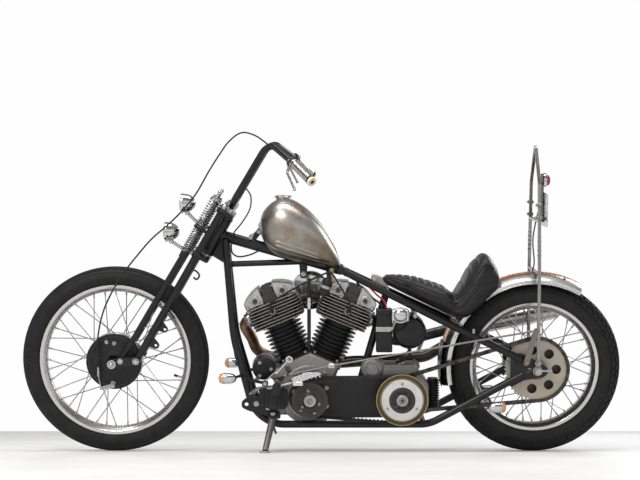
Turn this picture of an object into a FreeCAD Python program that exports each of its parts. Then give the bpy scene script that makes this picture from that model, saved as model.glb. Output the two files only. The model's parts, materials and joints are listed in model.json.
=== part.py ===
import FreeCAD, Part
import math
import os

# Chopper motorcycle: rigid tube frame, spring fork, air-cooled V-twin, open belt primary.
# Every piece is drawn on the upright machine in millimetres, with +X forward, +Y left,
# +Z up, the ground at z = 0 and x = 0 half way along. place() then leans it to the left
# onto its side stand and sets its box over the origin.

# Whole machine
lean_angle = 11.0
wheelbase = 1560.0
seat_gap = 0.2
run_gap = 5.0
soft_gap = 0.6

# Wheels
front_tyre_radius = 348.0
front_tyre_half_width = 41.0
front_tyre_depth = 67.0
front_rim_radius = front_tyre_radius - front_tyre_depth
front_rim_half_width = 27.0
rear_tyre_radius = 323.0
rear_tyre_half_width = 56.0
rear_tyre_depth = 83.0
rear_rim_radius = rear_tyre_radius - rear_tyre_depth
rear_rim_half_width = 33.0
rim_wall = 3.0
rim_depth = 26.0
bead_lift = 6.0
bead_depth = 9.0
tyre_angles = (0.0, 27.0, 60.0)
spoke_count = 40
spoke_half = 1.8
spoke_lacing = 34.0
spoke_end_gap = 1.0
axle_radius = 10.0
axle_bore_gap = 0.4

# Front hub and brake
front_hub_barrel = 24.0
front_flange_radius = 52.0
front_flange_y = -40.0
hub_flange_wall = 5.0
front_drum_radius = 100.0
front_drum_inner_y = 16.0
front_drum_outer_y = 51.0
drum_wall = 5.0
brake_plate_radius = 103.5
brake_plate_wall = 7.0
brake_arm_length = 62.0
brake_cable_radius = 3.0
cable_sides = 6

# Rear hub, drum and final drive
rear_hub_barrel = 30.0
rear_flange_radius = 62.0
rear_flange_y = -45.0
rear_drum_radius = 100.0
rear_drum_inner_y = 24.0
rear_drum_outer_y = 62.0
chain_line = 86.0
chain_pitch = 15.875
chain_plate_height = 15.0
chain_half_width = 10.0
chain_side_play = 2.0
sprocket_wall = 6.0
sprocket_teeth = 46
sprocket_hole_count = 7
sprocket_hole_radius = 18.0
sprocket_hole_circle = 73.0
gearbox_sprocket_teeth = 24

# Steering head and spring fork, along the raked steering axis
rake_angle = 30.0
neck_x = 391.0
neck_z = 815.0
neck_half_length = 80.0
neck_radius = 27.0
stem_radius = 12.5
crown_wall = 14.0
crown_gap = 5.5
crown_reach = 19.0
leg_side = 90.0
rear_leg_radius = 14.0
rear_leg_forward = 21.6
front_leg_radius = 12.0
front_leg_top_forward = 64.0
front_leg_top_up = -112.0
rocker_length = 57.0
rocker_drop = 27.8
rear_eye_lift = 51.0
leg_eye_proud = 1.0
rocker_side = 106.0
rocker_wall = 10.0
axle_forward = 92.9
spring_side = 55.0
spring_radius = 21.0
spring_rod_radius = 6.0
lower_spring_length = 104.0
upper_spring_length = 106.0
spring_turns = 7
spring_wire = 6.5
spring_inner_gap = 4.0
spring_sides = 18
perch_wall = 12.0
steering_limit = 32.0

# Handlebar
bar_radius = 12.7
bar_rise_side = 110.0
bar_base_side = 60.0
bar_top_x = 190.0
bar_top_z = 1160.0
grip_start_x = 107.7
grip_start_z = 1094.0
grip_start_side = 230.0
grip_end_x = 32.7
grip_end_z = 1025.0
grip_end_side = 345.0
grip_radius = 17.0
lever_length = 150.0

# Lamps
lamp_radius = 36.0
lamp_length = 62.0
lamp_lip = 5.0
lamp_sides = 24
lamp_forward = 150.0
upper_lamp_up = 48.0
lower_lamp_up = -74.0
lens_wall = 9.0
signal_radius = 19.5
signal_length = 66.0
signal_lens_length = 18.0
signal_sides = 20
signal_side = 170.0

# Frame tubes
tube_sides = 16
thin_sides = 8
backbone_radius = 20.5
backbone_rear_x = -75.0
backbone_rear_z = 683.0
downtube_radius = 13.5
rail_side = 118.0
rail_z = 125.0
rail_front_x = 236.0
rail_rear_x = -395.0
rail_bend = 130.0
stay_radius = 13.5
seat_post_radius = 14.0
seat_post_top_x = -243.0
seat_post_foot_x = -105.0
stay_knee_x = -520.0
stay_knee_side = 113.0
stay_end_side = 117.0
tube_joint_z = 170.0
brace_radius = 11.0
brace_z = 704.0
gusset_wall = 6.0
cross_tube_radius = 11.0
axle_plate_side = 114.0
axle_plate_wall = 8.0

# Engine
crank_x = 42.0
crank_z = 222.6
cylinder_angle = 22.5
case_radius = 116.0
case_half_width = 60.0
deck_height = 145.0
barrel_core = 52.0
barrel_fin = 74.0
barrel_fin_count = 9
barrel_sides = 36
fin_wall = 3.6
fin_tip_wall = 2.4
head_joint = 292.0
head_top = 378.0
head_half_length = 104.0
head_half_width = 82.0
head_fin_count = 7
rocker_top = 444.0
rocker_half_length = 98.0
rocker_half_width = 60.0
rocker_boss_x = 54.0
rocker_boss_height = 394.0
rocker_boss_radius = 21.0
valley_gap = 4.0
pushrod_radius = 11.0
pushrod_gap = 3.0
cam_cover_wall = 52.0
cam_cover_top = 110.0
tappet_block_height = 14.0
generator_x = 214.0
generator_z = 322.0
generator_radius = 42.0
exhaust_radius = 20.5
exhaust_port_side = -34.0
intake_port_side = -44.0
port_height = 44.0
manifold_radius = 17.0
air_filter_radius = 74.0
muffler_radius = 34.0
exhaust_side = -152.0
muffler_side = -178.0

# Primary drive and gearbox
engine_pulley_radius = 66.0
clutch_x = -293.0
clutch_z = 225.0
clutch_radius = 94.0
belt_y = 135.0
belt_width = 34.0
belt_wall = 5.0
flange_wall = 4.0
clutch_plate_radius = 76.0
clutch_spider_radius = 45.0
primary_plate_y = 99.0
primary_plate_wall = 3.5
gearbox_front_x = -195.0
gearbox_rear_x = -398.0
gearbox_top_z = 325.0
gearbox_foot_z = 146.0
gearbox_half_width = 68.0

# Tank, seat and rear bodywork
section_sides = 16
tank_front_x = 228.0
tank_rear_x = -68.0
tank_half_width = 113.0
tank_cap_x = 142.0
tank_cap_radius = 31.0
seat_half_width = 135.0
fender_gap = 28.0
fender_radius = rear_tyre_radius + fender_gap
fender_half_width = 68.0
fender_side_depth = 36.0
fender_wall = 2.5
fender_front_angle = -11.0
fender_tail_angle = 120.0
oil_tank_x = -327.0
oil_tank_z = 456.0
oil_tank_radius = 60.0
oil_tank_half_length = 74.0
sissy_side = 128.0
sissy_bar_half = 6.0
sissy_top_z = 1154.0
sissy_foot_lift = 26.0
sissy_knee_drop = 454.0
sissy_shoulder_drop = 144.0
sissy_shoulder_inset = 26.0
cross_bar_drop = 284.0
cross_bar_inset = 14.0
cross_bar_z = sissy_top_z - cross_bar_drop
plate_height = 125.0
plate_width = 230.0
plate_foot_drop = 22.0
plate_foot_z = cross_bar_z - plate_foot_drop
plate_setback = 29.5
plate_wall = 2.0
strap_foot_drop = 8.0
strap_foot_z = cross_bar_z - strap_foot_drop
strap_half_width = 30.0
strap_wall = 3.0
strap_above_lamp = 24.0
strap_arm_height = 4.0
tail_lamp_radius = 27.0
tail_lamp_depth = 11.0
tail_lens_radius = 20.0
tail_lens_reach = 25.0
tail_lamp_drop = 138.0
tail_lamp_z = sissy_top_z - tail_lamp_drop

# Side stand, on a hinge tilted so that the folded leg lies along the rail
stand_pivot_x = 177.0
stand_pivot_y = 146.0
stand_pivot_z = 158.0
stand_foot_x = 203.0
stand_foot_y = 252.0
stand_leg_radius = 9.0
stand_foot_radius = 19.0
stand_foot_wall = 6.0
stand_eye_half = 9.5

# Bored lug ahead of the left rail
front_lug_x = 274.0
front_lug_z = 203.0
front_lug_bore = 7.0

# Foot controls
peg_x = 162.0
peg_z = 275.0
peg_start_side = 175.0
peg_end_side = 262.0
peg_radius = 16.0
control_side = 183.0

LEAN = math.radians(lean_angle)
RAKE = math.radians(rake_angle)
ORIGIN = FreeCAD.Vector(0, 0, 0)
AXIS_X = FreeCAD.Vector(1, 0, 0)
AXIS_Y = FreeCAD.Vector(0, 1, 0)
AXIS_Z = FreeCAD.Vector(0, 0, 1)


def vec(x, y, z):
    return FreeCAD.Vector(x, y, z)


def rod(start, end, radius):
    run = end - start
    return Part.makeCylinder(radius, run.Length, start, run)


def prism_rod(start, end, radius, sides):
    """Straight many-sided bar, for what is thin or repeats often."""
    return bar_section(start, end - start, radius, sides).extrude(end - start)


def cross_rod(x, z, y_start, y_end, radius):
    return rod(vec(x, y_start, z), vec(x, y_end, z), radius)


def mirrored(shape):
    return shape.mirror(ORIGIN, AXIS_Y)


def pair(shape):
    return [shape, mirrored(shape)]


def fused(shapes):
    if len(shapes) == 1:
        return shapes[0]
    return shapes[0].multiFuse(shapes[1:]).removeSplitter()


def bar_section(start, run, radius, sides):
    """Face across a bar: round, or many-sided where sides is given."""
    if not sides:
        return Part.Face(Part.Wire([Part.makeCircle(radius, start, run)]))
    across = run.cross(AXIS_Y).normalize() * radius
    corners = [start + FreeCAD.Rotation(run, 360.0 * index / sides).multVec(across)
               for index in range(sides)]
    return outline_face(corners)


def bent_rod(points, bend, radius, sides=0):
    """Straight runs joined by tangent bends; bend is one radius or one for each corner."""
    section = bar_section(points[0], points[1] - points[0], radius, sides)
    place = points[0]
    pieces = []
    for index in range(1, len(points) - 1):
        corner = points[index]
        bend_radius = bend[index - 1] if isinstance(bend, (list, tuple)) else bend
        back = (points[index - 1] - corner).normalize()
        ahead = (points[index + 1] - corner).normalize()
        turn = math.pi - back.getAngle(ahead)
        tangent = bend_radius * math.tan(turn / 2)
        run = corner + back * tangent - place
        pieces.append(section.extrude(run))
        section.translate(run)
        centre = corner + (back + ahead).normalize() * (bend_radius / math.cos(turn / 2))
        axis = ahead.cross(back)
        pieces.append(section.revolve(centre, axis, math.degrees(turn)))
        section.rotate(centre, axis, math.degrees(turn))
        place = corner + ahead * tangent
    pieces.append(section.extrude(points[-1] - place))
    return fused(pieces)


def outline_face(points):
    return Part.Face(Part.makePolygon(points + [points[0]]))


def side_plate(points_xz, y_start, y_end):
    face = outline_face([vec(x, y_start, z) for x, z in points_xz])
    return face.extrude(vec(0, y_end - y_start, 0))


def wheel_ring(points_yr, centre_x, centre_z, start_angle=0.0, sweep=360.0):
    """Solid swept about the lateral axis through a centre; angles run up from +X."""
    face = outline_face([vec(centre_x + r, y, centre_z) for y, r in points_yr])
    centre = vec(centre_x, 0, centre_z)
    face.rotate(centre, AXIS_Y, -start_angle)
    return face.revolve(centre, vec(0, -1, 0), sweep)


def turned(profile, sides):
    """Many-sided turned piece about the Z axis, from a closed profile of (r, z) points."""
    rings = []
    for index in range(sides):
        angle = 2 * math.pi * index / sides
        rings.append([vec(r * math.cos(angle), r * math.sin(angle), z) for r, z in profile])
    faces = []
    for index in range(sides):
        first = rings[index]
        second = rings[(index + 1) % sides]
        for step in range(len(profile)):
            after = (step + 1) % len(profile)
            corners = [first[step], first[after], second[after], second[step]]
            if profile[step][0] == 0:
                corners.pop(3)
            if profile[after][0] == 0:
                corners.pop(1)
            if len(corners) > 2:
                faces.append(outline_face(corners))
    return closed_solid(faces)


def disc(x, z, y_start, y_end, outer, inner=0.0):
    shape = cross_rod(x, z, y_start, y_end, outer)
    if inner > 0:
        shape = shape.cut(cross_rod(x, z, y_start, y_end, inner))
    return shape


def belt_wire(first, first_radius, second, second_radius, y):
    """Outline round two circles in the side plane, given as (x, z) centres."""
    along_x = second[0] - first[0]
    along_z = second[1] - first[1]
    distance = math.hypot(along_x, along_z)
    heading = math.atan2(along_z, along_x)
    spread = math.acos((first_radius - second_radius) / distance)

    def spot(centre, radius, angle):
        return vec(centre[0] + radius * math.cos(angle), y, centre[1] + radius * math.sin(angle))

    first_high = spot(first, first_radius, heading + spread)
    first_low = spot(first, first_radius, heading - spread)
    first_back = spot(first, first_radius, heading + math.pi)
    second_high = spot(second, second_radius, heading + spread)
    second_low = spot(second, second_radius, heading - spread)
    second_far = spot(second, second_radius, heading)
    return Part.Wire([
        Part.Arc(first_low, first_back, first_high).toShape(),
        Part.LineSegment(first_high, second_high).toShape(),
        Part.Arc(second_high, second_far, second_low).toShape(),
        Part.LineSegment(second_low, first_low).toShape(),
    ])


def belt_band(first, first_radius, second, second_radius, wall, y_start, y_end):
    outer = Part.Face(belt_wire(first, first_radius + wall, second, second_radius + wall, y_start))
    inner = Part.Face(belt_wire(first, first_radius, second, second_radius, y_start))
    return outer.cut(inner).extrude(vec(0, y_end - y_start, 0))


def tyre_points(radius, half_width, rim_radius, rim_half_width):
    """Tyre section as (y, r): a many-sided crown, closed across the rim's mouth."""
    centre = radius - half_width
    reach = math.acos((rim_radius + bead_lift - centre) / half_width)
    left = [math.radians(angle) for angle in tyre_angles] + [reach]
    angles = [-angle for angle in reversed(left)] + left[1:]
    points = [(half_width * math.sin(angle), centre + half_width * math.cos(angle))
              for angle in angles]
    bead = rim_half_width - rim_wall - seat_gap
    foot = rim_radius + seat_gap
    return points + [(bead, foot), (-bead, foot)]


def axle_height(radius, half_width, rim_radius, rim_half_width):
    """Height of an axle above the ground line when the leaning tyre touches the ground."""
    points = tyre_points(radius, half_width, rim_radius, rim_half_width)
    return max(r + y * math.tan(LEAN) for y, r in points)


front_axle_z = axle_height(
    front_tyre_radius, front_tyre_half_width, front_rim_radius, front_rim_half_width)
rear_axle_z = axle_height(
    rear_tyre_radius, rear_tyre_half_width, rear_rim_radius, rear_rim_half_width)
axle_up = (front_axle_z - neck_z - axle_forward * math.sin(RAKE)) / math.cos(RAKE)
front_axle_x = neck_x + axle_forward * math.cos(RAKE) - axle_up * math.sin(RAKE)
rear_axle_x = front_axle_x - wheelbase
rear_leg_eye_up = axle_up + rear_eye_lift


def sprocket_radius(teeth):
    return chain_pitch / (2 * math.sin(math.pi / teeth))


rear_sprocket_radius = sprocket_radius(sprocket_teeth)
gearbox_sprocket_radius = sprocket_radius(gearbox_sprocket_teeth)


def fork_point(forward, side, up):
    """Place in the fork's own frame: ahead of, beside and along the steering axis."""
    x = neck_x + forward * math.cos(RAKE) - up * math.sin(RAKE)
    z = neck_z + forward * math.sin(RAKE) + up * math.cos(RAKE)
    return vec(x, side, z)


def fork_bar(forward_start, forward_end, up_start, up_end, side):
    """Block across the fork between -side and +side."""
    corners = [
        fork_point(forward_start, -side, up_start),
        fork_point(forward_end, -side, up_start),
        fork_point(forward_end, -side, up_end),
        fork_point(forward_start, -side, up_end),
    ]
    return outline_face(corners).extrude(vec(0, 2 * side, 0))


def engine_place(shape, side):
    """Tilt a piece drawn upright on the crank to the front (+1) or rear (-1) cylinder."""
    shape.rotate(ORIGIN, AXIS_Y, side * cylinder_angle)
    shape.translate(vec(crank_x, 0, crank_z))
    return shape


def engine_valley(side):
    """Space past the middle of the V, which fins of one cylinder keep out of."""
    size = 4 * case_radius
    start = crank_x + side * valley_gap / 2
    low = start - size if side > 0 else start
    return Part.makeBox(size, 2 * size, 2 * size, vec(low, -size, crank_z - size))


# Wheels

def make_tyre(radius, half_width, rim_radius, rim_half_width, x, z):
    return wheel_ring(tyre_points(radius, half_width, rim_radius, rim_half_width), x, z)


def rim_points(rim_radius, half_width):
    inner = rim_radius - rim_depth
    seat = rim_radius - bead_depth
    well = half_width * 0.5
    edge = half_width - rim_wall
    return [
        (-half_width, rim_radius),
        (-half_width, seat - rim_wall),
        (-well, inner),
        (well, inner),
        (half_width, seat - rim_wall),
        (half_width, rim_radius),
        (edge, rim_radius),
        (edge, seat),
        (well, inner + rim_wall),
        (-well, inner + rim_wall),
        (-edge, seat),
        (-edge, rim_radius),
    ]


def make_rim(rim_radius, half_width, x, z):
    return wheel_ring(rim_points(rim_radius, half_width), x, z)


def spokes(rim_radius, flanges, x, z):
    """Laced spokes: each flange is (y, radius at the flange, y at the rim)."""
    rim_inner = rim_radius - rim_depth
    lacing = math.radians(spoke_lacing)
    count = spoke_count // 2
    shapes = []
    for flange_index, (flange_y, flange_radius, rim_y) in enumerate(flanges):
        for index in range(count):
            rim_angle = 2 * math.pi * (index + 0.5 * flange_index) / count
            turn = lacing if index % 2 else -lacing
            start = vec(
                x + flange_radius * math.cos(rim_angle + turn), flange_y,
                z + flange_radius * math.sin(rim_angle + turn))
            end = vec(x + rim_inner * math.cos(rim_angle), rim_y,
                      z + rim_inner * math.sin(rim_angle))
            along = (end - start).normalize()
            shapes.append(prism_rod(start, end - along * spoke_end_gap, spoke_half, 4))
    return shapes


def hub_bore(x, z):
    return cross_rod(x, z, -200, 200, axle_radius + axle_bore_gap)


def front_hub():
    x, z = front_axle_x, front_axle_z
    end = front_flange_y - hub_flange_wall
    wall = drum_wall
    profile = [
        (end - 6, axle_radius),
        (end - 6, front_hub_barrel - 4),
        (end, front_hub_barrel - 4),
        (end, front_flange_radius),
        (front_flange_y, front_flange_radius),
        (front_flange_y, front_hub_barrel),
        (front_drum_inner_y - wall, front_hub_barrel),
        (front_drum_inner_y, front_drum_radius - wall),
        (front_drum_inner_y, front_drum_radius + wall),
        (front_drum_inner_y + wall, front_drum_radius + wall),
        (front_drum_inner_y + wall, front_drum_radius),
        (front_drum_outer_y, front_drum_radius),
        (front_drum_outer_y, front_drum_radius - wall),
        (front_drum_inner_y + wall, front_drum_radius - wall),
        (front_drum_inner_y + wall, axle_radius),
    ]
    flanges = [
        (front_drum_inner_y + wall / 2, front_drum_radius + 1, 6),
        (front_flange_y - hub_flange_wall / 2, front_flange_radius - 3, -6),
    ]
    body = fused([wheel_ring(profile, x, z)] + spokes(front_rim_radius, flanges, x, z))
    return body.cut(hub_bore(x, z))


def rear_hub():
    x, z = rear_axle_x, rear_axle_z
    end = rear_flange_y - hub_flange_wall
    wall = drum_wall
    boss_end = chain_line - sprocket_wall / 2
    profile = [
        (end - 12, axle_radius),
        (end - 12, rear_hub_barrel - 4),
        (end, rear_hub_barrel - 4),
        (end, rear_flange_radius),
        (rear_flange_y, rear_flange_radius),
        (rear_flange_y, rear_hub_barrel),
        (rear_drum_inner_y - wall, rear_hub_barrel),
        (rear_drum_inner_y, rear_drum_radius - wall),
        (rear_drum_inner_y, rear_drum_radius + wall),
        (rear_drum_inner_y + wall, rear_drum_radius + wall),
        (rear_drum_inner_y + wall, rear_drum_radius),
        (rear_drum_outer_y, rear_drum_radius),
        (rear_drum_outer_y, rear_hub_barrel + 10),
        (boss_end - seat_gap, rear_hub_barrel + 10),
        (boss_end - seat_gap, axle_radius),
    ]
    flanges = [
        (rear_drum_inner_y + wall / 2, rear_drum_radius + 1, 8),
        (rear_flange_y - hub_flange_wall / 2, rear_flange_radius - 3, -8),
    ]
    body = fused([wheel_ring(profile, x, z)] + spokes(rear_rim_radius, flanges, x, z))
    return body.cut(hub_bore(x, z))


def toothed_disc(x, z, pitch_radius, teeth, y_start, y_end):
    """Sprocket blank with one low tooth for each chain roller gap."""
    root = pitch_radius - chain_pitch * 0.32
    tip = pitch_radius + chain_pitch * 0.13
    points = []
    for index in range(teeth):
        middle = 2 * math.pi * index / teeth
        step = 2 * math.pi / teeth
        for share, radius in ((-0.30, root), (-0.12, tip), (0.12, tip), (0.30, root)):
            angle = middle + share * step
            points.append((x + radius * math.cos(angle), z + radius * math.sin(angle)))
    return side_plate(points, y_start, y_end)


def rear_sprocket():
    x, z = rear_axle_x, rear_axle_z
    low = chain_line - sprocket_wall / 2
    high = chain_line + sprocket_wall / 2
    body = toothed_disc(x, z, rear_sprocket_radius, sprocket_teeth, low, high)
    body = body.fuse(disc(x, z, high, high + 4, 34))
    cuts = [cross_rod(x, z, low - 1, high + 20, axle_radius + axle_bore_gap)]
    for index in range(sprocket_hole_count):
        angle = 2 * math.pi * (index + 0.5) / sprocket_hole_count
        hole_x = x + sprocket_hole_circle * math.cos(angle)
        hole_z = z + sprocket_hole_circle * math.sin(angle)
        cuts.append(cross_rod(hole_x, hole_z, low - 1, high + 1, sprocket_hole_radius))
    return body.cut(cuts)


# Steering

def fork_trees():
    """Top tree, stem and lower crown, bored for the rear legs."""
    top_start = neck_half_length + crown_gap
    top = fork_bar(-26, rear_leg_forward + crown_reach, top_start, top_start + crown_wall,
                   leg_side + 22)
    low = fork_bar(-26, rear_leg_forward + crown_reach, -top_start - crown_wall, -top_start,
                   leg_side + 22)
    stem = rod(fork_point(0, 0, -top_start - crown_wall),
               fork_point(0, 0, top_start + crown_wall + 10), stem_radius)
    body = fused([top, low, stem])
    hole = rear_leg_radius + seat_gap
    for side in (-leg_side, leg_side):
        body = body.cut(rod(fork_point(rear_leg_forward, side, -150),
                            fork_point(rear_leg_forward, side, 150), hole))
    return body


def leg_eye(forward, up, radius):
    low = fork_point(forward, leg_side - rear_leg_radius - leg_eye_proud, up)
    high = fork_point(forward, rocker_side - seat_gap, up)
    return rod(low, high, radius)


def perch_up():
    """Height on the steering axis of the perch between the two springs."""
    return front_leg_top_up + lower_spring_length + perch_wall


def fork_perch():
    """Cross bar between the springs, with the upper lamp's arm."""
    low = perch_up() - perch_wall / 2
    high = perch_up() + perch_wall / 2
    body = fork_bar(front_leg_top_forward - spring_radius, front_leg_top_forward + spring_radius,
                    low, high, leg_side + 8)
    lamp_arm = rod(fork_point(front_leg_top_forward, 0, perch_up()),
                   fork_point(lamp_forward, 0, upper_lamp_up - lamp_radius), 7)
    return body.fuse(lamp_arm)


def fork_rear_legs():
    """Rigid legs with the rocker eyes at their feet and the spring perch between them."""
    top = neck_half_length + crown_gap + crown_wall + 4
    leg = rod(fork_point(rear_leg_forward, leg_side, rear_leg_eye_up),
              fork_point(rear_leg_forward, leg_side, top), rear_leg_radius)
    eye = leg_eye(rear_leg_forward, rear_leg_eye_up, 17)
    arm = rod(fork_point(rear_leg_forward, leg_side, perch_up()),
              fork_point(front_leg_top_forward, leg_side, perch_up()), 7)
    side = fused([leg, eye, arm])
    body = fused([side, mirrored(side), fork_perch()])
    for rod_side in (-spring_side, spring_side):
        body = body.cut(rod(fork_point(front_leg_top_forward, rod_side, perch_up() - 40),
                            fork_point(front_leg_top_forward, rod_side, perch_up() + 40),
                            spring_rod_radius + seat_gap))
    return cut_lamps(body)


def cut_lamps(body):
    """Clear an arm away from the lamp bowls that it carries."""
    for centre in lamp_centres():
        half = lamp_length / 2
        body = body.cut(rod(centre - AXIS_X * half, centre + AXIS_X * half,
                            lamp_radius + seat_gap))
    return body


def front_leg_foot():
    forward = rear_leg_forward + math.sqrt(rocker_length ** 2 - rocker_drop ** 2)
    return forward, rear_leg_eye_up - rocker_drop


def fork_front_legs():
    forward, up = front_leg_foot()
    leg = rod(fork_point(forward, leg_side, up),
              fork_point(front_leg_top_forward, leg_side, front_leg_top_up), front_leg_radius)
    leg = leg.fuse(leg_eye(forward, up, 14))
    bridge = fork_bar(front_leg_top_forward - 16, front_leg_top_forward + 16,
                      front_leg_top_up, front_leg_top_up + perch_wall / 2, leg_side + 14)
    lamp_arm = rod(fork_point(front_leg_top_forward, 0, front_leg_top_up + perch_wall / 4),
                   fork_point(lamp_forward, 0, lower_lamp_up - lamp_radius), 7)
    body = cut_lamps(fused([leg, mirrored(leg), bridge, lamp_arm]))
    for side in (-spring_side, spring_side):
        hole = rod(fork_point(front_leg_top_forward, side, front_leg_top_up - 40),
                   fork_point(front_leg_top_forward, side, front_leg_top_up + 40),
                   spring_rod_radius + seat_gap)
        body = body.cut(hole)
    return body


def coil_spring(side, up_start, length):
    """Coils drawn as stacked rings on the spring rod's line."""
    pitch = length / spring_turns
    inner = spring_rod_radius + spring_inner_gap
    root = spring_radius - spring_wire
    profile = [(inner, 0), (root, 0)]
    for index in range(spring_turns):
        profile.append((spring_radius, (index + 0.5) * pitch))
        profile.append((root, (index + 1) * pitch))
    profile.append((inner, length))
    coil = turned(profile, spring_sides)
    coil.rotate(ORIGIN, AXIS_Y, -rake_angle)
    coil.translate(fork_point(front_leg_top_forward, side, up_start))
    return coil


def fork_springs():
    low = front_leg_top_up + perch_wall / 2 + seat_gap
    low_length = perch_up() - perch_wall / 2 - seat_gap - low
    high = perch_up() + perch_wall / 2 + seat_gap
    shapes = []
    for side in (-spring_side, spring_side):
        shapes.append(coil_spring(side, low, low_length))
        shapes.append(coil_spring(side, high, upper_spring_length))
    return Part.makeCompound(shapes)


def spring_rods():
    high = perch_up() + perch_wall / 2 + upper_spring_length + 2 * seat_gap
    shapes = []
    for side in (-spring_side, spring_side):
        shaft = rod(fork_point(front_leg_top_forward, side, front_leg_top_up - 10),
                    fork_point(front_leg_top_forward, side, high + 26), spring_rod_radius)
        cap = rod(fork_point(front_leg_top_forward, side, high),
                  fork_point(front_leg_top_forward, side, high + 9), spring_radius - 3)
        foot = rod(fork_point(front_leg_top_forward, side, front_leg_top_up - 10),
                   fork_point(front_leg_top_forward, side, front_leg_top_up - seat_gap), 11)
        shapes.append(fused([shaft, cap, foot]))
    return Part.makeCompound(shapes)


def fork_rockers():
    """Rocker links outside the legs, with the wheel axle between them."""
    front_forward, front_up = front_leg_foot()
    points = [(rear_leg_forward, rear_leg_eye_up, 15), (front_forward, front_up, 13),
              (axle_forward, axle_up, 16)]
    link = None
    for forward, up, radius in points:
        boss = rod(fork_point(forward, rocker_side, up),
                   fork_point(forward, rocker_side + rocker_wall, up), radius)
        link = boss if link is None else link.fuse(boss)
    for first, second in ((0, 1), (1, 2), (0, 2)):
        link = link.fuse(link_bar(points[first], points[second]))
    nut = rod(fork_point(rear_leg_forward, rocker_side + rocker_wall, rear_leg_eye_up),
              fork_point(rear_leg_forward, rocker_side + rocker_wall + 9, rear_leg_eye_up), 12)
    axle = cross_rod(front_axle_x, front_axle_z, -rocker_side - 24, rocker_side + 24, axle_radius)
    return fused([link, mirrored(link), nut, mirrored(nut), axle])


def link_bar(first, second):
    start = fork_point(first[0], rocker_side, first[1])
    end = fork_point(second[0], rocker_side, second[1])
    along = (end - start).normalize()
    across = along.cross(AXIS_Y) * 9
    face = outline_face([start + across, end + across, end - across, start - across])
    return face.extrude(vec(0, rocker_wall, 0))


def bar_points():
    base = fork_point(0, bar_base_side, neck_half_length + crown_gap + crown_wall + 26)
    low = vec(base.x - 10, bar_rise_side, base.z + 22)
    top = vec(bar_top_x, bar_rise_side, bar_top_z)
    start = vec(grip_start_x, grip_start_side, grip_start_z)
    end = vec(grip_end_x, grip_end_side, grip_end_z)
    return base, low, top, start, end


def bar_half(grow=0.0):
    base, low, top, start, end = bar_points()
    points = [end, start, top, low, base, vec(base.x, 0, base.z)]
    return bent_rod(points, [40, 45, 45, 25], bar_radius + grow, tube_sides)


def handlebar():
    base = bar_points()[0]
    half = bar_half()
    tree_top = neck_half_length + crown_gap + crown_wall + seat_gap
    riser = rod(fork_point(0, bar_base_side - 18, tree_top),
                vec(base.x, bar_base_side - 18, base.z), 15)
    return fused([half, mirrored(half), riser, mirrored(riser)])


def grips():
    base, low, top, start, end = bar_points()
    along = (end - start).normalize()
    outer = rod(start + along * 20, end + along * 2, grip_radius)
    grip = outer.cut(rod(start, end + along * 9, bar_radius + seat_gap))
    return Part.makeCompound(pair(grip))


def hand_levers():
    base, low, top, start, end = bar_points()
    along = (end - start).normalize()
    clamp_start = start + along * 1.5
    clamp = rod(clamp_start, start + along * 18, bar_radius + 8)
    down = vec(0.5, 0, -0.87)
    pivot = clamp_start + along * 8 + down * (bar_radius + 5)
    tip = pivot + along * lever_length * 0.55 + down * 46
    blade = bent_rod([pivot, pivot + down * 22, tip], 12, 4.5, thin_sides)
    bore = bar_half(seat_gap)
    left = clamp.fuse(blade)
    cable_stop = vec(*brake_cable_points[0])
    middle = clamp_start + along * 8
    ferrule = rod(vec(middle.x, -middle.y, middle.z), cable_stop, 5)
    right = mirrored(left).fuse(ferrule)
    return Part.makeCompound([left.cut(bore), right.cut(mirrored(bore))])


def lamp_centres():
    return [fork_point(lamp_forward, 0, upper_lamp_up), fork_point(lamp_forward, 0, lower_lamp_up)]


def facing(shape, way, centre):
    """Turn a piece drawn along Z to face forward (+1) or back (-1) at a centre."""
    shape.rotate(ORIGIN, AXIS_Y, way * 90)
    shape.translate(centre)
    return shape


def lamp_shell(centre):
    """Bowl of one lamp, facing forward, with its open front closed by the lens."""
    half = lamp_length / 2
    rim = half - lens_wall
    profile = [
        (0, -half), (10, -half), (21, -half + 8), (30, -half + 22), (lamp_radius - 2, rim - 6),
        (lamp_radius, rim - 4), (lamp_radius, rim + 2), (lamp_radius - lamp_lip, rim + 2),
        (lamp_radius - lamp_lip, rim), (0, rim),
    ]
    return facing(turned(profile, lamp_sides), 1, centre)


def lamp_lens(centre):
    half = lamp_length / 2
    start = half - lens_wall + seat_gap
    edge = lamp_radius - lamp_lip - seat_gap
    profile = [(0, start), (edge, start), (edge, start + 3), (edge / 2, half - 2), (0, half)]
    return facing(turned(profile, lamp_sides), 1, centre)


def headlamps():
    return Part.makeCompound([lamp_shell(centre) for centre in lamp_centres()])


def headlamp_lenses():
    return Part.makeCompound([lamp_lens(centre) for centre in lamp_centres()])


def front_brake_plate():
    x, z = front_axle_x, front_axle_z
    low = front_drum_outer_y + run_gap
    high = low + brake_plate_wall
    body = disc(x, z, low, high, brake_plate_radius)
    body = body.fuse(disc(x, z, high, leg_side - rear_leg_radius - 6, 26))
    foot = vec(x + brake_arm_length * 0.75, high + 6, z - brake_plate_radius + 4)
    arm_root = vec(x + 4, high + 6, z - brake_plate_radius + 16)
    pivot = cross_rod(arm_root.x, arm_root.z, high - 1, high + 9, 9)
    arm = rod(arm_root, foot, 5)
    ear_high = leg_side - rear_leg_radius - leg_eye_proud - seat_gap
    eye = fork_point(rear_leg_forward, 0, rear_leg_eye_up)
    ear = cross_rod(eye.x + 6, eye.z, high - 1, ear_high, 10)
    body = fused([body, pivot, arm, ear])
    return body.cut(cross_rod(x, z, low - 9, rocker_side, axle_radius + seat_gap))


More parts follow.
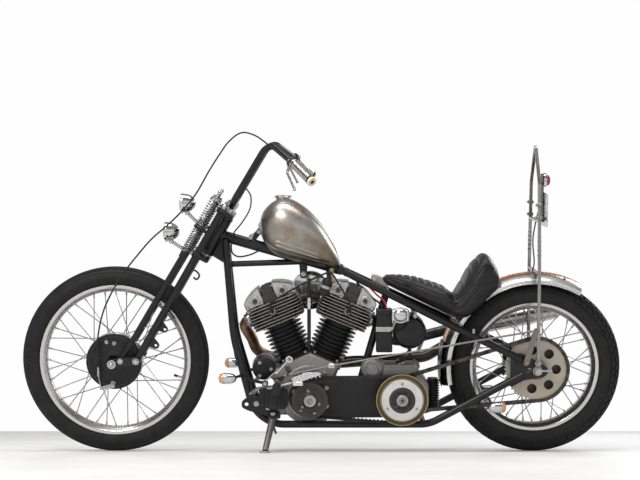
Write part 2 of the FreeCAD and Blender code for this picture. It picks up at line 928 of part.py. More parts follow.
brake_cable_points = [
    (141, -232, 1106), (172, -212, 1120), (208, -184, 1148), (252, -142, 1180), (300, -88, 1191),
    (344, -44, 1160), (376, -8, 1114), (412, 40, 1054), (460, 80, 968), (512, 96, 905),
    (560, 101, 858), (620, 101, 806), (676, 100, 742), (726, 98, 678), (768, 95, 610),
    (800, 91, 540), (820, 86, 460), (827, 81, 380), (824, 76, 312),
]


def cord_radii(points):
    """Largest even arc at each corner of a cord's route."""
    radii = []
    for index in range(1, len(points) - 1):
        back = points[index - 1] - points[index]
        ahead = points[index + 1] - points[index]
        turn = math.pi - back.getAngle(ahead)
        shorter = min(back.Length, ahead.Length)
        radii.append(0.45 * shorter / math.tan(turn / 2))
    return radii


def front_brake_cable():
    points = [vec(*point) for point in brake_cable_points]
    points[0] = points[0] + (points[1] - points[0]).normalize() * 1.6
    return bent_rod(points, cord_radii(points), brake_cable_radius, cable_sides)


# Frame

def stay_end():
    return vec(rear_axle_x + 60, stay_end_side, rear_axle_z + 42)


def stay_point(x):
    """Place on the straight front run of an upper stay."""
    start = vec(backbone_rear_x, 20, backbone_rear_z)
    share = (x - start.x) / (stay_knee_x - start.x)
    slope = (stay_end().z - start.z) / (stay_end().x - start.x)
    return vec(x, start.y + (stay_knee_side - start.y) * share, start.z + slope * (x - start.x))


def stay_tube(grow=0.0):
    return bent_rod([stay_point(backbone_rear_x - 6), stay_point(stay_knee_x), stay_end()],
                    260, stay_radius + grow, tube_sides)


def backbone_point(x):
    start = fork_point(0, 0, 2)
    share = (x - start.x) / (backbone_rear_x - start.x)
    return vec(x, 0, start.z + (backbone_rear_z - start.z) * share)


def neck_solid():
    return rod(fork_point(0, 0, -neck_half_length), fork_point(0, 0, neck_half_length), neck_radius)


def frame_spine():
    """Steering head, backbone, front brace and gusset, welded into one."""
    backbone = rod(fork_point(0, 0, 2), backbone_point(backbone_rear_x), backbone_radius)
    brace_start = vec(342, 0, brace_z)
    brace_end = vec(60, 0, brace_z + 10)
    brace = rod(brace_start, brace_end, brace_radius)
    corner = fork_point(-6, 0, -neck_half_length + 4)
    gusset = side_plate(
        [(corner.x, corner.z), (352, brace_z), (362, brace_z + 60), (corner.x - 40, corner.z + 90)],
        -gusset_wall / 2, gusset_wall / 2)
    cross = cross_rod(342, brace_z, -34, 34, brace_radius)
    mount_z = backbone_point(62).z
    mount = side_plate([(50, mount_z - 8), (84, mount_z - 8), (78, 652), (56, 652)], -9, 9)
    stay_stub = cross_rod(backbone_rear_x, backbone_rear_z, -36, 36, 15)
    body = fused([neck_solid(), backbone, brace, gusset, cross, mount, stay_stub])
    body = body.cut(rod(fork_point(0, 0, -120), fork_point(0, 0, 140), stem_radius + 1.0))
    return body.cut(fused(downtube_solids(seat_gap)))


def cradle_tube(grow=0.0):
    """One side's tube from the steering head down and back to the axle plate."""
    points = [
        vec(356, 26, 798), vec(324, 72, 440), vec(rail_front_x, rail_side, rail_z),
        vec(rail_rear_x, rail_side, rail_z), vec(rear_axle_x + 55, rail_side, rear_axle_z - 14)]
    return bent_rod(points, [500, rail_bend, rail_bend], downtube_radius + grow, tube_sides)


def above_joint(height):
    """Space above the joint between downtube and rail."""
    return Part.makeBox(4000, 2000, 2000, vec(-2000, -1000, height))


def downtube_solids(grow=0.0):
    tube = cradle_tube(grow).common(above_joint(tube_joint_z + seat_gap))
    front = Part.makeBox(400, 2000, 2000, vec(120, -1000, 0))
    return pair(tube.common(front))


def frame_downtubes():
    backbone = rod(fork_point(0, 0, 2), backbone_point(backbone_rear_x),
                   backbone_radius + seat_gap)
    neck = rod(fork_point(0, 0, -neck_half_length), fork_point(0, 0, neck_half_length),
               neck_radius + seat_gap)
    return Part.makeCompound([tube.cut(backbone).cut(neck) for tube in downtube_solids()])


def rail_tube(grow=0.0):
    front = Part.makeBox(400, 2000, 2000, vec(120, -1000, tube_joint_z))
    return cradle_tube(grow).cut(front)


def axle_plate(grow=0.0):
    x, z = rear_axle_x, rear_axle_z
    points = [(x + 100, z + 62), (x + 62, z + 66), (x - 20, z + 24), (x - 38, z + 8),
              (x - 38, z - 8), (x - 20, z - 24), (x + 50, z - 34), (x + 100, z - 62)]
    low = axle_plate_side - grow
    high = axle_plate_side + axle_plate_wall + grow
    return side_plate(points, low, high)


def cross_tube_places():
    return rail_front_x - 50, seat_post_foot_x, rail_rear_x + 20


def cross_tube(x, grow=0.0):
    return cross_rod(x, rail_z, -rail_side, rail_side, cross_tube_radius + grow)


def frame_rails():
    """Bottom rails with the cross tubes that carry the engine and gearbox."""
    rail = rail_tube().cut(axle_plate(seat_gap))
    body = fused(pair(rail) + [cross_tube(x) for x in cross_tube_places()])
    return body.cut(seat_post(seat_gap))


def seat_post(grow=0.0):
    top = stay_point(seat_post_top_x)
    return rod(vec(seat_post_foot_x, 0, rail_z), vec(seat_post_top_x, 0, top.z),
               seat_post_radius + grow)


def frame_stays():
    """Upper stays, axle plates and the seat post under their cross tube."""
    stay = stay_tube().cut(cross_rod(backbone_rear_x, backbone_rear_z, -60, 60, 15 + seat_gap))
    side = stay.fuse(axle_plate())
    side = side.cut(cross_rod(rear_axle_x, rear_axle_z, 90, 150, axle_radius + seat_gap))
    top = stay_point(seat_post_top_x)
    cross = cross_rod(seat_post_top_x, top.z, -top.y, top.y, 11)
    return fused([side, mirrored(side), cross, seat_post()])


def rear_axle():
    x, z = rear_axle_x, rear_axle_z
    edge = axle_plate_side + axle_plate_wall + seat_gap
    shaft = cross_rod(x, z, -edge - 22, edge + 22, axle_radius)
    pieces = [shaft]
    for side in (1, -1):
        pieces.append(cross_rod(x, z, side * edge, side * (edge + 12), 16))
        spacer_end = axle_plate_side - seat_gap
        pieces.append(cross_rod(x, z, side * (spacer_end - 10), side * spacer_end, 15))
    return fused(pieces)


# Engine

def crankcase():
    x, z = crank_x, crank_z
    body = disc(x, z, -case_half_width, case_half_width, case_radius)
    pieces = [body]
    for side in (1, -1):
        deck = Part.makeBox(124, 2 * case_half_width - 4, deck_height - 40,
                            vec(-62, -case_half_width + 2, 40))
        pieces.append(engine_place(deck, side))
    pieces.append(disc(x, z, case_half_width, primary_plate_y - seat_gap, 82))
    cam = side_plate(
        [(x - 95, z - 30), (x - 60, z - 80), (x + 70, z - 80), (x + 125, z + 20),
         (x + 175, z + 60), (x + 180, z + cam_cover_top), (x - 86, z + cam_cover_top)],
        -case_half_width - cam_cover_wall, -case_half_width)
    pieces.append(cam)
    for lug_x in cross_tube_places()[:2]:
        lug = side_plate([(lug_x - 16, rail_z + 16), (lug_x + 16, rail_z + 16),
                          (x + (lug_x - x) * 0.5, z - 20), (x + (lug_x - x) * 0.6, z - 60)], -50, 50)
        pieces.append(lug)
    case = fused(pieces)
    shaft = cross_rod(x, z, case_half_width + 10, primary_plate_y + 60, 22 + seat_gap)
    tubes = [cross_tube(tube_x, seat_gap) for tube_x in cross_tube_places()[:2]]
    return case.cut(shaft).cut(tubes).cut(seat_post(seat_gap))


def barrel(side):
    pitch = (head_joint - deck_height - 8) / barrel_fin_count
    profile = [(0, deck_height + seat_gap), (barrel_core, deck_height + seat_gap)]
    for index in range(barrel_fin_count):
        base = deck_height + 8 + index * pitch
        profile.append((barrel_core, base))
        profile.append((barrel_fin, base + pitch / 2 - fin_tip_wall / 2))
        profile.append((barrel_fin, base + pitch / 2 + fin_tip_wall / 2))
    profile.append((barrel_core, head_joint))
    profile.append((0, head_joint))
    body = turned(profile, barrel_sides)
    return engine_place(body, side).cut(engine_valley(side))


def cylinders():
    return Part.makeCompound([barrel(1), barrel(-1)])


def port_boss(x_end, side_y, radius):
    """Port through the fins at one end of a head, drawn upright on the crank."""
    height = head_joint + port_height
    return rod(vec(0, side_y, height), vec(x_end, side_y, height), radius)


def head(side):
    low = head_joint + seat_gap
    pitch = (head_top - low) / head_fin_count
    core = Part.makeBox(136, 116, head_top - low, vec(-68, -58, low))
    pieces = [core]
    for index in range(head_fin_count):
        base = low + index * pitch
        trim = 8 * abs(index - head_fin_count / 2)
        length = head_half_length - trim * 0.5
        fin = Part.makeBox(2 * length, 2 * head_half_width, fin_wall,
                           vec(-length, -head_half_width, base))
        upright = [edge for edge in fin.Edges if abs(edge.tangentAt(0).z) > 0.9]
        pieces.append(fin.makeFillet(26, upright))
    pieces.append(port_boss(side * head_half_length, exhaust_port_side, exhaust_radius + 5))
    pieces.append(port_boss(-side * head_half_length, intake_port_side, manifold_radius + 3))
    body = fused(pieces)
    return engine_place(body, side).cut(engine_valley(side))


def cylinder_heads():
    return Part.makeCompound([head(1), head(-1)])


def rocker_box(side):
    low = head_top + seat_gap
    shoulder = rocker_top - 38
    reach = rocker_half_length
    edges = [
        Part.LineSegment(vec(-reach, 0, low), vec(-reach, 0, shoulder)).toShape(),
        Part.Arc(vec(-reach, 0, shoulder), vec(0, 0, rocker_top), vec(reach, 0, shoulder)).toShape(),
        Part.LineSegment(vec(reach, 0, shoulder), vec(reach, 0, low)).toShape(),
        Part.LineSegment(vec(reach, 0, low), vec(-reach, 0, low)).toShape(),
    ]
    face = Part.Face(Part.Wire(edges))
    face.translate(vec(0, -rocker_half_width, 0))
    body = face.extrude(vec(0, 2 * rocker_half_width, 0))
    groove = Part.makeBox(10, 2 * rocker_half_width + 2, 14,
                          vec(-5, -rocker_half_width - 1, rocker_top - 9))
    body = body.cut(groove)
    for boss_x in (-rocker_boss_x, rocker_boss_x):
        body = body.fuse(cross_rod(boss_x, rocker_boss_height + 8, -rocker_half_width - 8,
                                   rocker_half_width + 8, rocker_boss_radius))
        body = body.fuse(cross_rod(boss_x, rocker_boss_height + 8, rocker_half_width + 7,
                                   rocker_half_width + 16, 9))
    return engine_place(body, side).cut(engine_valley(side))


def rocker_boxes():
    return Part.makeCompound([rocker_box(1), rocker_box(-1)])


def pushrod_tubes():
    """Four covers on the right side, from the tappet block to the rocker boxes."""
    side_y = -head_half_width - pushrod_radius - pushrod_gap
    block_low = crank_z + cam_cover_top + seat_gap
    block_high = block_low + tappet_block_height
    block = side_plate([(crank_x - 84, block_low), (crank_x + 84, block_low),
                        (crank_x + 80, block_high), (crank_x - 80, block_high)],
                       side_y - 15, side_y + 15)
    shapes = [block]
    for side in (1, -1):
        tilt = math.radians(side * cylinder_angle)
        for foot_offset, top_offset in ((22, -30), (62, 34)):
            start = vec(crank_x + side * foot_offset, side_y, block_high - 2)
            height = head_top - 8
            along = top_offset * side
            end = vec(crank_x + height * math.sin(tilt) + along * math.cos(tilt), side_y,
                      crank_z + height * math.cos(tilt) - along * math.sin(tilt))
            shapes.append(rod(start, end, pushrod_radius))
    return fused(shapes)


def generator():
    return cross_rod(generator_x, generator_z, -case_half_width + seat_gap, 78, generator_radius)


def port_point(end, side, side_y, out):
    """Place out from the port face at one end (+1 front, -1 rear) of a head."""
    tilt = math.radians(side * cylinder_angle)
    along = end * (head_half_length + out)
    height = head_joint + port_height
    return vec(crank_x + along * math.cos(tilt) + height * math.sin(tilt), side_y,
               crank_z + height * math.cos(tilt) - along * math.sin(tilt))


def air_cleaner():
    """Manifold between the heads, carburettor and round filter on the right."""
    pieces = [rod(port_point(-side, side, intake_port_side, seat_gap),
                  port_point(-side, side, intake_port_side, 36), manifold_radius)
              for side in (1, -1)]
    middle = vec(crank_x, intake_port_side, port_point(-1, 1, 0, 36).z)
    outlet = -head_half_width - 30
    pieces.append(cross_rod(crank_x, middle.z, outlet, intake_port_side, manifold_radius + 2))
    pieces.append(Part.makeBox(70, 60, 66, vec(crank_x - 35, outlet - 56, middle.z - 30)))
    pieces.append(cross_rod(crank_x, middle.z, outlet - 92, outlet - 54, air_filter_radius))
    return fused(pieces)


def exhaust_pipes():
    """Both pipes sweep down from the ports and run back along the right side."""
    side = exhaust_side
    can_start = vec(rear_axle_x + 250, muffler_side, 436)
    can_end = vec(rear_axle_x - 110, muffler_side, 508)
    inside = (can_end - can_start).normalize() * 30
    front = bent_rod(
        [port_point(1, 1, exhaust_port_side, seat_gap), port_point(1, 1, exhaust_port_side, 34),
         vec(262, -78, 412), vec(246, side + 10, 345), vec(130, side, 318),
         vec(-60, side, 306), vec(-400, side, 330), can_start + inside - AXIS_Z * 12],
        [29, 80, 80, 100, 400, 100], exhaust_radius, tube_sides)
    rear = bent_rod(
        [port_point(-1, -1, exhaust_port_side, seat_gap), port_point(-1, -1, exhaust_port_side, 34),
         vec(-226, -110, 420), vec(-300, side - 14, 386), can_start + inside + AXIS_Z * 12],
        [33, 80, 100], exhaust_radius, tube_sides)
    can = rod(can_start, can_end, muffler_radius)
    return fused([front, rear, can])


def engine_pulley():
    x, z = crank_x, crank_z
    edge = belt_y + belt_width
    body = disc(x, z, belt_y, edge, engine_pulley_radius - belt_wall - 2)
    flange = disc(x, z, edge + seat_gap, edge + flange_wall, engine_pulley_radius)
    hub = cross_rod(x, z, case_half_width + 12, edge + 9, 22)
    nut = disc(x, z, edge + 9, edge + 14, 19, 11)
    joint = disc(x, z, edge - 1, edge + 1, 40)
    return fused([body, flange, hub, nut, joint])


def clutch():
    x, z = clutch_x, clutch_z
    edge = belt_y + belt_width
    body = disc(x, z, belt_y, edge, clutch_radius - belt_wall - 3)
    flange = disc(x, z, edge + seat_gap, edge + flange_wall, clutch_radius)
    joint = disc(x, z, edge - 1, edge + 1, 60)
    neck = cross_rod(x, z, primary_plate_y + 12, belt_y + 2, 30)
    return fused([body, flange, joint, neck])


def clutch_cover():
    """Pressure plate, slotted spider and centre ring on the clutch's face."""
    x, z = clutch_x, clutch_z
    start = belt_y + belt_width + flange_wall + seat_gap
    plate = disc(x, z, start, start + 7, clutch_plate_radius)
    spider = disc(x, z, start + 6, start + 13, clutch_spider_radius, 30)
    centre = disc(x, z, start + 6, start + 17, 21, 9)
    arms = []
    for index in range(4):
        angle = 45 + 90 * index
        arm = Part.makeBox(22, 7, 12, vec(15, start + 6, -6))
        arm.rotate(ORIGIN, AXIS_Y, angle)
        arm.translate(vec(x, 0, z))
        arms.append(arm)
    return fused([plate, spider, centre] + arms)


def primary_belt():
    return belt_band(
        (crank_x, crank_z), engine_pulley_radius - belt_wall - 2 + seat_gap,
        (clutch_x, clutch_z), clutch_radius - belt_wall - 3 + seat_gap,
        belt_wall, belt_y + 1, belt_y + belt_width - 1)


def primary_plate():
    """Plate that ties engine and gearbox behind the belt."""
    outer = Part.Face(belt_wire((crank_x, crank_z), 78, (clutch_x, clutch_z), 78, primary_plate_y))
    body = outer.extrude(vec(0, primary_plate_wall, 0))
    body = body.cut(cross_rod(crank_x, crank_z, 60, 130, 30))
    window = cross_rod(clutch_x, clutch_z, 60, 130, 40)
    return body.cut(window)


def gearbox():
    x, z = clutch_x, clutch_z
    half = gearbox_half_width
    body = side_plate(
        [(gearbox_front_x, gearbox_foot_z + 20), (gearbox_front_x - 14, gearbox_foot_z),
         (gearbox_rear_x + 20, gearbox_foot_z), (gearbox_rear_x, gearbox_foot_z + 30),
         (gearbox_rear_x, gearbox_top_z - 60), (gearbox_rear_x + 50, gearbox_top_z),
         (gearbox_front_x - 20, gearbox_top_z), (gearbox_front_x, gearbox_top_z - 24)],
        -half, half)
    lid = cross_rod(-187, 320, 30, half + 12, 40)
    lid = lid.cut(seat_post(2))
    shaft = cross_rod(x, z, half - 1, primary_plate_y + 12 - seat_gap, 30)
    tooth_half = sprocket_wall / 2 + chain_side_play - seat_gap
    sprocket = toothed_disc(x, z, gearbox_sprocket_radius, gearbox_sprocket_teeth,
                            chain_line - tooth_half, chain_line + tooth_half)
    cover = side_plate(
        [(gearbox_front_x - 10, 190), (gearbox_front_x - 60, 160), (gearbox_rear_x + 10, 170),
         (gearbox_rear_x + 4, 270), (gearbox_front_x - 70, 300), (gearbox_front_x - 10, 270)],
        -half - 40, -half)
    foot = Part.makeBox(150, 2 * half - 20, 20,
                        vec(gearbox_rear_x + 26, -half + 10, rail_z + 12))
    box = fused([body, lid, shaft, sprocket, cover, foot])
    return box.cut(cross_tube(cross_tube_places()[2], seat_gap))


def kick_starter():
    """Shaft, upright arm outside the exhaust pipes, and folding pedal."""
    x, z = gearbox_rear_x + 60, 215
    edge = -gearbox_half_width - 40
    arm_side = muffler_side - muffler_radius - 2
    shaft = cross_rod(x, z, arm_side - 10, edge - seat_gap, 12)
    arm = bent_rod([vec(x, arm_side, z), vec(x - 16, arm_side, z + 70),
                    vec(x - 60, arm_side - 8, z + 180)], 60, 8, thin_sides)
    pedal = cross_rod(x - 60, z + 176, arm_side - 60, arm_side - 2, 11)
    return fused([shaft, arm, pedal])


def drive_chain():
    """Final drive chain as one fixed band on the sprockets' pitch line."""
    half = chain_plate_height / 2
    low = chain_line - chain_half_width
    high = chain_line + chain_half_width
    first = (clutch_x, clutch_z)
    second = (rear_axle_x, rear_axle_z)
    band = belt_band(first, gearbox_sprocket_radius - half, second,
                     rear_sprocket_radius - half, chain_plate_height, low, high)
    slot = belt_band(first, gearbox_sprocket_radius - half - 1, second,
                     rear_sprocket_radius - half - 1, chain_plate_height + 1 - 4,
                     chain_line - sprocket_wall / 2 - chain_side_play,
                     chain_line + sprocket_wall / 2 + chain_side_play)
    return band.cut(slot)


# Tank, seat and bodywork

def section_points(x, z_low, z_high, half_width, power):
    """Corners of a rounded section across the machine, boxier as power falls."""
    points = []
    middle = (z_low + z_high) / 2
    half_height = (z_high - z_low) / 2
    for index in range(section_sides):
        angle = 2 * math.pi * index / section_sides
        cosine = math.cos(angle)
        sine = math.sin(angle)
        y = half_width * math.copysign(abs(cosine) ** power, cosine)
        z = middle + half_height * math.copysign(abs(sine) ** power, sine)
        points.append(vec(x, y, z))
    return points


def skinned(rings):
    """Solid between rings of corners, two flat facets to each quarter between rings."""
    faces = [outline_face(rings[0]), outline_face(rings[-1])]
    count = len(rings[0])
    for first, second in zip(rings, rings[1:]):
        for index in range(count):
            after = (index + 1) % count
            faces.append(outline_face([first[index], first[after], second[after]]))
            faces.append(outline_face([first[index], second[after], second[index]]))
    return closed_solid(faces)


def closed_solid(faces):
    solid = Part.Solid(Part.makeShell(faces))
    if solid.Volume < 0:
        solid.reverse()
    return solid.removeSplitter()


tank_stations = [
    (0, 834, 862, 0.28), (8, 804, 892, 0.52), (26, 768, 918, 0.74), (54, 744, 940, 0.92),
    (88, 728, 951, 1.0), (130, 716, 940, 1.0), (185, 704, 902, 0.93), (232, 697, 848, 0.79),
    (266, 694, 790, 0.58), (288, 692, 744, 0.36), (296, 692, 712, 0.22),
]


def tank_outer():
    scale = (tank_front_x - tank_rear_x) / 296.0
    rings = [section_points(tank_front_x - back * scale, low, high, tank_half_width * share, 0.86)
             for back, low, high, share in tank_stations]
    return Part.makeLoft([Part.makePolygon(ring + [ring[0]]) for ring in rings], True, False)


def tank_tunnel():
    """Room under the tank for the backbone."""
    half = backbone_radius + 4
    front = backbone_point(tank_front_x + 40)
    rear = backbone_point(tank_rear_x - 20)
    return side_plate([(front.x, front.z + half + 2), (rear.x, rear.z + half + 2),
                       (rear.x, rear.z - 90), (front.x, front.z - 90)], -half, half)


def fuel_tank():
    nose = rod(vec(220, 0, 844), vec(264, 0, 786), 9)
    backbone = rod(backbone_point(300), backbone_point(180), backbone_radius + seat_gap)
    body = tank_outer().cut(tank_tunnel()).fuse(nose).cut(backbone)
    return body.cut(cross_rod_up(tank_cap_x, 930, 990, tank_cap_radius * 0.72 + seat_gap))


def cross_rod_up(x, z_start, z_end, radius):
    return rod(vec(x, 0, z_start), vec(x, 0, z_end), radius)


def fuel_cap():
    cap = cross_rod_up(tank_cap_x, 951.5, 961, tank_cap_radius)
    neck = cross_rod_up(tank_cap_x, 932, 952, tank_cap_radius * 0.72)
    return cap.fuse(neck)


# Seat sections as (distance ahead of the rear axle, foot, top, share of the half width)
seat_stations = [
    (564, 650, 664, 0.2), (546, 632, 674, 0.36), (492, 604, 668, 0.55), (412, 566, 644, 0.8),
    (342, 533, 620, 0.95), (300, 512, 592, 1.0), (266, 502, 642, 1.0), (236, 520, 702, 1.0),
    (204, 550, 748, 0.93), (172, 585, 738, 0.84), (144, 612, 690, 0.72),
]


def seat():
    rings = [section_points(rear_axle_x + ahead, low, high, seat_half_width * share, 0.7)
             for ahead, low, high, share in seat_stations]
    body = skinned(rings)
    body = body.cut(fender_envelope(soft_gap))
    body = body.cut(pair(stay_tube(soft_gap)))
    return max(body.Solids, key=lambda solid: solid.Volume)


def fender_section(grow=0.0):
    """Rolled section as (y, r): a shallow crown with short sides."""
    half = fender_half_width + grow
    crown = fender_radius + grow
    side = fender_radius - fender_side_depth
    steps = 8
    outer = []
    for index in range(steps + 1):
        share = -1 + 2 * index / steps
        outer.append((half * share, crown - (fender_side_depth - 14) * abs(share) ** 2.6))
    return half, side, outer


def fender_envelope(grow):
    half, side, outer = fender_section(grow)
    points = outer + [(half, side - 120), (-half, side - 120)]
    return wheel_ring(points, rear_axle_x, rear_axle_z, fender_front_angle - 2,
                      fender_tail_angle - fender_front_angle + 4)


def rear_fender():
    half, side, outer = fender_section()
    wall = fender_wall
    inner = [(y * (half - wall) / half, r - wall) for y, r in reversed(outer)]
    points = [(-half, side)] + outer + [(half, side), (half - wall, side)]
    points += inner + [(-half + wall, side)]
    return wheel_ring(points, rear_axle_x, rear_axle_z, fender_front_angle,
                      fender_tail_angle - fender_front_angle)


def square_bar(start, end, half):
    """Square bar that stands across the machine's width plane."""
    along = (end - start).normalize()
    across = along.cross(AXIS_X).normalize() * half
    face = outline_face([start + across + AXIS_X * half, start - across + AXIS_X * half,
                         start - across - AXIS_X * half, start + across - AXIS_X * half])
    return face.extrude(end - start)


def sissy_bar():
    x = rear_axle_x
    half = sissy_bar_half
    side = sissy_side
    foot = vec(x, side, rear_axle_z + sissy_foot_lift)
    knee = vec(x, side, sissy_top_z - sissy_knee_drop)
    shoulder = vec(x, side - sissy_shoulder_inset, sissy_top_z - sissy_shoulder_drop)
    peak = vec(x, 0, sissy_top_z - half)
    leg = square_bar(foot, knee, half)
    pieces = [leg, square_bar(knee, shoulder, half), square_bar(shoulder, peak, half)]
    pieces.append(cross_rod(x, rear_axle_z + 30, axle_plate_side + axle_plate_wall + seat_gap,
                            side + half, 12))
    half_bar = fused(pieces)
    cross = []
    cross.append(cross_rod(x, rear_axle_z + fender_radius + half + seat_gap, -side, side, half))
    bar_end = side - cross_bar_inset
    cross.append(cross_rod(x, cross_bar_z, -bar_end, bar_end, half))
    body = fused([half_bar, mirrored(half_bar), plate_bracket()] + cross)
    return body.cut(cross_rod(x, rear_axle_z, -160, 160, 17))


def plate_bracket():
    """Upright strap on the lower cross bar that holds the plate and the tail lamp."""
    x = plate_x() + plate_wall + seat_gap
    half = strap_half_width
    strap = Part.makeBox(strap_wall, 2 * half, tail_lamp_z + strap_above_lamp - strap_foot_z,
                         vec(x, -half, strap_foot_z))
    arm = Part.makeBox(rear_axle_x - x, 2 * half, strap_arm_height,
                       vec(x, -half, cross_bar_z - strap_arm_height / 2))
    return strap.fuse(arm)


def plate_x():
    return rear_axle_x - plate_setback


def number_plate():
    return Part.makeBox(plate_wall, plate_width, plate_height,
                        vec(plate_x(), -plate_width / 2, plate_foot_z))


def rod_along_x(x_start, x_end, z, radius):
    return rod(vec(x_start, 0, z), vec(x_end, 0, z), radius)


def tail_lamp():
    return rod_along_x(plate_x() + plate_wall, plate_x() - tail_lamp_depth, tail_lamp_z,
                       tail_lamp_radius)


def tail_lens():
    return rod_along_x(plate_x() - tail_lamp_depth - seat_gap, plate_x() - tail_lens_reach,
                       tail_lamp_z, tail_lens_radius)


def oil_tank():
    """Round tank across the frame with its filler and two tabs up to the stays."""
    x, z = oil_tank_x, oil_tank_z
    half = oil_tank_half_length
    points = [(-half, 0), (-half, oil_tank_radius - 12), (-half + 8, oil_tank_radius),
              (half - 8, oil_tank_radius), (half, oil_tank_radius - 12), (half, 0)]
    body = wheel_ring(points, x, z)
    filler = cross_rod(x, z + 30, half - 1, half + 10, 16)
    tab_top = stay_point(x - 18)
    tab = rod(vec(tab_top.x, half - 16, z + oil_tank_radius - 14), tab_top, 6)
    tab = tab.cut(stay_tube(seat_gap))
    return fused([body, filler, tab, mirrored(tab)])


def post_x(z):
    """Fore-and-aft place of the seat post's axis at a height."""
    top = stay_point(seat_post_top_x)
    share = (z - rail_z) / (top.z - rail_z)
    return seat_post_foot_x + (seat_post_top_x - seat_post_foot_x) * share


def battery_box():
    """Closed box held to the seat post by two bosses."""
    body = Part.makeBox(60, 54, 160, vec(-262, 22, 384))
    upright = [edge for edge in body.Edges if abs(edge.tangentAt(0).z) > 0.9]
    body = body.makeFillet(8, upright)
    bosses = [cross_rod(post_x(z), z, 6, 24, 7) for z in (488, 522)]
    return fused([body] + bosses).cut(seat_post(seat_gap))


def regulator():
    return Part.makeBox(66, 34, 46, vec(-322, 78, 503))


def ignition_coil():
    """Coil can beside the rear rocker box, on an arm from the backbone."""
    foot = vec(-5, 84, 600)
    top = foot + vec(-22, 0, 60)
    arm = rod(top + vec(2, 0, -8), backbone_point(-20), 5)
    backbone = rod(backbone_point(60), backbone_point(backbone_rear_x), backbone_radius + seat_gap)
    return rod(foot, top, 20).fuse(arm).cut(backbone)


# Drivetrain controls, signals and stand

def foot_pegs():
    peg = cross_rod(peg_x, peg_z, peg_start_side, peg_end_side, peg_radius)
    mount = bent_rod([vec(266, 103, 232), vec(230, 150, 262),
                      vec(peg_x, peg_start_side + 4, peg_z)], 20, 8, thin_sides)
    body = peg.fuse(mount).cut(cradle_tube(seat_gap))
    return Part.makeCompound(pair(body))


def foot_controls():
    """Long pedal arm with a ring at its tip, on a stay from each downtube."""
    side = control_side
    arm = bent_rod([vec(204, side, 288), vec(160, side, 330), vec(117, side, 377)], 200, 5,
                   thin_sides)
    ring = disc(117, 377, side - 6, side + 6, 13, 6)
    shaft = cross_rod(204, 288, side - 16, side + 4, 8)
    support = rod(vec(280, 95, 288), vec(204, side - 8, 288), 6)
    body = fused([arm, ring, shaft, support]).cut(cradle_tube(seat_gap))
    return Part.makeCompound(pair(body))


def brake_linkage():
    """Long rod from the left foot control to the lever beside the rear axle."""
    rear = vec(rear_axle_x + 12, 150, 476)
    clevis = vec(-35, 168, 350)
    front = vec(128, 168, 314)
    shaft = rod(front, clevis, 4).fuse(rod(clevis, rear, 3.5))
    yoke = rod(clevis + vec(9, 0, 2), clevis + vec(-9, 0, -2), 8)
    pivot = vec(rear_axle_x + 46, 150, rear_axle_z + 34)
    lever = link_plate(rear, pivot, 145, 5, 9)
    pin = cross_rod(rear.x, rear.z, 144, 156, 5)
    stud = cross_rod(pivot.x, pivot.z, axle_plate_side + axle_plate_wall + seat_gap, 152, 8)
    return fused([shaft, yoke, lever, pin, stud])


def link_plate(start, end, y_start, wall, half):
    first = vec(start.x, y_start, start.z)
    second = vec(end.x, y_start, end.z)
    along = (second - first).normalize()
    across = along.cross(AXIS_Y) * half
    face = outline_face([first + across, second + across, second - across, first - across])
    return face.extrude(vec(0, wall, 0))


def signal(x, z, side, way):
    """Bullet indicator whose lens faces forward (+1) or back (-1)."""
    back = -signal_length / 2
    front = signal_length / 2 - signal_lens_length
    profile = [(0, back), (6, back), (14, back + 7), (signal_radius - 1, back + 20),
               (signal_radius, front), (0, front)]
    return facing(turned(profile, signal_sides), way, vec(x, side, z))


def signal_lens(x, z, side, way):
    front = signal_length / 2 - signal_lens_length + seat_gap
    tip = signal_length / 2
    profile = [(0, front), (signal_radius, front), (signal_radius - 3, tip - 5), (0, tip)]
    return facing(turned(profile, signal_sides), way, vec(x, side, z))


signal_places = [(341.0, 304.0, 1), (-638.5, 197.0, -1)]


def turn_signals():
    front_x, front_z, way = signal_places[0]
    root = vec(286, 104, 304)
    front = signal(front_x, front_z, signal_side, way)
    front = front.fuse(rod(root, vec(front_x - 12, signal_side - 8, front_z), 5))
    rear_x, rear_z, way = signal_places[1]
    rear = signal(rear_x, rear_z, signal_side, way)
    rear = rear.fuse(rod(vec(-600, rail_side, 238), vec(rear_x + 10, signal_side - 8, rear_z), 5))
    tube = cradle_tube(seat_gap)
    return Part.makeCompound(pair(front.cut(tube)) + pair(rear.cut(tube)))


def signal_lenses():
    shapes = []
    for x, z, way in signal_places:
        shapes += pair(signal_lens(x, z, signal_side, way))
    return Part.makeCompound(shapes)


def stand_axis():
    """Hinge line of the stand, square to both the lowered and the folded leg."""
    lowered = (stand_foot_point() - stand_pivot_point()).normalize()
    folded = vec(-1, 0.25, -0.25).normalize()
    return lowered.cross(folded).normalize()


def stand_pivot_point():
    return vec(stand_pivot_x, stand_pivot_y, stand_pivot_z)


def stand_foot_point():
    z = (stand_foot_y * math.sin(LEAN) + stand_foot_wall / 2) / math.cos(LEAN)
    return vec(stand_foot_x, stand_foot_y, z)


def unlean(shape):
    shape.rotate(ORIGIN, AXIS_X, lean_angle)
    return shape


def side_stand():
    pivot = stand_pivot_point()
    foot = stand_foot_point()
    along = (foot - pivot).normalize()
    leg = rod(pivot, foot - along * 6, stand_leg_radius)
    axis = stand_axis()
    eye = rod(pivot - axis * stand_eye_half, pivot + axis * stand_eye_half, 16)
    spot = foot.y * math.cos(LEAN) + foot.z * math.sin(LEAN)
    pad = Part.makeCylinder(stand_foot_radius, stand_foot_wall, vec(foot.x, spot, 0), AXIS_Z)
    body = fused([leg, eye, unlean(pad)])
    return body.cut(rod(pivot - axis * 20, pivot + axis * 20, 6.4))


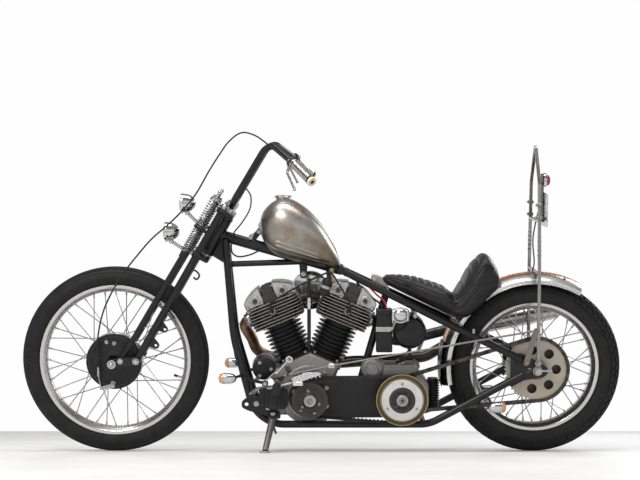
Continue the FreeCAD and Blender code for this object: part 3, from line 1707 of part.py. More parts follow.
def left_bracket():
    """Plate on the left rail with the bored front lug and the stand's hinge."""
    pivot = stand_pivot_point()
    axis = stand_axis()
    near = stand_eye_half + 0.5
    outer = side_plate(
        [(292, 192), (292, 214), (262, 236), (214, 226), (150, 176), (150, 148), (236, 170),
         (270, 180)], 133.5, 139.5)
    hole = cross_rod(front_lug_x, front_lug_z, 120, 150, front_lug_bore)
    low = rod(pivot - axis * (near + 6), pivot - axis * near, 17)
    high = rod(pivot + axis * near, pivot + axis * (near + 6), 17)
    pin = rod(pivot - axis * (near + 9), pivot + axis * (near + 9), 6)
    stub = cross_rod(238, 205, rail_side, 135, 9)
    body = fused([outer, low, high, stub]).cut(hole).cut(cradle_tube(seat_gap))
    room = rod(pivot - axis * near, pivot + axis * near, 22)
    return body.cut(room).fuse(pin)


nodes = {
    "front_tyre": lambda: make_tyre(
        front_tyre_radius, front_tyre_half_width, front_rim_radius, front_rim_half_width,
        front_axle_x, front_axle_z),
    "front_rim": lambda: make_rim(
        front_rim_radius, front_rim_half_width, front_axle_x, front_axle_z),
    "front_hub": front_hub,
    "rear_tyre": lambda: make_tyre(
        rear_tyre_radius, rear_tyre_half_width, rear_rim_radius, rear_rim_half_width,
        rear_axle_x, rear_axle_z),
    "rear_rim": lambda: make_rim(rear_rim_radius, rear_rim_half_width, rear_axle_x, rear_axle_z),
    "rear_hub": rear_hub,
    "rear_sprocket": rear_sprocket,
    "fork_trees": fork_trees,
    "fork_rear_legs": fork_rear_legs,
    "fork_front_legs": fork_front_legs,
    "fork_springs": fork_springs,
    "spring_rods": spring_rods,
    "fork_rockers": fork_rockers,
    "handlebar": handlebar,
    "grips": grips,
    "hand_levers": hand_levers,
    "headlamps": headlamps,
    "headlamp_lenses": headlamp_lenses,
    "front_brake_plate": front_brake_plate,
    "front_brake_cable": front_brake_cable,
    "frame_spine": frame_spine,
    "frame_downtubes": frame_downtubes,
    "frame_rails": frame_rails,
    "frame_stays": frame_stays,
    "rear_axle": rear_axle,
    "crankcase": crankcase,
    "cylinders": cylinders,
    "cylinder_heads": cylinder_heads,
    "rocker_boxes": rocker_boxes,
    "pushrod_tubes": pushrod_tubes,
    "generator": generator,
    "air_cleaner": air_cleaner,
    "exhaust_pipes": exhaust_pipes,
    "engine_pulley": engine_pulley,
    "clutch": clutch,
    "clutch_cover": clutch_cover,
    "primary_belt": primary_belt,
    "primary_plate": primary_plate,
    "gearbox": gearbox,
    "kick_starter": kick_starter,
    "drive_chain": drive_chain,
    "fuel_tank": fuel_tank,
    "fuel_cap": fuel_cap,
    "seat": seat,
    "rear_fender": rear_fender,
    "sissy_bar": sissy_bar,
    "number_plate": number_plate,
    "tail_lamp": tail_lamp,
    "tail_lens": tail_lens,
    "oil_tank": oil_tank,
    "battery_box": battery_box,
    "regulator": regulator,
    "ignition_coil": ignition_coil,
    "foot_pegs": foot_pegs,
    "foot_controls": foot_controls,
    "brake_linkage": brake_linkage,
    "turn_signals": turn_signals,
    "signal_lenses": signal_lenses,
    "side_stand": side_stand,
    "left_bracket": left_bracket,
}


def leaned_y(y, z):
    return y * math.cos(LEAN) + z * math.sin(LEAN)


side_shift = -(leaned_y(grip_end_side, grip_end_z) + leaned_y(-peg_end_side, peg_z)) / 2
length_shift = -(front_axle_x + front_tyre_radius + rear_axle_x - rear_tyre_radius) / 2


def place(shape):
    shape.rotate(ORIGIN, AXIS_X, -lean_angle)
    shape.translate(vec(length_shift, side_shift, 0))
    return shape


os.makedirs("parts", exist_ok=True)
for name, build in nodes.items():
    place(build()).exportStep(os.path.join("parts", name + ".step"))
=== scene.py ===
import json
import math

import bmesh
import bpy
from mathutils import Matrix, Vector
from mathutils.bvhtree import BVHTree
from mathutils.geometry import convex_hull_2d, delaunay_2d_cdt


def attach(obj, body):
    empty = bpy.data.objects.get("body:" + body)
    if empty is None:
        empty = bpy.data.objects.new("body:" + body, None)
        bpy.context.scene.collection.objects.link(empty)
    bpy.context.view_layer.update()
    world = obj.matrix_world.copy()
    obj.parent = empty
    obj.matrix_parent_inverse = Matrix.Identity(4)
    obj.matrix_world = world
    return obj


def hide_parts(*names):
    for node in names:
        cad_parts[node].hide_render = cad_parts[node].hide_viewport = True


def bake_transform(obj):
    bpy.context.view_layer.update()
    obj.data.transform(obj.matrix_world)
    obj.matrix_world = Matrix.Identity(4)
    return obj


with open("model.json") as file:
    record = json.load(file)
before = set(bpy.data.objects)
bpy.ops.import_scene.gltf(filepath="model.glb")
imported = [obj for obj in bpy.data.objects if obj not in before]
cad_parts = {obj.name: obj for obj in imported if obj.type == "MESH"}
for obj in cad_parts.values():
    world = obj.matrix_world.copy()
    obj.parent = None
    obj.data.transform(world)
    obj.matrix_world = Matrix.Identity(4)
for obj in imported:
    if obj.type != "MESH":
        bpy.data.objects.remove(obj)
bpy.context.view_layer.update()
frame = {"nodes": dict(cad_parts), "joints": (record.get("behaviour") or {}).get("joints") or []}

# The machine leans onto its stand. Shapes here are drawn upright in millimetres, with x forward,
# y left and z up from the ground line, and BIKE takes them to the shared frame in metres.
LEAN = math.radians(11.0)
SIDE_SHIFT = -164.7634
LENGTH_SHIFT = -0.394
RAKE = math.radians(30.0)
NECK = Vector((391.0, 0.0, 815.0))
BIKE = (Matrix.Translation((LENGTH_SHIFT / 1000, SIDE_SHIFT / 1000, 0)) @ Matrix.Rotation(-LEAN, 4, "X")
        @ Matrix.Scale(0.001, 4))
UPRIGHT = BIKE.inverted()
X, Y, Z = Vector((1, 0, 0)), Vector((0, 1, 0)), Vector((0, 0, 1))
joints = {joint["name"]: joint for joint in frame["joints"]}


def joint_place(name):
    return UPRIGHT @ Vector(joints[name]["pos_m"])


FRONT_AXLE = joint_place("front_wheel_spin")
REAR_AXLE = joint_place("rear_wheel_spin")
CRANK = Vector((42.0, 0.0, 222.6))
CLUTCH = Vector((-293.0, 0.0, 225.0))
V_HALF = math.radians(22.5)

WHOLE_TURN = 360.0
HEX_REACH = 0.5 / math.cos(math.pi / 6)
WASHER_THICK = 1.2


# Mesh building

class Build:
    """Collects points and faces of one piece, each face with its material."""

    def __init__(self, *materials):
        self.points = []
        self.faces = []
        self.marks = []
        self.materials = list(materials)
        self.mark = 0
        self.shift = Matrix.Identity(4)
        self.clip = None

    def use(self, material):
        """Later faces take this material."""
        if material not in self.materials:
            self.materials.append(material)
        self.mark = self.materials.index(material)

    def point(self, place):
        """Adds a place, moved by the shift and kept to its side of the clip."""
        place = self.shift @ Vector(place)
        if self.clip:
            side, plane = self.clip
            if (place.x - plane) * side < 0:
                place.x = plane
        self.points.append(place)
        return len(self.points) - 1

    def face(self, *indices):
        self.faces.append(indices)
        self.marks.append(self.mark)

    def bridge(self, rings, around=True, ends=True, loop=False):
        """Skin between rings of points; around closes each ring, loop joins last to first."""
        made = [[self.point(place) for place in ring] for ring in rings]
        count = len(made[0])
        spans = list(zip(made, made[1:]))
        if loop:
            spans.append((made[-1], made[0]))
        for first, second in spans:
            for index in range(count if around else count - 1):
                after = (index + 1) % count
                self.face(first[index], first[after], second[after], second[index])
        if ends and around and not loop:
            self.face(*reversed(made[0]))
            self.face(*made[-1])

    def lathe(self, profile, centre, axis, steps):
        """Revolves (along, radius) pairs about an axis through the centre."""
        axis = Vector(axis).normalized()
        first = axis.cross(X if abs(axis.x) < 0.9 else Z).normalized()
        second = axis.cross(first)
        rings = []
        for index in range(steps):
            angle = 2 * math.pi * index / steps
            out = first * math.cos(angle) + second * math.sin(angle)
            rings.append([Vector(centre) + axis * along + out * radius
                          for along, radius in profile])
        self.bridge(rings, around=False, loop=True)

    def wheel(self, profile, centre, steps, start=0.0, sweep=WHOLE_TURN, closed=True):
        """Revolves (y, radius) pairs about the lateral axis; angles run up from +X."""
        whole = abs(sweep - WHOLE_TURN) < 0.01
        rings = []
        for index in range(steps if whole else steps + 1):
            angle = math.radians(start + sweep * index / steps)
            rings.append([(centre.x + r * math.cos(angle), y, centre.z + r * math.sin(angle))
                          for y, r in profile])
        self.bridge(rings, around=closed, ends=closed and not whole, loop=whole)

    def tube(self, path, radius, steps, ends=True):
        """Round tube along points; radius may be one number or one for each point."""
        path = [Vector(place) for place in path]
        radii = radius if isinstance(radius, (list, tuple)) else [radius] * len(path)
        side = None
        rings = []
        for index, place in enumerate(path):
            back = path[max(index - 1, 0)]
            ahead = path[min(index + 1, len(path) - 1)]
            along = (ahead - back).normalized()
            if side is None:
                side = along.cross(Y if abs(along.y) < 0.8 else X).normalized()
            side = (side - along * side.dot(along)).normalized()
            other = along.cross(side)
            ring = []
            for step in range(steps):
                angle = 2 * math.pi * step / steps
                ring.append(place + (side * math.cos(angle) + other * math.sin(angle)) * radii[index])
            rings.append(ring)
        self.bridge(rings, ends=ends)

    def block(self, centre, half, edge):
        """Box with chamfered upright edges and rims."""
        hx, hy, hz = half
        rings = []
        for z, pull in ((-hz, edge), (-hz + edge, 0), (hz - edge, 0), (hz, edge)):
            ax, ay = hx - pull, hy - pull
            flat = [(ax, ay - edge), (ax - edge, ay), (-ax + edge, ay), (-ax, ay - edge),
                    (-ax, -ay + edge), (-ax + edge, -ay), (ax - edge, -ay), (ax, -ay + edge)]
            rings.append([Vector(centre) + Vector((x, y, z)) for x, y in flat])
        self.bridge(rings)

    def plate(self, outline, y_start, y_end, edge=0.8):
        """Plate cut from an (x, z) outline, lying in the side plane."""
        middle = sum((Vector((x, 0, z)) for x, z in outline), Vector()) / len(outline)
        rings = []
        low, high = min(y_start, y_end), max(y_start, y_end)
        for y, pull in ((low, edge), (low + edge, 0), (high - edge, 0), (high, edge)):
            ring = []
            for x, z in outline:
                place = Vector((x, 0, z))
                inward = (middle - place).normalized() * pull
                ring.append((x + inward.x, y, z + inward.z))
            rings.append(ring)
        self.bridge(rings)

    def cord(self, points, radius, sides, per=6):
        """Round cord on a smooth line through the given places."""
        self.tube(curve_through(points, per), radius, sides)

    def bolt(self, place, axis, across, height):
        """Hexagon head on a washer."""
        axis = Vector(axis).normalized()
        foot = Vector(place)
        place = foot + axis * WASHER_THICK
        self.tube([foot, place], across * 0.72, 16)
        reach = across * HEX_REACH
        self.tube([place, place + axis * height * 0.8, place + axis * height],
                  [reach, reach, reach * 0.86], 6)

    def socket_bolt(self, place, axis, radius, height):
        """Round cap screw with a sunk centre."""
        axis = Vector(axis).normalized()
        place = Vector(place)
        self.lathe([(0, radius), (height - 0.8, radius), (height, radius - 0.8),
                    (height, radius * 0.55), (height - 2, radius * 0.5), (height - 2, 0.01)],
                   place, axis, 12)

    def acorn(self, place, axis, across):
        """Domed nut."""
        axis = Vector(axis).normalized()
        place = Vector(place)
        reach = across * HEX_REACH
        self.tube([place, place + axis * across * 0.45], reach, 6)
        steps = [(0.45, 0.5), (0.62, 0.48), (0.8, 0.4), (0.95, 0.22), (1.0, 0.02)]
        self.tube([place + axis * across * a for a, r in steps],
                  [across * r for a, r in steps], 12)


def placed(name, data):
    """New object in the scene."""
    piece = bpy.data.objects.new(name, data)
    bpy.context.scene.collection.objects.link(piece)
    return piece


def drawn(name, build):
    """Mesh of the collected faces, in the shared frame."""
    mesh = bpy.data.meshes.new(name)
    mesh.from_pydata([BIKE @ place for place in build.points], [], build.faces)
    return mesh


def settled(piece):
    """Mesh of an object as its modifiers leave it."""
    graph = bpy.context.evaluated_depsgraph_get()
    return bpy.data.meshes.new_from_object(piece.evaluated_get(graph))


def add(name, build, body, replaces=(), angle=35.0):
    """Turns collected faces into an object that rides on a body."""
    mesh = drawn(name, build)
    for material in build.materials:
        mesh.materials.append(material)
    mesh.polygons.foreach_set("material_index", build.marks)
    return finish_mesh(name, mesh, body, replaces, angle)


def finish_mesh(name, mesh, body, replaces, angle):
    """Welds and shades a mesh, binds it to its body and hides the nodes it replaces."""
    work = bmesh.new()
    work.from_mesh(mesh)
    bmesh.ops.remove_doubles(work, verts=work.verts, dist=1e-6)
    bmesh.ops.recalc_face_normals(work, faces=work.faces)
    work.to_mesh(mesh)
    work.free()
    mesh.shade_smooth()
    mesh.set_sharp_from_angle(angle=math.radians(angle))
    piece = placed(name, mesh)
    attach(piece, body)
    if replaces:
        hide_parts(*replaces)
    return piece


def between(a, b, c, d, t):
    """Smooth step from b to c, with a before them and d after."""
    return 0.5 * (2 * b + (c - a) * t + (2 * a - 5 * b + 4 * c - d) * t * t
                  + (3 * b - a - 3 * c + d) * t * t * t)


def fours(items):
    """Every neighbouring pair with the item before and the one after."""
    final = len(items) - 1
    return [(items[max(k - 1, 0)], items[k], items[k + 1], items[min(k + 2, final)])
            for k in range(final)]


def curve_through(points, per):
    """Smooth points through the given ones."""
    points = [Vector(place) for place in points]
    return [between(*four, step / per) for four in fours(points) for step in range(per)] + points[-1:]


def bent(points, radii, per):
    """Straight runs with round corners, as a bent tube has."""
    points = [Vector(place) for place in points]
    out = [points[0]]
    for index in range(1, len(points) - 1):
        corner = points[index]
        radius = radii[index - 1] if isinstance(radii, (list, tuple)) else radii
        back = (points[index - 1] - corner).normalized()
        ahead = (points[index + 1] - corner).normalized()
        turn = math.pi - back.angle(ahead)
        tangent = radius * math.tan(turn / 2)
        start = corner + back * tangent
        end = corner + ahead * tangent
        centre = corner + (back + ahead).normalized() * (radius / math.cos(turn / 2))
        for step in range(per + 1):
            share = step / per
            spoke = (start - centre).slerp(end - centre, share)
            out.append(centre + spoke.normalized() * (start - centre).length)
    out.append(points[-1])
    return out


def fork(forward, side, up):
    """Place in the fork's own frame: ahead of, beside and along the steering axis."""
    return Vector((NECK.x + forward * math.cos(RAKE) - up * math.sin(RAKE), side,
                   NECK.z + forward * math.sin(RAKE) + up * math.cos(RAKE)))


# In the fork's own frame: the rear legs, the spring rods and the posts of the two lamps
LEG_FORWARD, LEG_SIDE = 21.6, 90
ROD_FORWARD, ROD_SIDE = 64, 55
LAMP_FORWARD, LAMP_UPS = 150, (48, -74)


def on_leg(side, *ups):
    """Places along the rear leg of one side."""
    return [fork(LEG_FORWARD, side * LEG_SIDE, up) for up in ups]


def across_leg(side, up, *offs):
    """Places at the height of the rear leg, off the middle of the fork."""
    return [fork(LEG_FORWARD, side * off, up) for off in offs]


def on_rod(side, *ups):
    """Places along the spring rod of one side."""
    return [fork(ROD_FORWARD, side * ROD_SIDE, up) for up in ups]


FORK_UP = (fork(0, 0, 1) - fork(0, 0, 0)).normalized()
FORK_FORWARD = (fork(1, 0, 0) - fork(0, 0, 0)).normalized()


# Materials

class Shade:
    """One procedural material: a shader and short calls for what drives it."""

    def __init__(self, name, colour, rough, metal=0.0, **sockets):
        self.material = bpy.data.materials.new(name)
        self.material.use_nodes = True
        self.tree = self.material.node_tree
        self.tree.nodes.clear()
        self.out = self.tree.nodes.new("ShaderNodeOutputMaterial")
        self.bsdf = self.tree.nodes.new("ShaderNodeBsdfPrincipled")
        self.tree.links.new(self.bsdf.outputs[0], self.out.inputs[0])
        self.bsdf.inputs["Base Color"].default_value = (*colour, 1)
        self.bsdf.inputs["Roughness"].default_value = rough
        self.bsdf.inputs["Metallic"].default_value = metal
        for socket, value in sockets.items():
            self.bsdf.inputs[socket.replace("_", " ")].default_value = value
        self.coords = self.tree.nodes.new("ShaderNodeTexCoord").outputs["Object"]

    def link(self, source, target):
        self.tree.links.new(source, target)

    def stretch(self, scale):
        node = self.tree.nodes.new("ShaderNodeMapping")
        node.inputs["Scale"].default_value = scale
        self.link(self.coords, node.inputs["Vector"])
        return node.outputs[0]

    def noise(self, scale, detail, rough, vector=None, distortion=0.0):
        node = self.tree.nodes.new("ShaderNodeTexNoise")
        node.inputs["Scale"].default_value = scale
        node.inputs["Detail"].default_value = detail
        node.inputs["Roughness"].default_value = rough
        node.inputs["Distortion"].default_value = distortion
        self.link(vector or self.coords, node.inputs["Vector"])
        return node.outputs["Fac"]

    def cells(self, scale):
        """Distance to the edges of small cells."""
        node = self.tree.nodes.new("ShaderNodeTexVoronoi")
        node.feature = "DISTANCE_TO_EDGE"
        node.inputs["Scale"].default_value = scale
        self.link(self.coords, node.inputs["Vector"])
        return node.outputs["Distance"]

    def ramp(self, source, *stops):
        """Colour or grey ramp from (place, value) pairs."""
        node = self.tree.nodes.new("ShaderNodeValToRGB")
        ramp = node.color_ramp
        while len(ramp.elements) < len(stops):
            ramp.elements.new(0.5)
        for element, (place, value) in zip(ramp.elements, stops):
            element.position = place
            value = value if isinstance(value, (tuple, list)) else (value, value, value)
            element.color = (*value, 1)
        self.link(source, node.inputs[0])
        return node.outputs[0]

    def mix(self, factor, first, second, kind="MIX"):
        node = self.tree.nodes.new("ShaderNodeMix")
        node.data_type = "RGBA"
        node.blend_type = kind
        for socket, value in ((0, factor), (6, first), (7, second)):
            if isinstance(value, (int, float)):
                node.inputs[socket].default_value = value
            elif isinstance(value, (tuple, list)):
                node.inputs[socket].default_value = (*value, 1)
            else:
                self.link(value, node.inputs[socket])
        return node.outputs[2]

    def math(self, operation, first, second=0.0):
        node = self.tree.nodes.new("ShaderNodeMath")
        node.operation = operation
        for socket, value in ((0, first), (1, second)):
            if isinstance(value, (int, float)):
                node.inputs[socket].default_value = value
            else:
                self.link(value, node.inputs[socket])
        return node.outputs[0]

    def edges(self, low, high):
        """Worn ridges: high where the surface is convex."""
        node = self.tree.nodes.new("ShaderNodeNewGeometry")
        return self.ramp(node.outputs["Pointiness"], (low, 0.0), (high, 1.0))

    def axis(self, which):
        node = self.tree.nodes.new("ShaderNodeSeparateXYZ")
        self.link(self.coords, node.inputs[0])
        return node.outputs["XYZ".index(which)]

    def colour(self, source):
        self.link(source, self.bsdf.inputs["Base Color"])
        return self

    def rough(self, source, low, high):
        node = self.tree.nodes.new("ShaderNodeMapRange")
        node.inputs["To Min"].default_value = low
        node.inputs["To Max"].default_value = high
        self.link(source, node.inputs["Value"])
        self.link(node.outputs[0], self.bsdf.inputs["Roughness"])
        return self

    def bump(self, source, strength, distance):
        node = self.tree.nodes.new("ShaderNodeBump")
        node.inputs["Strength"].default_value = strength
        node.inputs["Distance"].default_value = distance
        self.link(source, node.inputs["Height"])
        current = self.bsdf.inputs["Normal"]
        if current.is_linked:
            self.link(current.links[0].from_socket, node.inputs["Normal"])
        self.link(node.outputs[0], current)
        return self


def black_paint():
    colour, rough = (0.006, 0.006, 0.007), 0.24
    shade = Shade("black_paint", colour, rough, 0.0, Specular_IOR_Level=0.34)
    dust = shade.noise(9.0, 6.0, 0.65)
    fine = shade.noise(160.0, 3.0, 0.6)
    scuffs = shade.noise(70.0, 4.0, 0.7, shade.stretch((1, 1, 4)))
    dusty = shade.ramp(dust, (0.5, colour), (0.85, tuple(c * 2.0 + 0.003 for c in colour)))
    shade.colour(shade.mix(shade.ramp(scuffs, (0.68, 0.0), (0.8, 0.5)), dusty, (0.035, 0.033, 0.03)))
    shade.rough(shade.mix(0.5, dust, fine), rough * 0.7, rough * 1.9)
    shade.bump(fine, 0.05, 0.0002)
    return shade.material


def chrome(name="chrome", colour=(0.56, 0.565, 0.57), rough=0.08, age=0.4):
    shade = Shade(name, colour, rough, 1.0)
    cloud = shade.noise(14.0, 5.0, 0.6)
    speck = shade.noise(210.0, 2.0, 0.6)
    pits = shade.ramp(speck, (0.66, 0.0), (0.74, 1.0))
    rust_area = shade.ramp(cloud, (0.5, 0.0), (0.72, age))
    pitted = shade.mix(shade.math("MULTIPLY", pits, rust_area), colour, (0.16, 0.10, 0.06))
    shade.colour(pitted)
    shade.rough(shade.mix(0.5, cloud, speck), rough * 0.6, rough * 2.6)
    return shade.material


def cast_metal(name, colour, rough, grime, metal=0.9, dark=(0.05, 0.045, 0.04)):
    """Cast alloy with grain, oily shadows in the hollows and rubbed edges."""
    shade = Shade(name, colour, rough, metal)
    grain = shade.noise(420.0, 2.0, 0.6)
    cloud = shade.noise(11.0, 6.0, 0.6)
    stain = shade.noise(34.0, 4.0, 0.7, distortion=0.4)
    stained = shade.mix(shade.ramp(stain, (0.42, 0.0), (0.75, grime)), colour, dark)
    worn = shade.mix(shade.edges(0.5, 0.58), stained, tuple(min(1, c * 1.25) for c in colour))
    shaded = shade.mix(shade.ramp(cloud, (0.3, 0.0), (0.8, 0.28)), worn, dark)
    shade.colour(shaded)
    shade.rough(shade.mix(0.4, cloud, grain), rough * 0.7, rough * 1.5)
    shade.bump(grain, 0.16, 0.0003)
    return shade.material


def polished(name="polished_alloy", colour=(0.52, 0.515, 0.505)):
    shade = Shade(name, colour, 0.16, 1.0)
    cloud = shade.noise(16.0, 5.0, 0.6)
    scuff = shade.noise(90.0, 3.0, 0.6, shade.stretch((1, 6, 1)))
    dulled = shade.mix(shade.ramp(cloud, (0.45, 0.0), (0.85, 0.4)), colour, (0.34, 0.33, 0.31))
    shade.colour(dulled)
    shade.rough(shade.mix(0.5, cloud, scuff), 0.12, 0.36)
    shade.bump(scuff, 0.05, 0.0002)
    return shade.material


def brushed_tank():
    """Bare steel with long brush marks, warm grey clouds, rust tints in front, and a darker brown tone
    towards the bottom.
    """
    shade = Shade("bare_tank_steel", (0.42, 0.39, 0.36), 0.3, 1.0)
    brush = shade.noise(60.0, 4.0, 0.7, shade.stretch((0.6, 6.0, 9.0)))
    cloud = shade.noise(7.0, 6.0, 0.62, distortion=0.5)
    patch = shade.noise(13.0, 5.0, 0.7, distortion=0.6)
    # Darker brown towards the bottom of the tank, fading out between 0.70 and 0.86 m in height.
    low = shade.ramp(shade.axis("Z"), (0.70, 0.75), (0.86, 0.0))
    base = shade.ramp(cloud, (0.3, (0.25, 0.23, 0.205)), (0.52, (0.41, 0.385, 0.355)),
                      (0.75, (0.56, 0.54, 0.51)))
    rust = shade.math("MULTIPLY", shade.ramp(patch, (0.46, 0.0), (0.68, 1.0)),
                      shade.ramp(cloud, (0.42, 1.0), (0.64, 0.25)))
    base = shade.mix(shade.math("MULTIPLY", rust, 0.6), base, (0.30, 0.155, 0.085))
    base = shade.mix(low, base, (0.15, 0.125, 0.085))
    shade.colour(shade.mix(0.22, base, brush, "OVERLAY"))
    shade.rough(shade.mix(0.5, brush, cloud), 0.24, 0.5)
    shade.bump(brush, 0.10, 0.0002)
    return shade.material


def tyre_rubber():
    shade = Shade("tyre_rubber", (0.009, 0.009, 0.0095), 0.62, 0.0, Specular_IOR_Level=0.25)
    dust = shade.noise(26.0, 6.0, 0.7)
    fine = shade.noise(380.0, 2.0, 0.5)
    shade.colour(shade.ramp(dust, (0.35, (0.007, 0.007, 0.0075)), (0.7, (0.017, 0.0165, 0.016)),
                            (0.95, (0.045, 0.041, 0.037))))
    shade.rough(fine, 0.5, 0.8)
    shade.bump(fine, 0.12, 0.0003)
    return shade.material


def plain_rubber(name="moulded_rubber", colour=(0.011, 0.011, 0.012)):
    shade = Shade(name, colour, 0.55, 0.0, Specular_IOR_Level=0.25)
    fine = shade.noise(300.0, 3.0, 0.6)
    cloud = shade.noise(20.0, 4.0, 0.6)
    shade.colour(shade.ramp(cloud, (0.35, colour), (0.9, tuple(c * 2.6 for c in colour))))
    shade.rough(fine, 0.42, 0.75)
    shade.bump(fine, 0.1, 0.0003)
    return shade.material


def seat_leather():
    shade = Shade("seat_leather", (0.014, 0.012, 0.011), 0.38, 0.0, Specular_IOR_Level=0.3,
                  Coat_Weight=0.04, Coat_Roughness=0.35)
    grain = shade.cells(420.0)
    fine = shade.noise(700.0, 3.0, 0.6)
    cloud = shade.noise(12.0, 5.0, 0.6)
    shade.colour(shade.ramp(cloud, (0.3, (0.006, 0.0053, 0.0055)), (0.6, (0.012, 0.0105, 0.0105)),
                            (0.9, (0.024, 0.020, 0.020))))
    shade.rough(shade.mix(0.5, cloud, fine), 0.28, 0.52)
    shade.bump(shade.ramp(grain, (0.0, 0.0), (0.16, 1.0)), 0.3, 0.0005)
    shade.bump(fine, 0.1, 0.0002)
    return shade.material


def heated_steel():
    """Exhaust steel browned by heat, with straw and blue bands."""
    shade = Shade("heated_steel", (0.2, 0.14, 0.1), 0.42, 1.0)
    cloud = shade.noise(12.0, 6.0, 0.65, distortion=0.6)
    fine = shade.noise(190.0, 3.0, 0.6)
    browned = shade.ramp(cloud, (0.28, (0.05, 0.032, 0.025)), (0.45, (0.17, 0.095, 0.055)),
                         (0.6, (0.36, 0.23, 0.13)), (0.8, (0.2, 0.17, 0.15)))
    sooty = shade.ramp(cloud, (0.3, (0.035, 0.032, 0.03)), (0.7, (0.13, 0.12, 0.11)))
    shade.colour(shade.mix(shade.ramp(shade.axis("X"), (0.12, 0.0), (0.2, 1.0)), sooty, browned))
    shade.rough(shade.mix(0.5, cloud, fine), 0.28, 0.6)
    shade.bump(fine, 0.12, 0.0003)
    return shade.material


def fender_metal():
    """Polished sheet whose crown is tinted copper and orange."""
    shade = Shade("fender_metal", (0.62, 0.61, 0.59), 0.16, 1.0)
    cloud = shade.noise(9.0, 6.0, 0.65, distortion=0.7)
    fine = shade.noise(150.0, 3.0, 0.6)
    side = shade.math("MULTIPLY", shade.axis("Y"), math.cos(LEAN))
    rise = shade.math("MULTIPLY", shade.axis("Z"), math.sin(LEAN))
    middle = shade.math("ADD", rise, SIDE_SHIFT / 1000 * math.cos(LEAN))
    across = shade.math("ABSOLUTE", shade.math("SUBTRACT", side, middle))
    crown = shade.ramp(across, (0.034, 1.0), (0.05, 0.0))
    tint = shade.math("MULTIPLY", crown, shade.ramp(cloud, (0.3, 0.5), (0.5, 1.0)))
    warm = shade.ramp(cloud, (0.3, (0.42, 0.15, 0.06)), (0.5, (0.58, 0.27, 0.13)),
                      (0.7, (0.66, 0.46, 0.34)))
    grey = shade.ramp(cloud, (0.3, (0.52, 0.51, 0.50)), (0.7, (0.72, 0.715, 0.71)))
    shade.colour(shade.mix(shade.math("MULTIPLY", tint, 0.85), grey, warm))
    shade.rough(shade.mix(0.5, cloud, fine), 0.12, 0.4)
    shade.bump(fine, 0.04, 0.0002)
    return shade.material


def painted(name, colour, rough, metal, wear, under=(0.2, 0.19, 0.18)):
    shade = Shade(name, colour, rough, metal, Specular_IOR_Level=0.3)
    cloud = shade.noise(18.0, 6.0, 0.65)
    fine = shade.noise(230.0, 3.0, 0.6)
    grimy = shade.mix(shade.ramp(cloud, (0.45, 0.0), (0.8, wear)), colour, under)
    rubbed = tuple(min(1, c * 2.2 + 0.03) for c in colour)
    chips = shade.mix(shade.math("MULTIPLY", shade.edges(0.52, 0.6), wear), grimy, rubbed)
    shade.colour(chips)
    shade.rough(shade.mix(0.5, cloud, fine), rough * 0.7, rough * 1.6)
    shade.bump(fine, 0.07, 0.0002)
    return shade.material


def chain_steel():
    shade = Shade("oily_chain", (0.11, 0.10, 0.09), 0.34, 1.0)
    cloud = shade.noise(60.0, 4.0, 0.7)
    shade.colour(shade.ramp(cloud, (0.35, (0.022, 0.019, 0.016)), (0.7, (0.13, 0.118, 0.10))))
    shade.rough(cloud, 0.22, 0.5)
    return shade.material


def lens(name, colour, rough=0.08):
    shade = Shade(name, colour, rough, 0.0, IOR=1.49, Transmission_Weight=0.35, Coat_Weight=0.4)
    ribs = shade.noise(120.0, 2.0, 0.4)
    shade.colour(shade.ramp(ribs, (0.3, tuple(c * 0.8 for c in colour)), (0.7, colour)))
    shade.bump(ribs, 0.2, 0.0006)
    return shade.material


BLACK = black_paint()
BLACK_SATIN = painted("black_satin", (0.006, 0.006, 0.007), 0.36, 0.0, 0.25, (0.03, 0.028, 0.025))
CHROME = chrome()
CHROME_OLD = chrome("aged_chrome", (0.46, 0.455, 0.45), 0.14, 0.8)
RIM_CHROME = chrome("rim_chrome", (0.55, 0.545, 0.53), 0.13, 0.6)
CAST = cast_metal("cast_alloy", (0.30, 0.295, 0.285), 0.44, 0.6)
HEAD_ALLOY = cast_metal("head_alloy", (0.31, 0.30, 0.285), 0.38, 0.7)
POLISHED = polished()
BARREL_BLACK = painted("barrel_black", (0.009, 0.009, 0.01), 0.42, 0.0, 0.25, (0.035, 0.03, 0.026))
TANK_STEEL = brushed_tank()
TYRE = tyre_rubber()
RUBBER = plain_rubber()
LEATHER = seat_leather()
HEATED = heated_steel()
FENDER = fender_metal()
CREAM = painted("cream_paint", (0.44, 0.375, 0.275), 0.42, 0.2, 0.7, (0.12, 0.085, 0.055))
BRONZE = cast_metal("clutch_bronze", (0.085, 0.066, 0.038), 0.38, 0.8)
CHAIN = chain_steel()
STEEL = cast_metal("bare_steel", (0.36, 0.35, 0.34), 0.36, 0.5)
PALE_PLATE = polished("pale_plate", (0.66, 0.655, 0.64))
AMBER = lens("amber_lens", (0.86, 0.47, 0.24))
RED = lens("red_lens", (0.42, 0.012, 0.012))
YELLOW = lens("yellow_lens", (0.78, 0.70, 0.34), 0.06)
GREY = cast_metal("gearbox_grey", (0.27, 0.265, 0.255), 0.46, 0.6, 0.75)
SPROCKET_STEEL = painted("sprocket_steel", (0.19, 0.165, 0.135), 0.42, 0.3, 0.8, (0.07, 0.05, 0.034))
ROCKER_ALLOY = cast_metal("rocker_alloy", (0.42, 0.415, 0.405), 0.34, 0.75)
AGED_STEEL = cast_metal("aged_steel", (0.20, 0.185, 0.165), 0.45, 0.85)
DARK_CHROME = chrome("dark_chrome", (0.30, 0.295, 0.285), 0.15, 0.8)
# Near-black cast metal; on the heads it also serves as painted shade between the fins.
DARK_CAST = cast_metal("dark_cast", (0.045, 0.043, 0.042), 0.42, 0.4, 0.6, (0.012, 0.011, 0.01))
PORCELAIN = painted("plug_porcelain", (0.72, 0.70, 0.66), 0.22, 0.0, 0.2)
BRASS = cast_metal("worn_brass", (0.44, 0.33, 0.16), 0.34, 0.5)
PIPING = plain_rubber("seat_piping", (0.013, 0.012, 0.012))
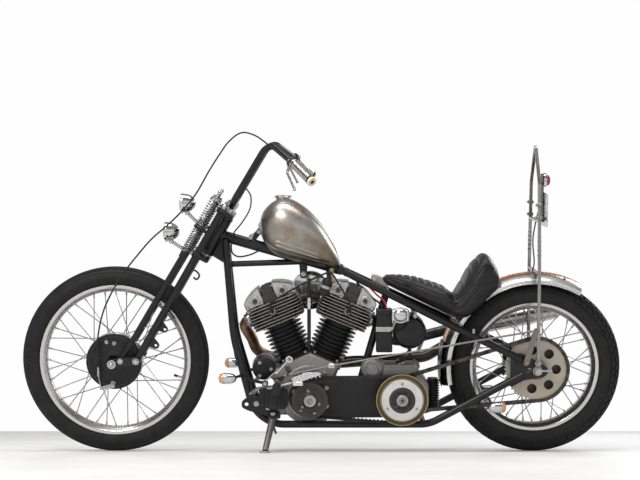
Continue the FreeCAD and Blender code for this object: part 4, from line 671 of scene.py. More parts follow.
RED_SLEEVE = painted("red_sleeve", (0.32, 0.02, 0.015), 0.5, 0.0, 0.2, (0.06, 0.02, 0.02))

LOOKS = (
    (BLACK, "frame_spine frame_downtubes frame_rails frame_stays left_bracket fork_trees"
            " fork_rear_legs fork_front_legs oil_tank handlebar"),
    (BLACK_SATIN, "side_stand fork_rockers generator battery_box ignition_coil front_brake_plate"),
    (CHROME, "spring_rods pushrod_tubes air_cleaner fuel_cap tail_lamp regulator hand_levers"
             " headlamps turn_signals sissy_bar grips fork_springs"),
    (CHROME_OLD, "kick_starter foot_controls front_hub rear_hub"),
    (RIM_CHROME, "front_rim rear_rim"), (TYRE, "front_tyre rear_tyre"),
    (STEEL, "rear_axle brake_linkage"), (CAST, "crankcase primary_plate engine_pulley"),
    (RUBBER, "front_brake_cable primary_belt foot_pegs"), (HEATED, "exhaust_pipes"),
    (GREY, "gearbox"), (PALE_PLATE, "number_plate clutch_cover"), (RED, "tail_lens"),
    (SPROCKET_STEEL, "rear_sprocket"), (BRONZE, "clutch"), (YELLOW, "headlamp_lenses"),
    (AMBER, "signal_lenses"), (BARREL_BLACK, "cylinders"), (HEAD_ALLOY, "cylinder_heads"),
    (POLISHED, "rocker_boxes"), (CHAIN, "drive_chain"), (TANK_STEEL, "fuel_tank"),
    (LEATHER, "seat"), (FENDER, "rear_fender"))
NODE_LOOKS = {name: material for material, names in LOOKS for name in names.split()}


def dress_nodes():
    for name, node in frame["nodes"].items():
        node.data.materials.clear()
        node.data.materials.append(NODE_LOOKS[name])


def ways(*degrees):
    """Directions in the side plane, each by its angle up from straight ahead."""
    return [Vector((math.cos(turn), 0, math.sin(turn))) for turn in map(math.radians, degrees)]


def ring_ways(count, start=0.0):
    """Directions shared evenly round the side plane."""
    return ways(*(start + WHOLE_TURN * index / count for index in range(count)))


# Wheels

# Radius and half width of the two rims
FRONT_RIM, REAR_RIM = (281, 27), (240, 33)
# Spokes on each flange, and the degrees by which they lean from the radius
SPOKES, LACING = 20, 34.0


def tyre_profile(radius, half_width, rim_radius, rim_half, tread, grooves=()):
    """Rounded section as (y, r) with a shallow step where the tread starts."""
    centre = radius - half_width
    reach = math.acos((rim_radius + 4 - centre) / half_width)
    count = 72
    points = []
    for index in range(count + 1):
        angle = -reach + 2 * reach * index / count
        r = half_width
        turn = math.degrees(angle)
        if abs(turn) > tread:
            r -= min(2.2, (abs(turn) - tread) * 0.8)
        for groove in grooves:
            if abs(turn - groove) < 2.6:
                r -= 3.4
        if 84 < abs(turn) < 89:
            r += 0.7
        points.append((r * math.sin(angle), centre + r * math.cos(angle)))
    bead = rim_half - 3.4
    points += [(bead, rim_radius - 2), (bead, rim_radius - 8), (-bead, rim_radius - 8),
               (-bead, rim_radius - 2)]
    return points


def spoke_set(build, axle, rim_inner, flanges):
    """Laced spokes with nipples; each flange is (y, radius, y at the rim)."""
    count, turn_by = SPOKES, math.radians(LACING)
    for flange_index, (flange_y, flange_radius, rim_y) in enumerate(flanges):
        for index in range(count):
            rim_angle = 2 * math.pi * (index + 0.5 * flange_index) / count
            turn = turn_by if index % 2 else -turn_by
            inner_y = flange_y + (2.2 if index % 2 else -2.2)
            start = Vector((axle.x + flange_radius * math.cos(rim_angle + turn), inner_y,
                            axle.z + flange_radius * math.sin(rim_angle + turn)))
            end = Vector((axle.x + rim_inner * math.cos(rim_angle), rim_y,
                          axle.z + rim_inner * math.sin(rim_angle)))
            along = (end - start).normalized()
            build.use(DARK_CHROME)
            build.tube([start, end - along * 10], 1.9, 8, ends=False)
            build.use(STEEL)
            build.tube([end - along * 15, end - along * 13, end - along * 2, end + along * 3],
                       [2.4, 3.4, 3.4, 4.2], 8)
            build.use(CHROME_OLD)
            build.tube([start - along * 2.5, start + along * 1.5], 3.0, 8)


def front_tyre():
    tyre = Build(TYRE)
    tyre.wheel(tyre_profile(348, 41, *FRONT_RIM, 56, (-36, -18, 0, 18, 36)), FRONT_AXLE, 160)
    add("front_tyre_ribbed", tyre, "front_wheel", ["front_tyre"], 30)


def front_rim():
    axle = FRONT_AXLE
    rim = Build(RIM_CHROME)
    rim.wheel(rim_profile(*FRONT_RIM), axle, 144)
    inward = ways(16)[0]
    place = axle - inward * 258
    rim.use(STEEL)
    rim.tube([place, place + inward * 26], 4.0, 10)
    rim.use(RUBBER)
    rim.tube([place + inward * 20, place + inward * 34], 4.6, 10)
    add("front_rim_rolled", rim, "front_wheel", ["front_rim"], 40)


def front_hub():
    axle = FRONT_AXLE
    hub = Build(CHROME_OLD)
    hub.wheel([(-51, 10.5), (-51, 20), (-45.5, 21), (-45, 50), (-43.5, 52), (-41, 52), (-40, 50),
               (-39, 25), (8, 24), (11, 40), (14, 92), (14, 104), (16, 105), (20, 105), (21, 103),
               (21.5, 100), (48, 99.5), (51, 98), (51, 95), (23, 94.5), (22, 12), (0, 10.5)],
              axle, 72)
    spoke_set(hub, axle, 256, [(18.5, 101, 6), (-42.5, 49, -6)])
    add("front_hub_and_spokes", hub, "front_wheel", ["front_hub"], 40)


def rim_profile(rim_radius, half):
    """Rolled rim with its well, as (y, r)."""
    inner = rim_radius - 26
    seat = rim_radius - 9
    well = half * 0.5
    return [
        (-half + 1, rim_radius + 1), (-half - 0.6, rim_radius - 0.5), (-half - 0.4, rim_radius - 3),
        (-half + 1, seat - 2), (-half + 3, seat - 4.5), (-well - 3, inner + 5), (-well, inner + 1),
        (-well + 4, inner), (well - 4, inner), (well, inner + 1), (well + 3, inner + 5),
        (half - 3, seat - 4.5), (half - 1, seat - 2), (half + 0.4, rim_radius - 3),
        (half + 0.6, rim_radius - 0.5), (half - 1, rim_radius + 1), (half - 3, rim_radius),
        (half - 3, seat), (well, inner + 3), (-well, inner + 3), (-half + 3, seat),
        (-half + 3, rim_radius)]


def rear_tyre():
    axle = REAR_AXLE
    tyre = Build(TYRE)
    radius, half = 323, 56
    tyre.wheel(tyre_profile(radius - 4.5, half - 1.5, *REAR_RIM, 60), axle, 144)
    centre = radius - half
    # Middle and half width of each row of blocks, in degrees of the section
    rows = [(-62, 10), (-44, 8), (-26, 8), (-9, 7), (9, 7), (26, 8), (44, 8), (62, 10)]
    count = 66
    for row_index, (middle, span) in enumerate(rows):
        for index in range(count):
            around = 2 * math.pi * (index + 0.5 * (row_index % 2)) / count
            width = math.pi / count * 0.74
            skew = 0.35 * width * (1 if middle > 0 else -1)
            rings = []
            for level, pull in ((half - 6.5, 1.0), (half - 0.6, 0.96), (half, 0.88)):
                ring = []
                for a_sign, s_sign in ((-1, -1), (1, -1), (1, 1), (-1, 1)):
                    slope = math.radians(middle + s_sign * span * 0.82 * pull)
                    angle = around + a_sign * width * pull + skew * s_sign
                    r = centre + level * math.cos(slope)
                    ring.append((axle.x + r * math.cos(angle), level * math.sin(slope),
                                 axle.z + r * math.sin(angle)))
                rings.append(ring)
            tyre.bridge(rings)
    add("rear_tyre_blocks", tyre, "rear_wheel", ["rear_tyre"], 30)


def rear_rim():
    rim = Build(RIM_CHROME)
    rim.wheel(rim_profile(*REAR_RIM), REAR_AXLE, 144)
    add("rear_rim_rolled", rim, "rear_wheel", ["rear_rim"], 40)


def rear_hub():
    axle = REAR_AXLE
    hub = Build(CHROME_OLD)
    hub.wheel([(-62, 10.5), (-62, 25), (-50.5, 26), (-50, 60), (-48, 62), (-46, 62), (-45, 60),
               (-44, 30), (18, 30), (20, 60), (22, 94), (22, 104), (24, 105), (29, 105), (30, 102)],
              axle, 72, closed=False)
    hub.use(DARK_CAST)
    hub.wheel([(30, 102), (60, 100), (62, 98), (62, 42), (82.5, 40), (82.5, 12)], axle, 72,
              closed=False)
    hub.use(CHROME_OLD)
    spoke_set(hub, axle, 215, [(26.5, 101, 8), (-47.5, 59, -8)])
    add("rear_hub_and_spokes", hub, "rear_wheel", ["rear_hub"], 40)


def front_brake_trim():
    axle = FRONT_AXLE
    trim = Build(BLACK_SATIN)
    trim.wheel([(62.5, 96), (64.5, 95), (64.5, 88), (62.5, 87)], axle, 72)
    trim.wheel([(62.5, 44), (66, 42), (67, 36), (62.5, 34)], axle, 48)
    for spoke in ring_ways(6, 15):
        trim.tube([axle + Y * 62.5 + spoke * 44, axle + Y * 62.5 + spoke * 88], 2.2, 8)
    trim.use(STEEL)
    for x_offset, z_offset, across in ((26, 73, 11), (-2, 68, 11), (4, -83, 14)):
        trim.bolt(axle + Vector((x_offset, 63, z_offset)), Y, across, 6)
    trim.use(CHROME_OLD)
    for out in (Y, -Y):
        trim.tube([axle + out * 126.5, axle + out * 130], 16, 24)
        trim.acorn(axle + out * 130, out, 20)
    add("front_brake_trim", trim, "steering", angle=38)


# Fork, lamps and bars

def helix(build, start, axis, length, radius, wire, turns):
    """Coil spring whose end turns lie closer."""
    steps = 22
    axis = Vector(axis).normalized()
    first = axis.cross(Y).normalized()
    second = axis.cross(first)
    path = []
    total = int(turns * steps)
    for index in range(total + 1):
        share = index / total
        angle = 2 * math.pi * turns * share
        if share * turns < 1:
            ease = share * 0.45
        elif (1 - share) * turns < 1:
            ease = 1 - (1 - share) * 0.45
        else:
            low = 0.45 / turns
            ease = low + (share - 1 / turns) / (1 - 2 / turns) * (1 - 2 * low)
        path.append(Vector(start) + axis * (wire + (length - 2 * wire) * ease)
                    + (first * math.cos(angle) + second * math.sin(angle)) * radius)
    build.tube(path, wire, 8)


def fork_springs():
    springs = Build(DARK_CHROME)
    for side in (-1, 1):
        for up, length in ((-105.6, 103.2), (10.4, 105.8)):
            helix(springs, on_rod(side, up)[0], FORK_UP, length, 18.0, 2.7, 11.5)
    springs.use(CHROME_OLD)
    for side in (-1, 1):
        for up in (-105.4, -3.4, 10.2, 115.2):
            springs.tube(on_rod(side, up - 1.2, up + 1.6), 17.5, 24)
    add("fork_coil_springs", springs, "steering", ["fork_springs"], angle=38)


def fork_nuts():
    trim = Build(CHROME_OLD)
    for side in (-1, 1):
        trim.acorn(on_leg(side, 103.4)[0], FORK_UP, 20)
        trim.acorn(on_rod(side, 142.6)[0], FORK_UP, 13)
        trim.bolt(fork(LEG_FORWARD, side * 116.2, LEG_FOOT_UP), Y * side, 17, 8)
        trim.bolt(fork(ROCKER_FRONT[0], side * 116.2, ROCKER_FRONT[1]), Y * side, 15, 7)
    trim.lathe([(0, 22), (8, 22), (11, 18), (12, 0.1)], fork(0, 0, 99.8), FORK_UP, 6)
    for sign in (1, -1):
        trim.tube([fork(0, 0, sign * 80.5), fork(0, 0, sign * 85)], 24, 32)
    add("fork_nuts", trim, "steering", angle=38)


def headlamps():
    lamps = Build(CHROME)
    glass = Build(YELLOW)
    bowl = [(-31, 0.1), (-31, 5), (-29, 11), (-25, 18), (-18, 25), (-8, 31), (4, 34.2), (14, 35.2),
            (15, 36), (17, 36.3), (20, 36), (24, 35), (25, 33), (24, 31.2), (20, 30.5)]
    dome = [(21, 31), (24, 30.4), (27, 27), (29.5, 21), (30.7, 12), (31, 4), (31, 0.1)]
    for up in LAMP_UPS:
        centre = fork(LAMP_FORWARD, 0, up)
        lamps.lathe(bowl, centre, X, 48)
        lamps.socket_bolt(centre + Vector((19, 0, -36)), -Z, 3, 3)
        glass.lathe(dome, centre, X, 48)
    add("headlamp_bowls", lamps, "steering", ["headlamps"], angle=38)
    add("headlamp_glass", glass, "steering", ["headlamp_lenses"], angle=38)


def bar_path():
    """Corners of the handlebar from the left end to the middle."""
    base = fork(0, 60, 80 + 5.5 + 14 + 26)
    return [Vector((32.7, 345, 1025)), Vector((107.7, 230, 1094)), Vector((190, 110, 1160)),
            Vector((base.x - 10, 110, base.z + 22)), base, Vector((base.x, 0, base.z))]


def mirrored(points, sign=-1):
    """The same places on the left (1) or over on the right (-1)."""
    return [Vector((p.x, p.y * sign, p.z)) for p in points]


def grip_ends(sign):
    """Inner and outer end of one grip, and the way along it."""
    last, first = mirrored(bar_path()[:2], sign)
    return first, last, (last - first).normalized()


def tapered(path, thick, thin):
    """Radii that fall evenly along a path."""
    return [thick - (thick - thin) * k / (len(path) - 1) for k in range(len(path))]


def handlebar():
    bars = Build(BLACK)
    half = bent(bar_path(), [40, 45, 45, 25], 10)
    whole = half + mirrored(half[::-1])[1:]
    bars.tube(whole, 12.7, 28)
    base = fork(0, 60, 125.5)
    bars.use(CHROME_OLD)
    for side in (-1, 1):
        foot = fork(0, side * 42, 99.7)
        top = Vector((base.x, side * 42, base.z))
        bars.tube([foot, foot + (top - foot) * 0.75], [16, 15], 24)
        bars.tube([top - Y * 14, top + Y * 14], 19.5, 28)
        for along in (-8, 8):
            bars.socket_bolt(top + Vector((14, along, 12)), (0.7, 0, 0.7), 4, 6)
    add("handlebar_tube", bars, "steering", ["handlebar"], angle=38)


def ribbed_grips():
    grips, pitch = Build(CHROME_OLD), 9
    for side in (1, -1):
        first, last, along = grip_ends(side)
        length = (last - first).length
        grips.use(CHROME_OLD)
        grips.lathe([(20, 13), (20, 19), (23, 20), (28, 19), (28, 15)], first, along, 32)
        for rib in range(int((length - 42) / pitch)):
            place = 30 + rib * pitch
            grips.lathe([(place, 15), (place + 0.8, 16.8), (place + 5.4, 16.8), (place + 6.2, 15)],
                        first, along, 32)
        grips.use(RUBBER)
        grips.tube([first + along * 26, first + along * (length - 5)], 15.4, 32)
        grips.use(CREAM)
        grips.lathe([(length - 7, 13), (length - 7, 17), (length, 17), (length + 2, 15),
                     (length + 2, 7), (length - 3, 6.5), (length - 3, 0.1)], first, along, 32)
        grips.use(RUBBER)
        grips.lathe([(length - 2.6, 6.6), (length - 2.6, 0.1)], first, along, 24)
    add("ribbed_grips", grips, "steering", ["grips"], angle=38)


# Shared shapes

def soft(outline, radius, per=4):
    """Closed (x, z) outline with its corners rounded."""
    out = []
    count = len(outline)
    for index in range(count):
        corner = Vector((*outline[index], 0))
        back = Vector((*outline[index - 1], 0)) - corner
        ahead = Vector((*outline[(index + 1) % count], 0)) - corner
        reach = min(radius, back.length * 0.45, ahead.length * 0.45)
        start = corner + back.normalized() * reach
        end = corner + ahead.normalized() * reach
        for step in range(per + 1):
            t = step / per
            place = start * (1 - t) ** 2 + corner * 2 * t * (1 - t) + end * t * t
            out.append((place.x, place.y))
    return out


def circle(x, z, radius, steps=32):
    return [(x + radius * math.cos(2 * math.pi * k / steps),
             z + radius * math.sin(2 * math.pi * k / steps)) for k in range(steps)]


def loop_round(first, first_radius, second, second_radius, steps=28):
    """Outline round two circles, as a belt lies, from (x, z) centres."""
    heading = math.atan2(second[1] - first[1], second[0] - first[0])
    distance = math.hypot(second[0] - first[0], second[1] - first[1])
    spread = math.acos((first_radius - second_radius) / distance)
    out = []
    for centre, radius, begin, sweep in (
            (first, first_radius, heading + spread, 2 * (math.pi - spread)),
            (second, second_radius, heading - spread, 2 * spread)):
        for step in range(steps + 1):
            angle = begin + sweep * step / steps
            out.append((centre[0] + radius * math.cos(angle), centre[1] + radius * math.sin(angle)))
    return out


def pierced(build, outline, holes, y_start, y_end):
    """Flat plate in the side plane with holes through it."""
    loops = [outline] + holes
    places = [Vector(place) for loop in loops for place in loop]
    sides = []
    start = 0
    for loop in loops:
        count = len(loop)
        sides += [(start + k, start + (k + 1) % count) for k in range(count)]
        start += count
    cover = delaunay_2d_cdt(places, sides, [], 1, 1e-4)
    spots = cover[0]
    kept = []
    for face in cover[2]:
        middle = sum((spots[k] for k in face), Vector((0, 0))) / len(face)
        if not any(inside(middle, hole) for hole in holes):
            kept.append(face)
    for y in (y_start, y_end):
        made = [build.point((spot.x, y, spot.y)) for spot in spots]
        for face in kept:
            build.face(*(made[k] for k in face))
    for loop in loops:
        build.bridge([[(x, y_start, z) for x, z in loop], [(x, y_end, z) for x, z in loop]],
                     ends=False)


def inside(place, loop):
    """Whether a flat place lies within a closed loop."""
    found = False
    for (x1, z1), (x2, z2) in zip(loop, loop[1:] + loop[:1]):
        if (z1 > place.y) != (z2 > place.y):
            if place.x < (x2 - x1) * (place.y - z1) / (z2 - z1) + x1:
                found = not found
    return found


def weld(build, place, axis, radius, bead=2.4):
    """Lumpy bead round a tube."""
    steps = 36
    axis = Vector(axis).normalized()
    first = axis.cross(Y if abs(axis.y) < 0.9 else X).normalized()
    second = axis.cross(first)
    rings = []
    for index in range(steps):
        angle = 2 * math.pi * index / steps
        out = first * math.cos(angle) + second * math.sin(angle)
        swell = bead * (1 + 0.16 * math.sin(index * 2.4))
        rings.append([Vector(place) + out * (radius + swell * 0.5 * math.cos(turn))
                      + axis * swell * math.sin(turn)
                      for turn in (math.pi * k / 3 for k in range(6))])
    build.bridge(rings, loop=True)


# Frame

TUBE, BACKBONE, CROSS = 13.5, 20.5, 11
RAIL_SIDE, RAIL_Z = 118.0, 125.0
BACKBONE_END = Vector((-75.0, 0.0, 683.0))
STAY_KNEE_X = -520.0
POST_TOP_X, POST_FOOT_X = -243.0, -105.0
CROSS_TUBES = (186.0, -105.0, -375.0)


def backbone_point(x):
    """Middle of the backbone at a place along the machine."""
    start = fork(0, 0, 2)
    share = (x - start.x) / (BACKBONE_END.x - start.x)
    return Vector((x, 0, start.z + (BACKBONE_END.z - start.z) * share))


def stay_end(side=1):
    """Foot of an upper stay, on its axle plate."""
    return Vector((REAR_AXLE.x + 60, side * 117, REAR_AXLE.z + 42))


def stay_point(x, side=1):
    """Middle of an upper stay between the backbone and its knee."""
    share = (x - BACKBONE_END.x) / (STAY_KNEE_X - BACKBONE_END.x)
    slope = (stay_end().z - BACKBONE_END.z) / (stay_end().x - BACKBONE_END.x)
    return Vector((x, side * (20 + 93 * share), BACKBONE_END.z + slope * (x - BACKBONE_END.x)))


def cradle_path(side):
    """Downtube and lower rail of one side."""
    points = [(356, 26, 798), (324, 72, 440), (236, RAIL_SIDE, RAIL_Z), (-395, RAIL_SIDE, RAIL_Z),
              (REAR_AXLE.x + 55, RAIL_SIDE, REAR_AXLE.z - 14)]
    return bent([(x, y * side, z) for x, y, z in points], [500, 130, 130], 14)


def frame_cradle():
    tubes = Build(BLACK)
    for side in (1, -1):
        tubes.tube(cradle_path(side), TUBE, 24)
        stay = [stay_point(-81, side), stay_point(STAY_KNEE_X, side), stay_end(side)]
        tubes.tube(bent(stay, 260, 16), TUBE, 24)
        weld(tubes, stay_point(-92, side), stay_point(-92, side) - stay_point(-82, side), TUBE)
        weld(tubes, Vector((322, side * 69, 470)), (0.1, -0.14 * side, 1), TUBE, 1.2)
    tubes.tube([fork(0, 0, 2), BACKBONE_END], BACKBONE, 32)
    tubes.tube([BACKBONE_END - Y * 36, BACKBONE_END + Y * 36], 15, 24)
    along = (BACKBONE_END - fork(0, 0, 2)).normalized()
    weld(tubes, fork(0, 0, 2) + along * 31, along, BACKBONE, 3)
    weld(tubes, BACKBONE_END - along * 17, along, BACKBONE, 3)
    tubes.tube([(342, 0, 704), (60, 0, 714)], CROSS, 20)
    tubes.tube([(342, -34, 704), (342, 34, 704)], CROSS, 20)
    weld(tubes, (329, 0, 704.5), X, CROSS, 2)
    neck = [(-80, 20), (-80, 25), (-78, 28), (-66, 28), (-64, 26), (-60, 27), (60, 27), (64, 26),
            (66, 28), (78, 28), (80, 25), (80, 20)]
    tubes.lathe(neck, NECK, FORK_UP, 40)
    corner = fork(-6, 0, -76)
    tubes.plate(soft([(corner.x, corner.z), (352, 702), (362, 764), (corner.x - 40, corner.z + 90)],
                     6), -3, 3, 1)
    for x in CROSS_TUBES:
        tubes.tube([(x, -RAIL_SIDE, RAIL_Z), (x, RAIL_SIDE, RAIL_Z)], CROSS, 20)
        for side in (1, -1):
            weld(tubes, (x, side * (RAIL_SIDE - 14), RAIL_Z), Y, CROSS, 2)
    top = stay_point(POST_TOP_X)
    tubes.tube([(POST_FOOT_X, 0, RAIL_Z), (POST_TOP_X, 0, top.z)], 14, 24)
    tubes.tube([(POST_TOP_X, -top.y, top.z), (POST_TOP_X, top.y, top.z)], CROSS, 20)
    weld(tubes, (POST_FOOT_X - 4, 0, RAIL_Z + 12), (-0.3, 0, 1), 14, 2.4)
    mount_z = backbone_point(62).z
    tubes.plate(soft([(50, mount_z - 8), (84, mount_z - 8), (78, 652), (56, 652)], 5), -9, 9)
    tubes.use(STEEL)
    for y in (-9, 9):
        tubes.bolt((67, y, 668), (0, y, 0), 13, 8)
    add("frame_cradle", tubes, "frame",
        ["frame_spine", "frame_downtubes", "frame_rails"], 45)


def axle_plates():
    plates = Build(BLACK)
    x, z = REAR_AXLE.x, REAR_AXLE.z
    outline = soft([(x + 100, z + 62), (x + 62, z + 66), (x - 20, z + 24), (x - 38, z + 8),
                    (x - 38, z - 8), (x - 20, z - 24), (x + 50, z - 34), (x + 100, z - 62)], 9)
    slot = soft([(x + 44, z - 10.5), (x + 44, z + 10.5), (x - 16, z + 10.5), (x - 16, z - 10.5)], 9)
    for side in (1, -1):
        pierced(plates, outline, [slot], side * 114, side * 122)
        weld(plates, (x + 74, side * 117, z + 37), (1, 0, 0.6), TUBE, 2.2)
    plates.use(STEEL)
    for side in (1, -1):
        plates.tube([(x - 46, side * 124, z), (x - 12, side * 124, z)], 3.4, 12)
        plates.bolt((x - 44, side * 124, z), -X, 10, 7)
        plates.block((x - 38, side * 121, z), (2, 7, 9), edge=1)
    add("axle_plates", plates, "frame", ["frame_stays"], 40)


def axle_nuts():
    axle = Build(STEEL)
    x, z = REAR_AXLE.x, REAR_AXLE.z
    for side in (1, -1):
        axle.tube([(x, side * 100, z), (x, side * 146, z)], 10, 24)
        axle.lathe([(0, 17), (2, 17.5), (3, 15), (3, 10)], (x, side * 122, z), Y * side, 32)
        axle.tube([(x, side * 125, z), (x, side * 136, z), (x, side * 138, z)], [16, 16, 14.5], 6)
        axle.tube([(x, side * 104, z), (x, side * 113.8, z)], 15, 24)
    axle.tube([(x, -102, z), (x, 102, z)], 9.9, 20)
    add("rear_axle_nuts", axle, "frame", ["rear_axle"], 40)


# Spring fork

LEG_FOOT_UP = (FRONT_AXLE.z - NECK.z - 92.9 * math.sin(RAKE)) / math.cos(RAKE) + 51
ROCKER_FRONT = (LEG_FORWARD + math.sqrt(57 ** 2 - 27.8 ** 2), LEG_FOOT_UP - 27.8)


def fork_block(build, forward, up, half_side, corner, edge=2.2):
    """Forged bar across the fork; forward and up give its start and end."""
    rings = []
    mid_f, mid_u = sum(forward) / 2, sum(up) / 2
    half_f, half_u = (forward[1] - forward[0]) / 2, (up[1] - up[0]) / 2
    flat = rounded(half_f, half_side, corner)
    for level, pull in ((-half_u, edge), (-half_u + edge, 0), (half_u - edge, 0), (half_u, edge)):
        rings.append([fork(mid_f + a * (half_f - pull) / half_f,
                           s * (half_side - pull) / half_side, mid_u + level) for a, s in flat])
    build.bridge(rings)


def lamp_post(build, root_up, lamp_up):
    """Stem with its nut below one of the lamps."""
    lamp_place = fork(LAMP_FORWARD, 0, lamp_up)
    build.use(CHROME_OLD)
    build.tube([fork(ROD_FORWARD, 0, root_up), lamp_place - Z * 36], [7, 6], 20)
    build.tube([lamp_place - Z * 44, lamp_place - Z * 35], 10, 6)


def rounded(half_a, half_b, corner):
    """Rectangle with round corners, as flat pairs."""
    per = 6
    out = []
    for a, b, start in ((1, 1, 0), (-1, 1, 90), (-1, -1, 180), (1, -1, 270)):
        for step in range(per + 1):
            angle = math.radians(start + 90 * step / per)
            out.append((a * (half_a - corner) + corner * math.cos(angle),
                        b * (half_b - corner) + corner * math.sin(angle)))
    return out


def fork_yokes():
    trees = Build(BLACK)
    for ups in ((85.5, 99.5), (-99.5, -85.5)):
        fork_block(trees, (-26, 40.6), ups, 112, 18)
    trees.tube([fork(0, 0, -100), fork(0, 0, 109)], 12.5, 24)
    for side in (-1, 1):
        for up in (-92.5, 92.5):
            trees.tube(on_leg(side, up - 10, up + 10), 19, 32)
            trees.use(STEEL)
            trees.socket_bolt(fork(40.6, side * 102, up), FORK_FORWARD, 5, 6)
            trees.use(BLACK)
    add("fork_yokes", trees, "steering", ["fork_trees"], 42)


def rigid_legs():
    rear = Build(BLACK)
    for side in (-1, 1):
        path = on_leg(side, LEG_FOOT_UP, LEG_FOOT_UP + 90, -380, -180, 103.5)
        rear.tube(path, [12.6, 13.4, 14, 14, 14], 28)
        eye = [(-14.1, 15), (-12.1, 17), (13.9, 17), (15.9, 15)]
        rear.lathe(eye, path[0], Y, 32)
        rear.tube(across_leg(side, LEG_FOOT_UP, 75, 105.6), 14, 28)
        rear.tube(on_leg(side, -2) + [fork(ROD_FORWARD, side * LEG_SIDE, -2)], 7, 20)
    for hole, reach in ((Vector((575, LEG_SIDE, 472)), 11), (Vector((609, LEG_SIDE, 413)), 13)):
        up = (hole - fork(0, 0, 0)).dot(FORK_UP)
        above, below = on_leg(1, up + 16, up - 8)
        lug = hull_outline([(above, 11), (below, 11), (hole, reach)])
        pierced(rear, lug, [circle(hole.x, hole.z, 5.2, 24)], LEG_SIDE - 5, LEG_SIDE + 5)
    hook = on_leg(1, -150)[0]
    bends = ((0, 0, 0), (-26, 6, -8), (-38, 8, -24), (-28, 8, -38), (-16, 8, -30))
    rear.cord([hook + Vector(bend) for bend in bends], 3.4, 10)
    fork_block(rear, (43, 85), (-8, 4), 98, 12)
    lamp_post(rear, -2, LAMP_UPS[0])
    add("fork_rigid_legs", rear, "steering", ["fork_rear_legs"], 42)


def spring_legs():
    front = Build(BLACK)
    forward, up = ROCKER_FRONT
    for side in (-1, 1):
        foot, top = fork(forward, side * LEG_SIDE, up), fork(ROD_FORWARD, side * LEG_SIDE, -112)
        path = [foot + (top - foot) * share for share in (0, 0.06, 0.14, 0.5, 0.9, 1)]
        front.tube(path, [9.5, 9.5, 11, 12, 12, 12], 28)
        front.tube([fork(forward, side * 78, up), fork(forward, side * 105.6, up)], 14, 28)
        along = (top - foot).normalized()
        front.tube([top - along * 14, top + along * 7], 15, 28)
    fork_block(front, (48, 80), (-112, -106), 104, 12, 1.5)
    lamp_post(front, -109, LAMP_UPS[1])
    add("fork_spring_legs", front, "steering", ["fork_front_legs"], 42)


def guide_rods():
    rods = Build(CHROME_OLD)
    for side in (-1, 1):
        rods.tube(on_rod(side, -122, 140), 6, 20)
        for ring in range(9):
            up = 117 + ring * 2.6
            rods.tube(on_rod(side, up, up + 1.3), [6, 6.7], 16)
        rods.tube(on_rod(side, 113.4, 121, 122.4), [18, 18, 16], 28)
        rods.tube(on_rod(side, -122, -112.4), 11, 6)
    add("spring_guide_rods", rods, "steering", ["spring_rods"], 40)


def rocker_links():
    links = Build(BLACK_SATIN)
    points = [(LEG_FORWARD, LEG_FOOT_UP, 15), (*ROCKER_FRONT, 13),
              (92.9, LEG_FOOT_UP - 51, 16)]
    for side in (-1, 1):
        outline = hull_outline([(fork(f, 0, u), r) for f, u, r in points])
        links.plate(outline, side * 106, side * 116, 1.6)
        links.use(STEEL)
        for f, u, r in points[:2]:
            links.tube([fork(f, side * 116, u), fork(f, side * 118.4, u)], r * 0.82, 28)
        links.use(BLACK_SATIN)
    links.use(STEEL)
    links.tube([FRONT_AXLE - Y * 130, FRONT_AXLE + Y * 130], 10, 24)
    for side in (-1, 1):
        links.tube([FRONT_AXLE + Y * side * 116, FRONT_AXLE + Y * side * 126], 15, 6)
    add("fork_rocker_links", links, "steering", ["fork_rockers"], 40)


def hull_outline(spots):
    """Outline round circles given as (place, radius), convex."""
    flat = []
    for place, radius in spots:
        flat += circle(place.x, place.z, radius, 20)
    order = convex_hull_2d([Vector(spot) for spot in flat])
    return [flat[k] for k in order]


# Engine

DECK, HEAD_JOINT, HEAD_TOP, ROCKER_TOP = 145.0, 292.0, 378.0, 444.0
PORT_HEIGHT = HEAD_JOINT + 44
PORT_REACH = 104
FINS_BARREL, FINS_HEAD = 9, 8
ROCKER_MIDDLE = 401
EXHAUST_Y, INTAKE_Y = -34, -44


def cylinder_place(side):
    return Matrix.Translation(CRANK) @ Matrix.Rotation(side * V_HALF, 4, "Y")


def stand_on(build, side):
    """Draws upright on the crank, tilted to one cylinder and kept to its side of the V."""
    build.shift = cylinder_place(side)
    build.clip = (side, CRANK.x + side * 2)


def slab(build, half_x, half_y, corner, levels, middle=(0, 0)):
    """Upright stack of rounded rectangles from (height, inset) levels."""
    rings = []
    for z, pull in levels:
        rings.append([(middle[0] + x * (half_x - pull) / half_x,
                       middle[1] + y * (half_y - pull) / half_y, z)
                      for x, y in rounded(half_x, half_y, corner)])
    build.bridge(rings)


def finned_barrels():
    build = Build(BARREL_BLACK)
    for side in (1, -1):
        stand_on(build, side)
        pitch = (HEAD_JOINT - DECK - 8) / FINS_BARREL
        profile = [(DECK, 0.1), (DECK, 66), (DECK + 7, 66), (DECK + 8, 52)]
        for index in range(FINS_BARREL):
            middle = DECK + 8 + (index + 0.5) * pitch
            fin = [(0.5, 74), (1.2, 72.5), (1.7, 55), (4, 52.5)]
            profile += [(middle - off, radius) for off, radius in reversed(fin)]
            profile += [(middle + off, radius) for off, radius in fin]
        profile += [(HEAD_JOINT - 6, 52), (HEAD_JOINT - 6, 66), (HEAD_JOINT, 66), (HEAD_JOINT, 0.1)]
        build.lathe(profile, (0, 0, 0), Z, 72)
        build.use(STEEL)
        for way in ring_ways(4, 45):
            build.bolt((62 * way.x, 62 * way.z, DECK + 6), Z, 11, 7)
        build.use(BARREL_BLACK)
    add("finned_barrels", build, "frame", ["cylinders"])


